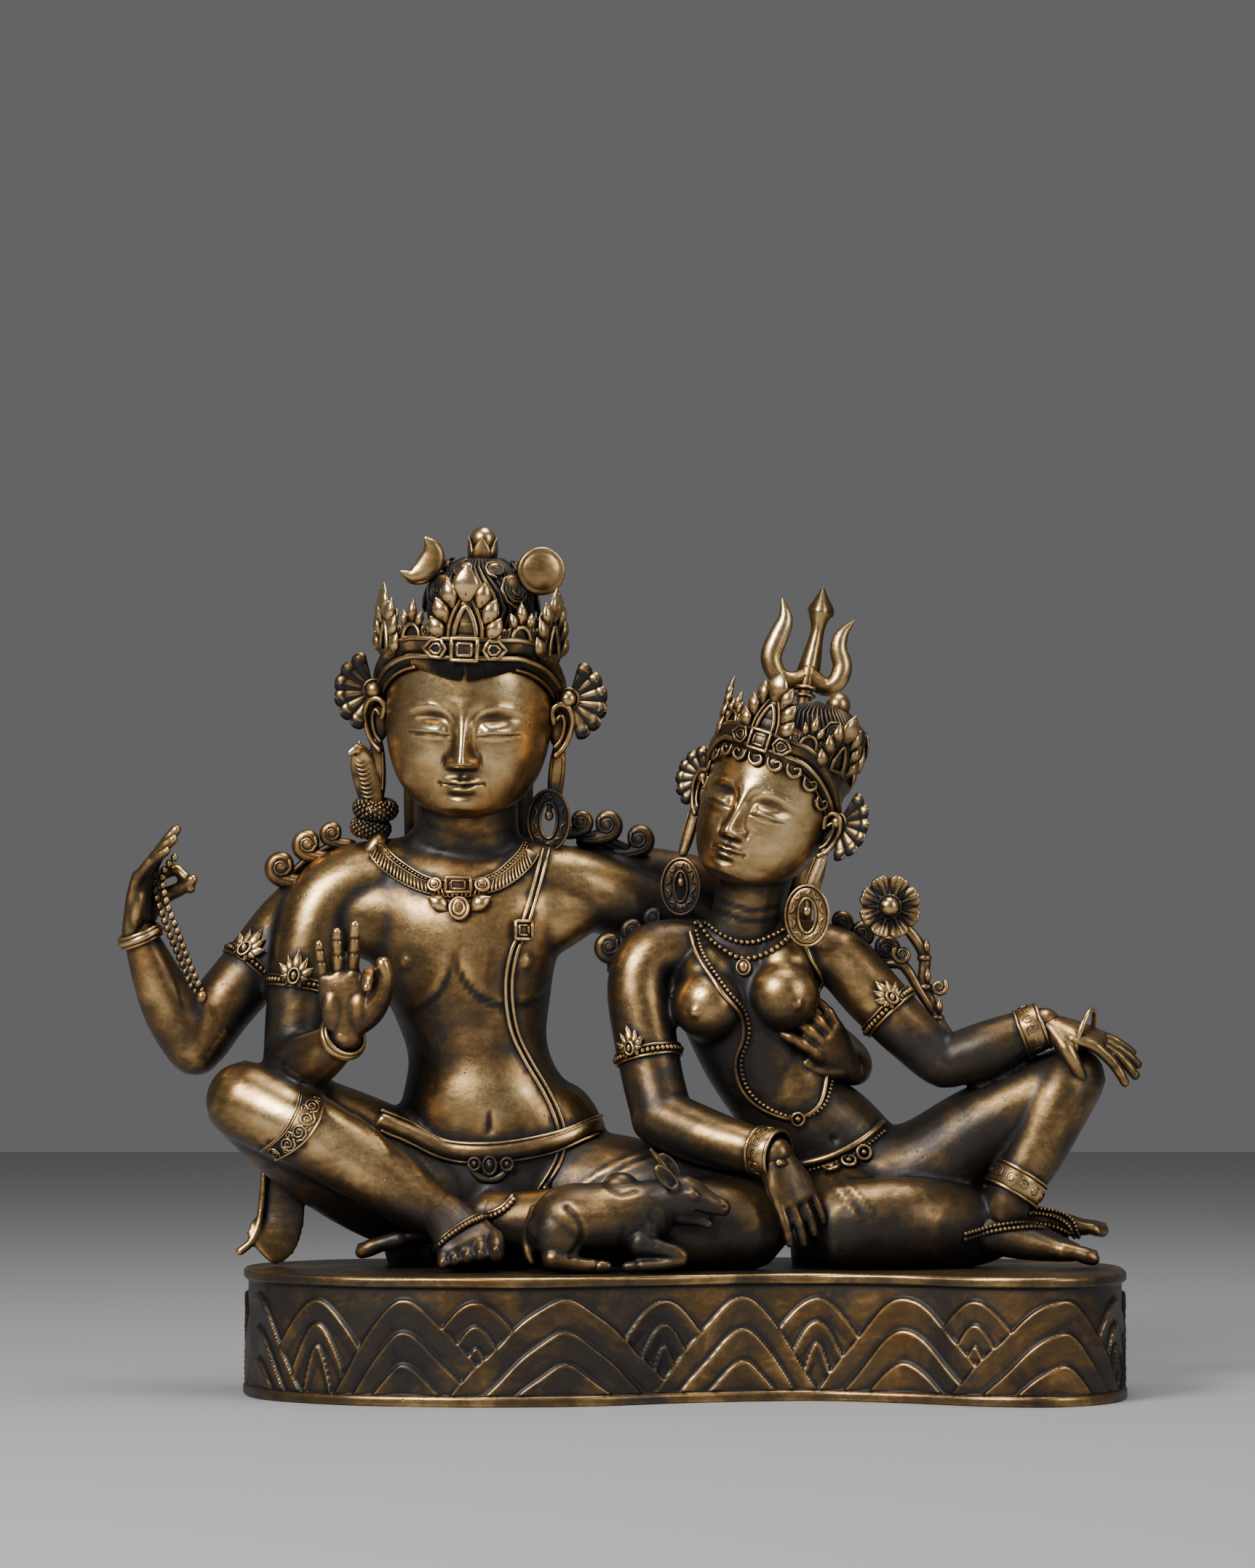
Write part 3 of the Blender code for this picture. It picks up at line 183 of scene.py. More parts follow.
def worn_ring(clay, start, end, share, wide, high, kind):
    """A bangle, beaded armlet or engraved cuff worn on a limb from start to end."""
    along = (end - start).normalized()
    up = UP if abs(along.z) < 0.9 else DEPTH
    centre = start.lerp(end, share)
    across = up.cross(along).normalized()
    rise = along.cross(across).normalized()

    def rim(turn, slide=0.0, out=0.0):
        return (centre + along * slide + across * (wide + out) * math.cos(turn)
                + rise * (high + out) * math.sin(turn))
    if kind == "bangle":
        hoop(clay, centre, along, wide, high, 0.2, up=up)
        for slide in (-0.24, 0.24):
            hoop(clay, centre + along * slide, along, wide - 0.04, high - 0.04, 0.12, up=up)
    if kind == "armlet":
        count = int(2 * math.pi * (wide + high) / 2 / 0.27)
        for i in range(count):
            bead(clay, rim(2 * math.pi * i / count), 0.155)
        for slide in (-0.24, 0.24):
            hoop(clay, centre + along * slide, along, wide - 0.03, high - 0.03, 0.09, up=up)
    if kind == "cuff":
        loft(clay, [(rim(2 * math.pi * i / 28), 0.1, 0.6) for i in range(28)], face=along, sides=8,
             steps=1, closed=True)
        for slide in (-0.58, 0.58):
            hoop(clay, centre + along * slide, along, wide + 0.03, high + 0.03, 0.1, up=up)
        for i in range(12):
            turn = 2 * math.pi * i / 12
            volute(clay, rim(turn, 0.0, 0.09), along, rim(turn, 0, 1) - rim(turn), 0.3, 0.055, i % 2)


def volute(clay, centre, along, face, radius, thick, flip=False, turns=1.6, taper=0.45, start=0.0):
    """A spiral scroll in the plane that looks towards face."""
    normal = face.normalized()
    right = (along - normal * along.dot(normal)).normalized()
    rise = normal.cross(right) * (-1 if flip else 1)
    count = max(8, int(turns * 9))
    points = []
    for i in range(count + 1):
        t = i / count
        angle = start + turns * 2 * math.pi * (1 - t)
        out = radius * (0.14 + 0.86 * (1 - t))
        w = thick * (1 - taper * t)
        points.append((centre + right * out * math.cos(angle) + rise * out * math.sin(angle), w, w))
    loft(clay, points, face=normal, sides=6, steps=1)


def merge(clay, part, matrix):
    """Adds a part that was modelled in its own frame, and frees it."""
    bmesh.ops.transform(part, matrix=matrix, verts=part.verts)
    add_to(clay, part)


def placed(part, matrix):
    """New clay that starts with a part modelled in its own frame."""
    clay = bmesh.new()
    merge(clay, part, matrix)
    return clay


def frame_from(along, face, point, scale=1.0):
    """A placing whose Z runs along and whose -Y looks towards face."""
    z = along.normalized()
    y = -(face - z * face.dot(z)).normalized()
    x = y.cross(z)
    matrix = (Matrix((x, y, z)).transposed() * scale).to_4x4()
    matrix.translation = point
    return matrix


def facing(face):
    """An upright turning whose -Y looks towards face."""
    return frame_from(UP, face, Vector())


def to_piece(name, clay, bronze, standing_for=None):
    """A piece in metres from clay in centimetres."""
    bmesh.ops.recalc_face_normals(clay, faces=clay.faces)
    bmesh.ops.scale(clay, vec=(0.01, 0.01, 0.01), verts=clay.verts)
    for face in clay.faces:
        face.smooth = True
    mesh = bpy.data.meshes.new(name)
    clay.to_mesh(mesh)
    clay.free()
    mesh.materials.append(bronze)
    piece = bpy.data.objects.new(name, mesh)
    bpy.context.scene.collection.objects.link(piece)
    piece["standing_for"] = standing_for or ""
    return piece


def cast(piece, voxel, relax=3):
    """Makes overlapping clay one smooth skin."""
    remesh = piece.modifiers.new("One_skin", "REMESH")
    remesh.mode = "VOXEL"
    remesh.voxel_size = voxel
    remesh.use_smooth_shade = True
    soften = piece.modifiers.new("Soften", "SMOOTH")
    soften.factor = 0.5
    soften.iterations = relax
    graph = bpy.context.evaluated_depsgraph_get()
    mesh = bpy.data.meshes.new_from_object(piece.evaluated_get(graph), depsgraph=graph)
    piece.modifiers.clear()
    piece.data = mesh
    mesh.shade_smooth()
    return piece


def points_of(piece):
    """A piece's vertices as rows of x, y and z."""
    co = np.zeros(len(piece.data.vertices) * 3)
    piece.data.vertices.foreach_get("co", co)
    return co.reshape(-1, 3)


def normals_of(piece):
    """A piece's vertex normals as rows."""
    out = np.zeros(len(piece.data.vertices) * 3)
    piece.data.vertices.foreach_get("normal", out)
    return out.reshape(-1, 3)


def press(piece, change):
    """Moves each vertex along its normal by change(points, normals), in metres."""
    co, normals = points_of(piece), normals_of(piece)
    co += normals * change(co, normals)[:, None]
    piece.data.vertices.foreach_set("co", co.ravel())
    piece.data.update()


def seen_at(co):
    """Where points show on the elevation, in centimetres."""
    cm = co * 100
    reach = (cm[:, 1] - EYE.y) / -EYE.y
    return EYE.x + (cm[:, 0] - EYE.x) / reach, EYE.z + (cm[:, 2] - EYE.z) / reach


def near_line(x, z, knots):
    """How far points on the elevation are from a smooth line through knots."""
    line = np.array(curve_through(knots, 6))
    best = np.full(len(x), 1e9)
    for (ax, az), (bx, bz) in zip(line, line[1:]):
        dx, dz = bx - ax, bz - az
        t = np.clip(((x - ax) * dx + (z - az) * dz) / max(dx * dx + dz * dz, 1e-9), 0, 1)
        best = np.minimum(best, np.hypot(x - ax - t * dx, z - az - t * dz))
    return best


class Skin:
    """Finds where a sight line on the elevation meets the pieces it is given."""

    def __init__(self, *pieces):
        points, faces = [], []
        for piece in pieces:
            start = len(points)
            points += [v.co * 100 for v in piece.data.vertices]
            faces += [[start + i for i in p.vertices] for p in piece.data.polygons]
        self.tree = BVHTree.FromPolygons(points, faces)

    def find(self, x, z, lift):
        """The first point under (x, z), lifted off the skin, and the skin's normal there."""
        way = (at(x, z, 0.0) - EYE).normalized()
        point, normal, _, _ = self.tree.ray_cast(EYE, way)
        if point is None:
            point, normal, _, _ = self.tree.find_nearest(at(x, z, 0.0))
        if normal.dot(way) > 0:
            normal = -normal
        return point + normal * lift, normal


def evenly(points, gap):
    """Points at equal gaps along a line of points."""
    reach = [0.0]
    for a, b in zip(points, points[1:]):
        reach.append(reach[-1] + (b - a).length)
    count = max(2, int(reach[-1] / gap))
    found = []
    k = 0
    for i in range(count + 1):
        want = reach[-1] * i / count
        while k < len(reach) - 2 and reach[k + 1] < want:
            k += 1
        share = (want - reach[k]) / max(reach[k + 1] - reach[k], 1e-9)
        found.append(points[k].lerp(points[k + 1], share))
    return found


def laid(skin, knots, lift):
    """A line through knots on the elevation, laid on the skin and eased."""
    line = [skin.find(x, z, lift)[0] for x, z in curve_through(knots, 8)]
    for _ in range(2):
        line = [line[0]] + [(a + b * 2 + c) / 4 for a, b, c in zip(line, line[1:], line[2:])] + [line[-1]]
    return line


def cord(clay, skin, knots, radius, lift=0.5):
    """A round cord laid on the skin."""
    line = evenly(laid(skin, knots, radius * lift), max(radius * 2.2, 0.22))
    loft(clay, [(p, radius, radius) for p in line], sides=8, steps=1)
    return line


def beads(clay, skin, knots, radius, gap=1.9):
    """A string of beads laid on the skin."""
    for point in evenly(laid(skin, knots, radius * 0.5), radius * gap):
        bead(clay, point, radius)


# Hands and feet

def finger(part, base, lean, curls, size, wide):
    """A finger of three joints, with soft knuckles and a nail."""
    stations = [(base - Vector((0, 0, 0.3)), wide, wide * 0.9)]
    bend = 0.0
    way = Vector((0, 0, 1))
    for k, curl in enumerate(curls):
        bend += math.radians(curl)
        way = Vector((math.sin(lean) * math.cos(bend), -math.sin(bend), math.cos(lean) * math.cos(bend)))
        reach = size * (1.15, 0.85, 0.72)[k]
        w = wide * (1.0, 0.93, 0.84)[k]
        stations.append((base + way * reach * 0.12, w * 1.06, w * 0.98))
        stations.append((base + way * reach * 0.55, w * 0.9, w * 0.9))
        base = base + way * reach
    stations.append((base - way * 0.18, wide * 0.78, wide * 0.72))
    loft(part, stations, sides=12, steps=3)
    back = Vector((0, 1, 0)) - way * way.y
    ball(part, base - way * 0.22 + back.normalized() * wide * 0.5, wide * 0.5, wide * 0.3, wide * 0.75,
         turn=frame_from(way, -back, Vector()), fine=10)


def hand(clay, matrix, side, fingers, thumb, palm=(0.95, 1.0, 2.6), stout=1.0):
    """A hand in its own frame: wrist at the origin, fingers up Z and the palm towards -Y. Fingers
    are (spread, curls, length) from the index on; thumb is a list of points with radii."""
    part = bmesh.new()
    narrow, broad, length = palm
    loft(part, [(Vector((0, 0, -0.3)), 0.72, 0.55), (Vector((0, 0, 0.5)), narrow, 0.55),
                (Vector((0, 0, 0.55 * length)), broad * 1.25, 0.5),
                (Vector((0, 0, length * 0.92)), broad * 1.27, 0.38)], sides=20, steps=4)
    ball(part, Vector((side * 0.62, -0.3, 0.95)), 0.55, 0.4, 0.9)
    ball(part, Vector((-side * 0.62, -0.26, 0.95)), 0.5, 0.34, 0.95)
    ball(part, Vector((0, -0.12, length * 0.82)), 1.1, 0.32, 0.5)
    for i, (spread, curls, size) in enumerate(fingers):
        base = Vector((side * (0.96 - 0.64 * i) * broad, 0.0, length - 0.25 - 0.1 * abs(i - 1)))
        finger(part, base, math.radians(spread) * side, curls, size, (0.3, 0.31, 0.3, 0.26)[i] * stout)
    loft(part, [(Vector((side * x, y, z)), r, r) for x, y, z, r in thumb], sides=12, steps=4)
    merge(clay, part, matrix)


def foot(clay, heel, toe, wide, up, high, big_toe):
    """A bare foot from the ankle to the toes' tips. big_toe is 1 or -1, its side."""
    along = (toe - heel).normalized()
    across = along.cross(up).normalized()
    length = (toe - heel).length
    loft(clay, [(heel - along * 0.25, wide * 0.74, high * 0.7),
                (heel + along * length * 0.3, wide * 0.84, high * 0.66),
                (heel + along * length * 0.62, wide * 1.02, high * 0.48),
                (heel + along * length * 0.8, wide * 1.08, high * 0.34)], face=up, sides=20, steps=4)
    for i in range(5):
        way = across * big_toe * (0.84 - 0.43 * i) * wide
        size = (0.5, 0.4, 0.37, 0.35, 0.33)[i] * min(1.0, wide)
        start = heel + along * length * 0.7 + way * 0.85
        tip = toe + way - along * (0.02, 0.0, 0.14, 0.32, 0.55)[i] * wide
        loft(clay, [(start, size, size), (start.lerp(tip, 0.45) + up * 0.04, size * 0.9, size * 0.84),
                    (start.lerp(tip, 0.8), size, size * 0.9), (tip - up * 0.08, size * 0.85, size * 0.75)],
             face=up, sides=12, steps=3)
        ball(clay, tip + up * size * 0.62 + along * size * 0.1, size * 0.5, size * 0.5, size * 0.2, fine=10)


# Heads are modelled in their own frame, in centimetres: origin between the eyes' corners inside
# the head, -Y forward, Z up. The face follows a plain canon of thirds.
SKULL = (
    (-4.62, 0.35, 0.3, -2.75), (-4.5, 1.25, 0.95, -2.4), (-4.1, 2.25, 1.9, -1.7), (-3.5, 3.02, 2.7, -1.05),
    (-2.6, 3.66, 3.36, -0.55), (-1.4, 4.1, 3.8, -0.25), (0.0, 4.32, 4.08, -0.05), (1.6, 4.36, 4.3, 0.1),
    (3.2, 4.2, 4.35, 0.25), (4.6, 3.5, 3.7, 0.4), (5.4, 2.0, 2.2, 0.5), (5.6, 0.2, 0.2, 0.5),
)


def bump(x, z, cx, cz, rx, rz):
    return np.exp(-(((x - cx) / rx) ** 2 + ((z - cz) / rz) ** 2))


def features(x, z):
    """How far the face stands forward of the bare skull at (x, z), in centimetres."""
    side = np.abs(x)
    near = np.exp(-(side / 1.35) ** 6)
    level = (-2.3, -2.08, -1.97, -1.86, -1.7, -1.4, -0.9, -0.3, 0.3, 0.9, 1.7, 2.4)
    rise = np.interp(z, level, (0, 0.04, 0.45, 0.95, 1.16, 1.08, 0.82, 0.52, 0.33, 0.2, 0.06, 0))
    wide = np.interp(z, level, (0.5, 0.52, 0.54, 0.52, 0.46, 0.4, 0.34, 0.3, 0.3, 0.5, 0.8, 1.0))
    out = near * rise * np.exp(-np.log(2) * (side / wide) ** 2.4)
    out += 0.36 * bump(side, z, 0.6, -1.68, 0.24, 0.24)
    out -= 0.1 * bump(side, z, 0.95, -1.6, 0.13, 0.34)
    arch = np.interp(side, (0.3, 0.7, 1.2, 1.8, 2.5, 3.2), (0.25, 0.78, 1.14, 1.3, 1.22, 0.95))
    fade = np.clip((side - 0.2) / 0.5, 0, 1) * np.clip((3.4 - side) / 0.9, 0, 1)
    above = z - arch
    out += fade * 0.13 / (1 + np.exp(above / 0.05)) * np.exp(-np.clip(-above, 0, 9) / 0.6)
    out -= 0.3 * bump(side, z, 1.6, 0.62, 0.95, 0.36) + 0.16 * bump(side, z, 0.78, 0.0, 0.28, 0.4)
    out += 0.3 * np.exp(-(((side - 1.8) / 1.12) ** 2 + ((z + 0.06) / 0.5) ** 2) ** 1.3)
    span = np.clip(1 - ((side - 1.78) / 1.1) ** 2, 0, 1)
    corner = 0.05 * (side - 1.78)
    upper = -0.24 + 0.12 * span + corner
    lower = -0.26 - 0.16 * span + corner
    slit = 1 / (1 + np.exp((z - upper) / 0.022)) / (1 + np.exp((lower - z) / 0.022)) * (span > 0)
    out -= 0.085 * slit
    out += 0.045 * np.exp(-((z - upper - 0.06) / 0.06) ** 2) * np.clip(span * 5, 0, 1)
    out += 0.03 * np.exp(-((z - lower + 0.05) / 0.05) ** 2) * np.clip(span * 5, 0, 1)
    out += 0.28 * bump(x, z, 0, -2.85, 1.5, 0.85)
    line = -2.86 + 0.1 * (side / 1.0) ** 2
    bow = 0.05 * np.exp(-(side / 0.16) ** 2)
    out += 0.24 * np.exp(-(side / 0.78) ** 4) * np.exp(-((z + 2.66 + bow) / 0.15) ** 2)
    out += 0.28 * np.exp(-(side / 0.62) ** 4) * np.exp(-((z + 3.07) / 0.17) ** 2)
    out -= 0.15 * np.exp(-((z - line) / 0.045) ** 2) * np.clip((1.12 - side) / 0.25, 0, 1)
    out -= 0.1 * bump(side, z, 1.15, -2.78, 0.14, 0.15) + 0.06 * bump(x, z, 0, -2.3, 0.12, 0.2)
    out -= 0.1 * bump(x, z, 0, -3.42, 0.8, 0.16)
    out += 0.3 * bump(x, z, 0, -4.0, 0.95, 0.6) + 0.16 * bump(side, z, 2.2, -1.4, 1.2, 1.2)
    return out


def face_and_skull(matrix):
    """The head's fine skin, as clay."""
    part = bmesh.new()
    across, rows = 210, 150
    bmesh.ops.create_grid(part, x_segments=across, y_segments=rows, size=0.5)
    stations = np.array(curve_through(SKULL, 20))
    share = np.linspace(0, 1, len(stations))
    co = np.array([v.co[:] for v in part.verts])
    v = co[:, 1] + 0.5
    turn = 2 * math.pi * co[:, 0]
    turn = turn - 0.55 * np.sin(turn)
    z, wide, deep, y = (np.interp(v, share, stations[:, k]) for k in range(4))
    x = wide * np.sin(turn)
    front = np.cos(turn)
    y = y - deep * front
    push = np.clip(front * 1.7, 0, 1) * features(x, z) * np.clip((z + 4.5) / 0.4, 0, 1)
    for vert, place in zip(part.verts, zip(x, y - push, z)):
        vert.co = place
    bmesh.ops.remove_doubles(part, verts=part.verts, dist=0.004)
    edges = [edge for edge in part.edges if edge.is_boundary]
    bmesh.ops.holes_fill(part, edges=edges)
    return placed(part, matrix)


def ear(part, side):
    """An ear with a raised rim that curls in, a hollow shell and a long flat lobe."""
    def rim(*points, thick):
        loft(part, [(Vector((side * x, y, z)), thick, thick) for x, y, z in points], sides=8, steps=3)
    ball(part, Vector((side * 4.75, 0.0, 0.1)), 0.62, 0.3, 1.15)
    rim((4.45, -0.75, 0.35), (4.35, -0.8, 0.95), (4.7, -0.75, 1.32), (5.2, -0.6, 1.15), (5.42, -0.4, 0.45),
        (5.25, -0.3, -0.35), (4.95, -0.35, -1.0), (4.6, -0.5, -1.35), thick=0.17)
    rim((4.6, -0.65, 0.5), (4.85, -0.6, 0.75), (5.0, -0.45, 0.3), (4.85, -0.45, -0.5), (4.55, -0.55, -0.9),
        thick=0.11)
    loft(part, [(Vector((side * x, -0.25, z)), w, 0.22) for x, z, w in (
        (4.75, -0.9, 0.3), (4.72, -1.6, 0.42), (4.66, -2.5, 0.44), (4.62, -3.3, 0.4), (4.6, -3.9, 0.3))],
         sides=14)
    for y, out in ((-0.46, 0.3), (-0.46, -0.3)):
        rim((4.72 + out, y, -1.5), (4.66 + out, y, -2.5), (4.62 + out * 0.8, y, -3.4), thick=0.06)


def head_place(x, z, y, turn, tilt, nod, size):
    """Where a head sits: turned to its right, tilted to one side and nodding, in degrees."""
    matrix = (Matrix.Rotation(math.radians(tilt), 4, "Y") @ Matrix.Rotation(math.radians(turn), 4, "Z")
              @ Matrix.Rotation(math.radians(nod), 4, "X") @ Matrix.Diagonal((*size, 1.0)))
    return Matrix.Translation(at(x, z, y)) @ matrix


# Crowns, hair and ornaments

def leaflet(part, seat, way, face, length, wide):
    """A plump pointed leaflet with a crease down its middle, its centre at seat."""
    base, tip = seat - way * length * 0.5, seat + way * length * 0.5
    shape = ((0.0, 0.45), (0.3, 0.95), (0.55, 1.0), (0.8, 0.62), (0.94, 0.25), (1.0, 0.08))
    loft(part, [(base.lerp(tip, t) + face * (0.1 * math.sin(t * 3)), wide * w, 0.24 * max(w, 0.3))
                for t, w in shape],
         face=face, sides=10, steps=2)
    loft(part, [(base.lerp(tip, t) + face * (0.2 + 0.1 * math.sin(t * 3) - 0.12 * t), 0.05, 0.06)
                for t in (0.15, 0.5, 0.85)],
         face=face, sides=5, steps=2)


def moulding(part, base, across, face, wide, tall, thick, kind="pointed"):
    """A raised arch on a plate, pointed or round, with its foot closed by a bar."""
    pointed = ((-1.0, 0.0), (-0.96, 0.3), (-0.62, 0.68), (0.0, 1.0), (0.62, 0.68), (0.96, 0.3), (1.0, 0.0))
    if kind == "pointed":
        line = pointed
    else:
        line = [(-math.cos(math.pi * i / 8), math.sin(math.pi * i / 8)) for i in range(9)]
    loft(part, [(base + across * x * wide + UP * z * tall, thick, thick) for x, z in line], face=face,
         sides=8, steps=3)
    if kind == "pointed":
        loft(part, [(base + across * x * wide, thick, thick) for x in (-1, 0, 1)], face=face, sides=8,
             steps=1)


def flame(part, base, face, size):
    """A crown leaf: a jewel arch inside a pointed plate, with leaflets up its sides and on top."""
    across = UP.cross(face).normalized()
    lean = (UP + face * 0.06).normalized()

    def place(u, v, out=0.0):
        return base + across * u * size + lean * v * size + face * out * size
    for v, wide in ((0.0, 0.9), (0.6, 0.88), (1.2, 0.66), (1.75, 0.38), (2.15, 0.12)):
        ball(part, place(0, v, -0.08), wide * size, 0.2 * size, 0.5 * size,
             turn=facing(face), fine=14)
    moulding(part, place(0, 0.0, 0.1), across, face, 0.86 * size, 2.3 * size, 0.14 * size)
    moulding(part, place(0, 0.08, 0.22), across, face, 0.55 * size, 1.62 * size, 0.15 * size)
    leaflet(part, place(0, 2.9, 0.08), lean, face, 1.75 * size, 0.74 * size)
    for side in (-1, 1):
        for u, v, turn, length in ((0.86, 2.35, 12, 1.35), (1.28, 1.5, 24, 1.3), (1.5, 0.6, 28, 1.2)):
            way = (UP * math.cos(math.radians(turn))
                   + across * side * math.sin(math.radians(turn))).normalized()
            leaflet(part, place(side * u, v, 0.02), way, face + across * side * 0.25, length * size,
                    0.42 * size)
            ball(part, place(side * u * 0.85, v - 0.35, -0.25), 0.42 * size, 0.14 * size, 0.5 * size,
                 turn=facing(face))


def spray(part, base, face, size):
    """A small crown leaf: a round arch under three leaflets, with a scroll on each side."""
    across = UP.cross(face).normalized()

    def place(u, v, out=0.0):
        return base + across * u * size + UP * v * size + face * out * size
    ball(part, place(0, 0.3, -0.1), 0.7 * size, 0.14, 0.7 * size, turn=facing(face))
    moulding(part, place(0, 0.02, 0.12), across, face, 0.56 * size, 0.68 * size, 0.12 * size, "round")
    for u, v, turn, length, wide in ((0.0, 1.4, 0, 1.15, 0.27), (-0.52, 1.0, -18, 0.85, 0.23),
                                     (0.52, 1.0, 18, 0.85, 0.23)):
        way = (UP * math.cos(math.radians(turn)) + across * math.sin(math.radians(turn))).normalized()
        leaflet(part, place(u, v), way, face, length * size, wide * size)
    for side in (-1, 1):
        volute(part, place(side * 0.98, 0.38, 0.1), across * side, face, 0.3 * size, 0.1 * size,
               flip=side > 0)


def framed_jewel(part, centre, face, wide, tall, kind):
    """A bezel of two raised lines round a sunk stone: square, or a drop that points to one side."""
    across = UP.cross(face).normalized()
    corners = {"square": ((-1, -1), (-1, 1), (1, 1), (1, -1)),
               "left": ((-1.25, 0.0), (-0.45, 0.85), (0.5, 0.9), (1.0, 0.0), (0.5, -0.9), (-0.45, -0.85)),
               "right": ((1.25, 0.0), (0.45, 0.85), (-0.5, 0.9), (-1.0, 0.0), (-0.5, -0.9),
                         (0.45, -0.85))}[kind]
    ball(part, centre - face * 0.06, wide * 1.02, 0.12, tall * 1.02, turn=facing(face))
    for share, thick in ((1.0, 0.11), (0.55, 0.08)):
        line = []
        for i, (u, v) in enumerate(corners):
            after = corners[(i + 1) % len(corners)]
            for t in (0.0, 0.04, 0.35, 0.65, 0.96) if kind == "square" else (0.0, 0.5):
                x, z = u + (after[0] - u) * t, v + (after[1] - v) * t
                line.append((centre + across * x * wide * share + UP * z * tall * share + face * 0.08, thick,
                             thick))
        loft(part, line, face=face, sides=6, steps=1, closed=True)


def diadem(part, lift, sag, fringe):
    """The crown's band with its cords, jewels and leaves, and the hairline under it."""
    def rim(turn, out=0.0, up=0.0):
        lean = math.radians(turn)
        drop = max(0.0, abs(turn) - 34) / 56
        return Vector(((4.6 + out) * math.sin(lean), 0.2 - (4.7 + out) * math.cos(lean),
                       lift + up - sag * drop ** 1.5))

    def outward(turn):
        return (rim(turn, 1) - rim(turn)).normalized()

    def ring(out, up, thick, flat, start=-100, limit=100):
        loft(part, [(rim(turn, out, up), thick, flat) for turn in range(start, limit + 1, 8)],
             face=Vector((0, 0.9, 0.3)), sides=8, steps=2)
    ring(-0.1, 0.0, 0.56, 0.14)
    ring(-0.32, -0.75, 0.5, 0.12, -92, 92)
    for up, thick in ((0.5, 0.17), (-0.44, 0.16)):
        ring(0.12, up, thick, thick)
    for start in (-92, 36):
        ring(-0.1, -1.0, 0.1, 0.1, start, start + 56)
    framed_jewel(part, rim(0, 0.3), Vector((0, -1, 0)), 0.66, 0.56, "square")
    for turn, kind in ((-17.5, "left"), (17.5, "right")):
        framed_jewel(part, rim(turn, 0.26), outward(turn), 0.54, 0.5, kind)
    for turn, size in ((0, 1.0), (67, 0.95), (-67, 0.95)):
        base = rim(turn, -0.05)
        base.z = max(base.z, lift - 0.9) + 0.5
        flame(part, base, outward(turn), size)
    for turn in (-37, 37):
        spray(part, rim(turn, -0.02) + UP * 0.5, outward(turn), 1.0)
    for turn in (-112, -135, -158, 180, 158, 135, 112):
        face = outward(turn)
        base = rim(turn, -0.1)
        base.z = lift - 0.2
        ball(part, base - UP * 0.2, 1.2, 0.2, 0.6, turn=facing(face))
        leaflet(part, base + UP * 0.9, UP, face, 1.7, 0.5)
    if fringe == "strands":
        for k in range(-30, 31):
            turn = k * 1.25
            dip = 0.3 * math.cos(math.radians(turn * 4.2))
            high, low = rim(turn, -0.04, -0.5), rim(turn + math.copysign(1.8, turn), -0.2, -1.25 - dip)
            loft(part, [(high, 0.06, 0.14), (high.lerp(low, 0.5) + Vector((0, -0.1, 0)), 0.06, 0.14),
                        (low, 0.05, 0.07)],
                 sides=6, steps=2)
    else:
        for k in range(-4, 5):
            turn = k * 16.5
            centre, face = rim(turn, -0.02, -1.1), outward(turn)
            side = UP.cross(face).normalized() * (1 if k >= 0 else -1)
            ball(part, centre - face * 0.22, 0.5, 0.14, 0.4, turn=facing(face))
            loft(part, [(centre + side * u + UP * v, w, w) for u, v, w in (
                (-0.5, 0.3, 0.05), (-0.42, -0.12, 0.11), (0.0, -0.36, 0.14), (0.42, -0.1, 0.13),
                (0.28, 0.24, 0.11), (0.0, 0.12, 0.09))], face=face, sides=8, steps=3)


def dressed_hair(part, centre, size, swirls):
    """A bun of combed hair whose strands sweep down from the top into round swirls."""
    ball(part, centre, *(s * 0.97 for s in size), fine=30)

    def spot(turn, rise, out=1.0):
        lean, lift = math.radians(turn), math.radians(rise)
        way = Vector((math.sin(lean) * math.cos(lift), -math.cos(lean) * math.cos(lift), math.sin(lift)))
        return centre + Vector((way.x * size[0], way.y * size[1], way.z * size[2])) * out, way
    for k in range(44):
        turn = 360 * k / 44
        line = [(spot(turn + 14 * math.sin(i * 0.8), -34 + 17 * i)[0], 0.13, 0.13) for i in range(7)]
        loft(part, line, face=DEPTH, sides=5, steps=1)
    for turn, rise, radius in swirls:
        point, way = spot(turn, rise, 1.0)
        ball(part, point - way * 0.1, radius * 0.9, 0.28, radius * 0.9, turn=facing(way))
        for grow in (1.0, 0.72):
            volute(part, point + way * 0.16, UP.cross(way), way, radius * grow, 0.1, flip=turn < 0, turns=2.4,
                   start=1.0 + grow, taper=0.3)


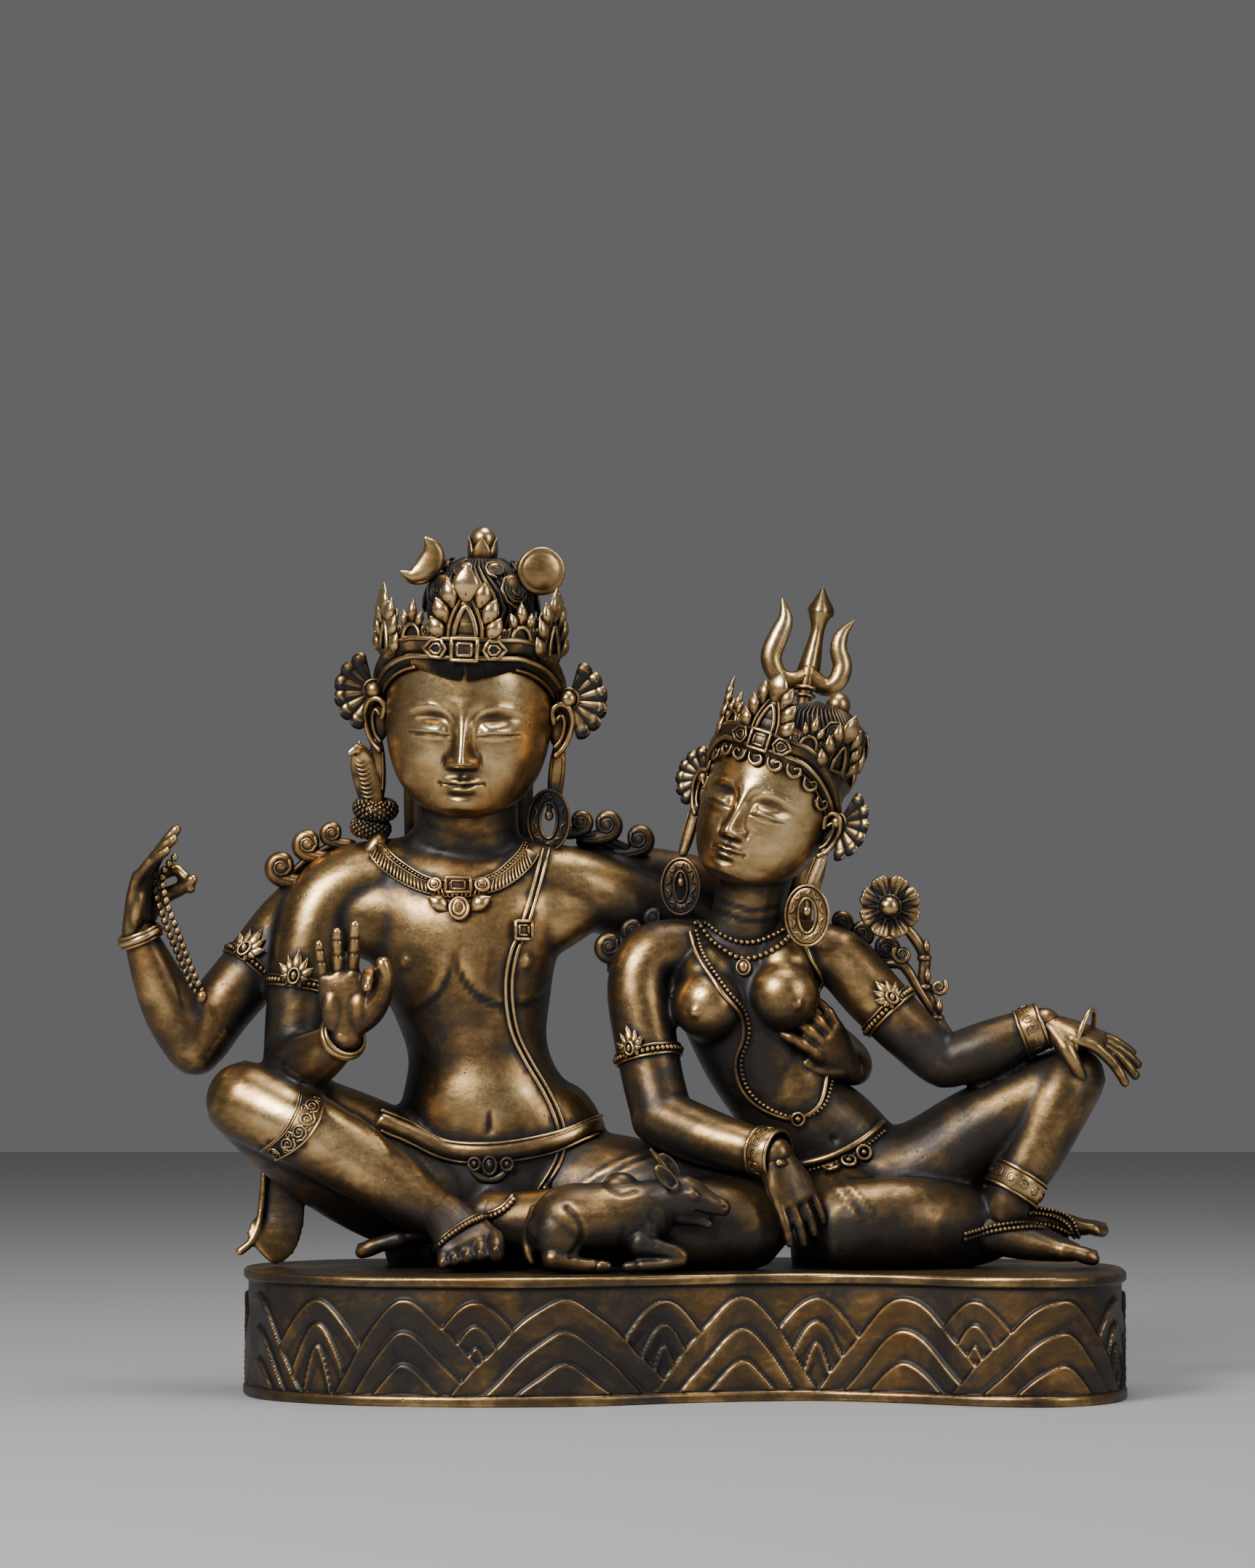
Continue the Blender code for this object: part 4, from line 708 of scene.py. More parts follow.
def fan(part, centre, side, radius):
    """A pleated ribbon rosette spread out behind the ear, with a wavy hem and a round boss."""
    leaf = bmesh.new()
    folds, around = 6, 108
    bmesh.ops.create_grid(leaf, x_segments=around, y_segments=12, size=0.5)
    for vert in leaf.verts:
        turn, out = vert.co.x + 0.5, vert.co.y + 0.5
        wave = abs(math.sin(math.pi * folds * turn))
        lean = math.radians(-75 + 150 * turn)
        reach = radius * (0.12 + 0.88 * out) * (0.91 + 0.11 * wave ** 0.5 * out)
        hem = 0.1 * math.exp(-((out - 0.84) / 0.05) ** 2)
        vert.co = Vector((side * reach * math.cos(lean), -0.05 - 0.24 * wave ** 0.4 * (0.3 + 0.7 * out)
                          - 0.14 * math.sin(out * 2.4) - hem, reach * math.sin(lean)))
    bmesh.ops.solidify(leaf, geom=leaf.faces[:], thickness=0.16)
    merge(part, leaf, Matrix.Translation(centre))
    ball(part, centre - DEPTH * 0.35, 0.45, 0.38, 0.45, fine=18)
    hoop(part, centre - DEPTH * 0.2, DEPTH, 0.54, 0.54, 0.1)


def locks(clay, *knobs, out=1):
    """Locks of hair along the shoulder, each rising like a wave and curling back towards the neck,
    by (x, z, depth, radius) of the curl's middle. out is the side the waves run to."""
    for x, z, y, r in knobs:
        path = ((-1.9, -1.2, 0.6), (-0.7, -1.1, 0.7), (0.5, -0.72, 0.66), (0.85, 0.0, 0.6), (0.5, 0.62, 0.55),
                (-0.15, 0.68, 0.5), (-0.45, 0.2, 0.45), (-0.2, -0.12, 0.4))
        loft(clay, [(at(x + out * u * r, z + v * r, y + 0.1), w * r, 0.62 * r) for u, v, w in path],
             face=DEPTH, sides=12, steps=4)
        ball(clay, at(x + out * 0.1 * r, z, y + 0.1), 1.0 * r, 0.66 * r, 1.0 * r, fine=18)
        volute(clay, at(x + out * 0.1 * r, z, y + 0.1) - DEPTH * 0.55 * r, Vector((out, 0, 0)), -DEPTH,
               0.8 * r, 0.2 * r, flip=out > 0, turns=1.5, start=0.6)
        for k in range(-2, 3):
            line = []
            for i, (u, v, w) in enumerate(path[:5]):
                a, b = path[max(0, i - 1)], path[i + 1]
                length = math.hypot(b[0] - a[0], b[1] - a[1])
                nu, nv = -(b[1] - a[1]) / length, (b[0] - a[0]) / length
                shift = 0.36 * k * r * w
                line.append((at(x + out * (u * r + nu * shift), z + v * r + nv * shift,
                                y + 0.1 - 0.58 * r * math.cos(k * 0.6)), 0.1 * r, 0.1 * r))
            loft(clay, line, face=DEPTH, sides=6, steps=3)
    for low in (0.0, 0.26, 0.5):
        limb(clay, *[(x, z - r * 1.15 - low, y + 0.1 + low, 0.2) for x, z, y, r in knobs], sides=8, steps=4)


def back_hair(clay, strands):
    """Hair falling in locks between the shoulders, each combed with fine lines."""
    for x, z1, y1, z2, y2, z3, y3 in strands:
        limb(clay, (x, z1, y1, 0.8), (x, z2, y2, 0.75), (x, (z2 + z3) / 2, y3, 0.6), (x, z3, y3, 0.3),
             sides=10)
        for k in (-0.45, -0.15, 0.15, 0.45):
            limb(clay, (x + k, z1, y1 + 0.65, 0.16), (x + k * 0.9, z2, y2 + 0.62, 0.15),
                 (x + k * 0.7, (z2 + z3) / 2, y3 + 0.5, 0.13), (x + k * 0.2, z3, y3 + 0.22, 0.08), sides=6,
                 steps=3)


def earring(part, centre, normal, wide, high):
    """A broad oval ring with crescent lobes between two raised rims, and a boss in its opening."""
    hoop(part, centre, normal, wide, high, 0.34, sides=10, count=32, deep=0.14)
    front = -normal.normalized() * 0.15
    for grow in (-0.32, 0.33):
        hoop(part, centre + front, normal, wide + grow, high + grow, 0.085, count=32, sides=6)
    across = UP.cross(normal).normalized()
    rise = normal.cross(across).normalized()
    for i in range(10):
        turn = 2 * math.pi * (i + 0.5) / 10
        arc = []
        for k, grow, w in ((-0.22, 0.1, 0.05), (-0.12, -0.03, 0.09), (0.0, -0.08, 0.1), (0.12, -0.03, 0.09),
                           (0.22, 0.1, 0.05)):
            spot = centre + front * 1.1 + across * (wide + grow) * math.cos(turn + k)
            arc.append((spot + rise * (high + grow) * math.sin(turn + k), w, 0.09))
        loft(part, arc, face=normal, sides=6, steps=2)
    loft(part, [(centre + rise * high * 0.95, 0.12, 0.12), (centre + rise * high * 0.35, 0.16, 0.14)],
         sides=8)
    ball(part, centre + rise * high * 0.2, 0.24, 0.18, 0.28)


def crest(clay, seat, along, face, size):
    """The leaf crest of an armlet: petals round an oval jewel."""
    across = along.cross(face).normalized()
    petal(clay, seat + along * 0.2 * size, seat + along * 1.5 * size, 0.36 * size, 0.2, face)
    for way in (-1, 1):
        for out, rise, w in ((0.55, 1.1, 0.3), (0.95, 0.6, 0.3), (0.8, -0.1, 0.26), (0.45, -0.6, 0.24)):
            petal(clay, seat + across * way * out * 0.3 * size,
                  seat + (across * way * out + along * rise) * size, w * size, 0.18, face)
    hoop(clay, seat + face * 0.2, face, 0.3 * size, 0.42 * size, 0.09, up=along, count=16, sides=6)
    ball(clay, seat + face * 0.2, 0.18 * size, 0.12, 0.26 * size)


def armlet(clay, start, end, share, radius, lean, size=0.95):
    """A beaded armlet with its leaf crest turned to the front, leaning sideways by lean."""
    worn_ring(clay, start, end, share, radius, radius, "armlet")
    along = (start - end).normalized()
    face = Vector((lean * 0.3, -1, 0.0))
    face = (face - along * face.dot(along)).normalized()
    crest(clay, start.lerp(end, share) + face * (radius + 0.05) + along * 0.25, along, face, size)


# The god

def shiva_body():
    """The torso, four arms and folded legs of the god."""
    clay = bmesh.new()
    limb(clay, (-9.8, 6.8, 3.3, 5.7, 3.7), (-9.6, 10.6, 3.2, 6.1, 4.0), (-9.75, 13.0, 2.9, 5.75, 3.6),
         (-10.3, 15.1, 2.6, 4.45, 3.25), (-10.6, 17.5, 2.5, 3.65, 2.85), (-10.9, 20.0, 2.4, 4.15, 3.05),
         (-11.2, 22.2, 2.2, 4.85, 3.3), (-11.3, 24.4, 2.2, 5.5, 3.25), (-11.3, 26.3, 2.3, 5.7, 2.6),
         (-11.25, 27.7, 2.4, 4.4, 2.0), (-11.2, 28.6, 2.2, 2.95, 2.1), (-11.1, 29.8, 1.9, 2.6, 2.4),
         (-11.1, 31.4, 1.6, 2.6, 2.4), sides=36, steps=5)
    limb(clay, (-14.5, 26.6, 2.4, 2.0), (-17.1, 26.0, 2.3, 2.2), (-18.6, 24.9, 1.9, 2.05),
         (-19.4, 22.6, 1.4, 1.8), (-19.9, 19.8, 1.1, 1.65), (-20.1, 17.0, 0.9, 1.6), sides=24, steps=4)
    # The chest runs on into the shoulders
    limb(clay, (-13.2, 24.3, 1.7, 2.7, 1.9), (-15.4, 24.5, 1.7, 2.6, 1.8), (-17.2, 24.8, 1.8, 2.2, 1.7),
         sides=24, steps=4)
    limb(clay, (-9.0, 24.3, 1.7, 2.7, 1.9), (-7.0, 24.8, 1.9, 2.4, 1.7), (-5.2, 25.3, 2.4, 1.8, 1.5),
         sides=24, steps=4)
    limb(clay, (-20.1, 16.7, 0.9, 1.65), (-19.4, 16.9, -1.2, 1.5), (-18.3, 17.6, -3.2, 1.2),
         (-17.5, 18.3, -4.4, 0.95), sides=24, steps=4)
    limb(clay, (-17.5, 25.8, 3.0, 2.0), (-19.9, 24.5, 3.3, 1.8), (-22.0, 22.0, 3.0, 1.75),
         (-24.0, 19.6, 2.4, 1.7), (-25.0, 18.1, 1.9, 1.65), sides=24, steps=4)
    limb(clay, (-25.2, 17.7, 1.8, 1.5), (-26.3, 19.4, 1.4, 1.5), (-27.3, 21.6, 0.9, 1.25),
         (-28.1, 23.6, 0.5, 0.85), sides=24, steps=4)
    limb(clay, (-8.2, 26.6, 2.4, 2.0), (-5.6, 25.9, 2.8, 2.1), (-3.0, 25.1, 3.6, 1.9),
         (0.2, 23.6, 5.0, 1.75), (3.0, 21.2, 6.0, 1.6), (6.0, 18.9, 5.8, 1.4), (8.4, 17.2, 4.2, 1.15),
         (8.8, 16.6, 2.2, 0.95), sides=24, steps=4)
    limb(clay, (-6.5, 26.4, 3.4, 1.7), (-3.2, 26.6, 4.8, 1.6), (0.4, 26.2, 6.4, 1.5),
         (3.6, 25.0, 7.6, 1.45), (5.3, 25.0, 7.8, 1.35), (6.3, 27.4, 7.5, 1.2), (6.7, 29.6, 7.0, 0.85),
         (6.7, 30.6, 6.8, 0.85), sides=24, steps=4)
    limb(clay, (-11.5, 10.2, 3.0, 3.6), (-14.6, 10.9, 2.2, 3.5), (-17.8, 12.4, 1.3, 3.3),
         (-20.6, 13.9, 0.4, 2.8), (-22.5, 14.9, -0.4, 2.15), sides=28, steps=5)
    limb(clay, (-22.5, 14.9, -0.9, 2.1), (-19.8, 13.6, -1.9, 2.05), (-16.6, 11.7, -2.4, 1.85),
         (-14.0, 9.9, -2.8, 1.5), (-12.0, 8.7, -3.0, 1.15), sides=28, steps=5)
    limb(clay, (-7.0, 10.2, 3.0, 3.6), (-3.2, 10.0, 1.6, 3.2), (0.2, 9.5, 0.1, 2.85),
         (2.4, 9.1, -1.2, 2.6), (3.4, 8.9, -1.9, 2.35), sides=28, steps=5)
    limb(clay, (3.2, 8.6, -2.2, 2.45, 2.2), (-1.0, 8.5, -3.2, 2.3, 2.1), (-5.2, 8.6, -3.1, 2.0, 1.8),
         (-8.4, 8.7, -2.3, 1.6, 1.4), (-9.9, 9.1, -1.8, 1.25), sides=28, steps=5)
    return clay


def carve_shiva(co, normals):
    """The chest's folds, navel, neck lines, the hem at the knee and the waistcloth of the god."""
    x, z = seen_at(co)
    front = np.clip(-normals[:, 1] * 1.5, 0, 1)
    out = np.zeros(len(x))
    for cx, cz, r in ((-15.0, 22.4, 2.85), (-8.9, 22.6, 2.62)):
        inward = r - np.hypot(x - cx, z - cz)
        low = np.clip((cz + 0.4 - z) / 1.3, 0, 1) * front
        step = 1 / (1 + np.exp(np.clip(-inward / 0.1, -60, 60)))
        out += 0.0011 * step * np.exp(-np.clip(inward, 0, 9) / 1.2) * low
        out -= 0.0003 * np.exp(-((inward + 0.2) / 0.16) ** 2) * low
    out += 0.0012 * np.exp(-(((x + 10.0) / 3.4) ** 2 + ((z - 14.9) / 2.0) ** 2)) * front
    out -= 0.0024 * np.exp(-((((x + 10.02) / 0.2) ** 2 + ((z - 13.55) / 0.26) ** 2)) ** 1.5) * front
    out -= 0.0016 * np.exp(-((((x + 10.1) / 0.12) ** 2 + ((z - 14.05) / 0.36) ** 2)) ** 1.5) * front
    for knots in (((-13.2, 29.2), (-11.0, 28.5), (-8.6, 29.0)), ((-13.6, 28.2), (-11.0, 27.4), (-8.2, 28.0))):
        out -= 0.0003 * np.exp(-(near_line(x, z, knots) / 0.22) ** 2) * front
    for side in (-14.4, -8.12):
        out += 0.0013 * np.exp(-(((x - side) / 0.26) ** 2 + ((z - 22.12) / 0.26) ** 2)) * front
    # The knee stands a little proud of the shin, above the hem
    along, over = (x + 22.5) * 0.862 - (z - 14.9) * 0.507, (x + 22.5) * 0.507 + (z - 14.9) * 0.862
    knee = (3.78 - 0.16 * (over - 0.6) ** 2 - along) / 0.12
    out += 0.0007 / (1 + np.exp(np.clip(-knee, -60, 60))) * front * (np.abs(over) < 2.6) * (along > -3)
    # Hems of the waistcloth, drawn tight over the thighs
    for knots in (((-5.6, 10.3), (-3.6, 11.6), (-1.6, 12.4)), ((-4.9, 10.2), (-3.0, 11.4), (-1.2, 12.1)),
                  ((-16.9, 14.2), (-15.8, 13.2), (-15.2, 12.3)),
                  ((-15.2, 13.4), (-14.3, 12.2), (-13.3, 10.9)),
                  ((-14.7, 13.5), (-13.8, 12.3), (-12.7, 11.0))):
        out += 0.0007 * np.exp(-(near_line(x, z, knots) / 0.13) ** 2)
    return out


def front_foot(clay):
    """The foot set down in front, seen from its toes."""
    loft(clay, [(at(-13.0, 9.5, -2.7), 1.1, 1.0), (at(-12.2, 8.9, -3.4), 1.3, 1.05),
                (at(-11.5, 8.2, -4.2), 1.55, 0.95), (at(-11.0, 7.6, -4.95), 1.75, 0.68)],
         face=Vector((0, -0.6, 0.8)), sides=20, steps=4)
    for x, z, r in ((-9.65, 7.25, 0.48), (-10.45, 7.2, 0.37), (-11.13, 7.08, 0.35), (-11.78, 6.93, 0.33),
                    (-12.38, 6.76, 0.31)):
        tip = at(x, z - 0.22, -5.8)
        loft(clay, [(at(x - 0.05, z + 0.6, -4.8), r, r), (at(x, z + 0.22, -5.45), r * 0.98, r),
                    (tip, r * 0.95, r * 0.9)],
             face=Vector((0, -0.6, 0.8)), sides=12, steps=3)
        ball(clay, tip + Vector((0, -0.62 * r, 0.5 * r)), r * 0.5, r * 0.34, r * 0.5, fine=10)


def shiva_hands():
    """The four hands, both feet and the loose end of the waistcloth."""
    clay = bmesh.new()
    fingers = [(8, (58, 50, 25), 0.95), (2, (2, 4, 2), 1.0), (-2, (2, 3, 2), 0.92), (-8, (0, 4, 2), 0.76)]
    thumb = [(0.5, 0.0, 0.3, 0.55), (1.1, -0.15, 0.9, 0.62), (1.6, -0.4, 1.7, 0.52), (1.78, -0.7, 2.5, 0.42),
             (1.66, -0.8, 3.15, 0.36)]
    hand(clay, frame_from(Vector((0.0, -0.12, 1)), Vector((0.05, -1, -0.1)), at(-17.4, 18.5, -4.7), 1.12),
         1, fingers, thumb)
    fingers = [(4, (52, 62, 30), 0.95), (0, (14, 10, 8), 1.0), (-3, (22, 12, 8), 0.95),
               (-8, (30, 14, 8), 0.85)]
    thumb = [(0.4, 0.0, 0.3, 0.5), (0.7, -0.2, 0.9, 0.45), (1.0, -0.7, 1.6, 0.38), (1.0, -1.4, 2.1, 0.34),
             (0.9, -1.9, 2.6, 0.28)]
    hand(clay, frame_from(Vector((0.2, -0.08, 1)), Vector((1, -0.35, 0.15)), at(-28.3, 23.9, 0.4), 1.14),
         1, fingers, thumb, stout=1.1)
    fingers = [(10, (10, 30, 22), 0.9), (2, (8, 30, 22), 0.95), (-6, (8, 30, 22), 0.9),
               (-14, (8, 30, 22), 0.8)]
    thumb = [(0.5, 0, 0.3, 0.5), (1.0, -0.1, 0.9, 0.48), (1.5, -0.3, 1.5, 0.42), (1.6, -0.4, 2.1, 0.36)]
    hand(clay, frame_from(Vector((-0.62, -0.7, 0.75)), Vector((-0.5, 0.6, 0.1)), at(8.5, 16.7, 1.4), 0.98),
         1, fingers, thumb, stout=1.25)
    fingers = [(4, (70, 75, 50), 0.8), (0, (72, 75, 50), 0.85), (-3, (74, 75, 50), 0.8),
               (-6, (76, 75, 50), 0.7)]
    thumb = [(0.7, 0, 0.5, 0.4), (0.9, -0.8, 1.0, 0.34), (0.3, -1.3, 1.3, 0.3)]
    hand(clay, frame_from(Vector((-0.1, -0.55, 1)), Vector((0, -1, -0.6)), at(6.7, 30.7, 6.8), 0.9),
         -1, fingers, thumb, palm=(0.85, 0.95, 2.0))
    front_foot(clay)
    ball(clay, at(-10.1, 9.15, -2.1), 1.05, 0.9, 0.95, fine=24)
    foot(clay, at(-10.0, 9.2, -1.7), at(-16.4, 7.3, -0.9), 1.1, UP, 1.2, -1)
    limb(clay, (-20.5, 11.6, 1.9, 1.3, 0.26), (-20.6, 10.2, 1.9, 1.2, 0.2), (-20.75, 8.8, 1.8, 1.25, 0.2),
         (-21.2, 7.9, 1.5, 1.4, 0.2), (-21.75, 7.35, 1.3, 1.15, 0.2), sides=20, steps=5)
    limb(clay, (-21.6, 11.2, 1.7, 0.2), (-21.75, 9.4, 1.6, 0.2), (-21.95, 8.3, 1.4, 0.2),
         (-22.35, 7.6, 1.2, 0.22), (-22.85, 7.2, 1.1, 0.24), sides=12, steps=4)
    return clay


def carve_hands(co, normals):
    """The creases across the raised hand's fingers and palm."""
    x, z = seen_at(co)
    front = np.clip(-normals[:, 1] * 1.5, 0, 1) * (co[:, 1] < -0.03)
    out = np.zeros(len(x))
    for knots in (((-18.9, 22.7), (-18.2, 22.75)), ((-18.9, 22.1), (-18.2, 22.15)),
                  ((-18.1, 23.2), (-17.5, 23.2)), ((-18.1, 22.45), (-17.5, 22.45)),
                  ((-17.4, 23.3), (-16.7, 23.3)), ((-17.4, 22.55), (-16.7, 22.55)),
                  ((-18.7, 21.4), (-17.9, 21.62), (-17.2, 21.7), (-16.4, 21.55))):
        out -= 0.0006 * np.exp(-(near_line(x, z, knots) / 0.075) ** 2) * front
    return out


SHIVA_HEAD = head_place(-11.1, 34.3, 1.6, -2.0, 2.0, 6.0, (1.0, 1.0, 1.0))
PARVATI_HEAD = head_place(4.3, 29.75, 0.6, -24.0, 20.0, 3.0, (0.8, 0.82, 0.86))


def shiva_crown():
    """The crown with its bun's finial, moon and sun, ears, rosettes, ear ring and snake."""
    part = bmesh.new()
    for side in (-1, 1):
        ear(part, side)
    diadem(part, 4.15, 2.1, "strands")
    middle = Vector((0.4, 0.9, 0))
    for turn in (0, 75, -75, 150, -150):
        out = Vector((math.sin(math.radians(turn)), -math.cos(math.radians(turn)), 0))
        foot_of = middle + UP * 8.45 + out * 0.52
        petal(part, foot_of, foot_of + UP * 1.35 + out * 0.22, 0.56, 0.16, out, rib=False)
    loft(part, [(middle + UP * z, w, w) for z, w in ((8.2, 1.0), (8.5, 0.62), (9.1, 0.6), (9.5, 0.66))],
         face=DEPTH, sides=24, steps=3)
    ball(part, middle + UP * 9.72, 0.68, 0.66, 0.7, fine=24)
    leaflet(part, middle + Vector((0, -1.2, 8.0)), Vector((0, 0.5, 0.85)).normalized(), -DEPTH, 1.2, 0.5)
    sun = Vector((3.55, -0.4, 8.2))
    turned = Matrix.Rotation(math.radians(14), 4, "Z")
    disc = bmesh.new()
    bmesh.ops.create_cone(disc, cap_ends=True, segments=48, radius1=1.26, radius2=1.26, depth=0.5)
    rims = [e for e in disc.edges if abs(e.verts[0].co.z - e.verts[1].co.z) < 1e-4]
    bmesh.ops.bevel(disc, geom=rims, offset=0.12, offset_type="OFFSET", segments=4, profile=0.5,
                    affect="EDGES", material=-1)
    merge(part, disc, Matrix.Translation(sun) @ turned @ Matrix.Rotation(math.radians(90), 4, "X"))
    ball(part, sun + Vector((0, -0.1, 0)), 1.14, 0.3, 1.14, turn=turned, fine=40)
    loft(part, [(sun + Vector((-0.6, 0.3, -0.6)), 0.3, 0.3), (Vector((1.6, 0.8, 6.5)), 0.35, 0.35)], sides=8)
    loft(part, [(Vector((x, -0.4, z)), w, 0.28) for x, z, w in (
        (-2.5, 9.75, 0.1), (-2.2, 9.35, 0.42), (-2.1, 8.85, 0.62), (-2.28, 8.3, 0.7), (-2.66, 7.92, 0.62),
        (-3.2, 7.74, 0.42), (-3.72, 7.98, 0.08))], sides=16, steps=4)
    loft(part, [(Vector((-2.0, -0.3, 8.1)), 0.25, 0.25), (Vector((-0.9, 0.8, 7.2)), 0.3, 0.3)], sides=8)
    fan(part, Vector((-4.95, -0.2, 1.75)), -1, 2.05)
    fan(part, Vector((5.15, -0.2, 1.6)), 1, 2.05)
    earring(part, Vector((4.35, -0.3, -4.75)), Vector((0.1, 1, 0)), 0.76, 1.26)
    snake(part)
    return placed(part, SHIVA_HEAD)


def shiva_hair():
    """The bun, the cap of hair, and the locks on the back and the shoulders."""
    part = bmesh.new()
    dressed_hair(part, Vector((0.4, 0.9, 6.2)), (2.75, 2.75, 2.65), (
        (44, 20, 1.0), (-50, 18, 1.0), (100, 10, 0.95), (-100, 10, 0.95), (150, 12, 0.95), (-150, 12, 0.95),
        (24, 46, 0.6), (-24, 46, 0.6), (80, 46, 0.7), (-80, 46, 0.7), (180, 45, 0.8)))
    ball(part, Vector((0, 0.6, 3.2)), 4.45, 4.5, 2.3, fine=30)
    clay = placed(part, SHIVA_HEAD)
    back_hair(clay, [(-11.1 + i * 1.3, 32.0, 4.2, 28.5, 4.9, 23.6, 5.2) for i in range(-2, 3)])
    locks(clay, (-20.7, 27.0, 2.4, 0.66), (-19.35, 28.2, 2.4, 0.62), (-18.1, 28.75, 2.4, 0.5), out=-1)
    locks(clay, (-5.35, 29.35, 2.8, 0.5), (-4.0, 29.2, 3.2, 0.62), (-2.35, 28.45, 3.8, 0.62), out=1)
    return clay


def snake(part):
    """The hooded snake that winds twice round the right ear's lobe, scaled all over."""
    def scaled(centre, wide, thick, tilt):
        normal = Vector((tilt, -0.12, 1)).normalized()
        hoop(part, centre, normal, wide, wide, thick, up=DEPTH, sides=14, count=32)
        across = Vector((1, 0, -tilt)).normalized()
        for i in range(30):
            turn = 2 * math.pi * i / 30
            for k in range(-2, 3):
                lean = 0.62 * k + 0.31 * (i % 2)
                out = across * math.cos(turn) + normal.cross(across) * math.sin(turn)
                spot = centre + out * (wide + thick * math.cos(lean)) + normal * thick * math.sin(lean)
                ball(part, spot, 0.13, 0.13, 0.13, fine=6)
    top = Vector((-4.62, -0.25, -3.9))
    scaled(top + Vector((-0.1, 0, -0.55)), 0.68, 0.44, 0.06)
    scaled(top + Vector((-0.32, 0, -1.55)), 0.58, 0.42, 0.1)
    tail = [(top + Vector(p), w, w) for p, w in (
        ((0.25, -0.5, -1.95), 0.4), ((0.1, -0.8, -2.35), 0.5), ((-0.35, -0.9, -2.9), 0.4),
        ((-0.85, -0.8, -3.45), 0.16))]
    loft(part, tail, sides=14, steps=4)
    for t in range(9):
        share = t / 8
        spot = (tail[1][0].lerp(tail[3][0], share))
        w = 0.5 - 0.34 * share
        for k in range(-2, 3):
            lean = k * 0.6 + 0.3 * (t % 2)
            ball(part, spot + Vector((0.75 * w * math.sin(lean), -w * 0.95 * math.cos(lean),
                                      0.5 * w * math.sin(lean))),
                 0.12, 0.1, 0.12, fine=6)
    loft(part, [(top + Vector(p), w, d) for p, w, d in (
        ((-1.45, -0.7, 2.35), 0.18, 0.14), ((-1.15, -0.5, 2.55), 0.32, 0.28),
        ((-0.95, -0.25, 2.3), 0.52, 0.28), ((-0.75, -0.1, 1.6), 0.72, 0.26),
        ((-0.45, -0.1, 0.6), 0.74, 0.28), ((-0.2, -0.1, -0.4), 0.6, 0.34))], sides=14, steps=4)
    loft(part, [(top + Vector(p), w, w)
                for p, w in (((-1.0, -0.2, 2.6), 0.14), ((-1.02, -0.2, 2.95), 0.05))], sides=8)
    for i in range(9):
        t = i / 8
        spot = top + Vector((-0.95 + 0.5 * t, -0.42, 2.0 - 1.9 * t))
        loft(part, [(spot - Vector((0.34, -0.12, -0.04)), 0.06, 0.06),
                    (spot + Vector((0, -0.04, -0.06)), 0.08, 0.07),
                    (spot + Vector((0.34, 0.12, 0.04)), 0.06, 0.06)], sides=6, steps=2)


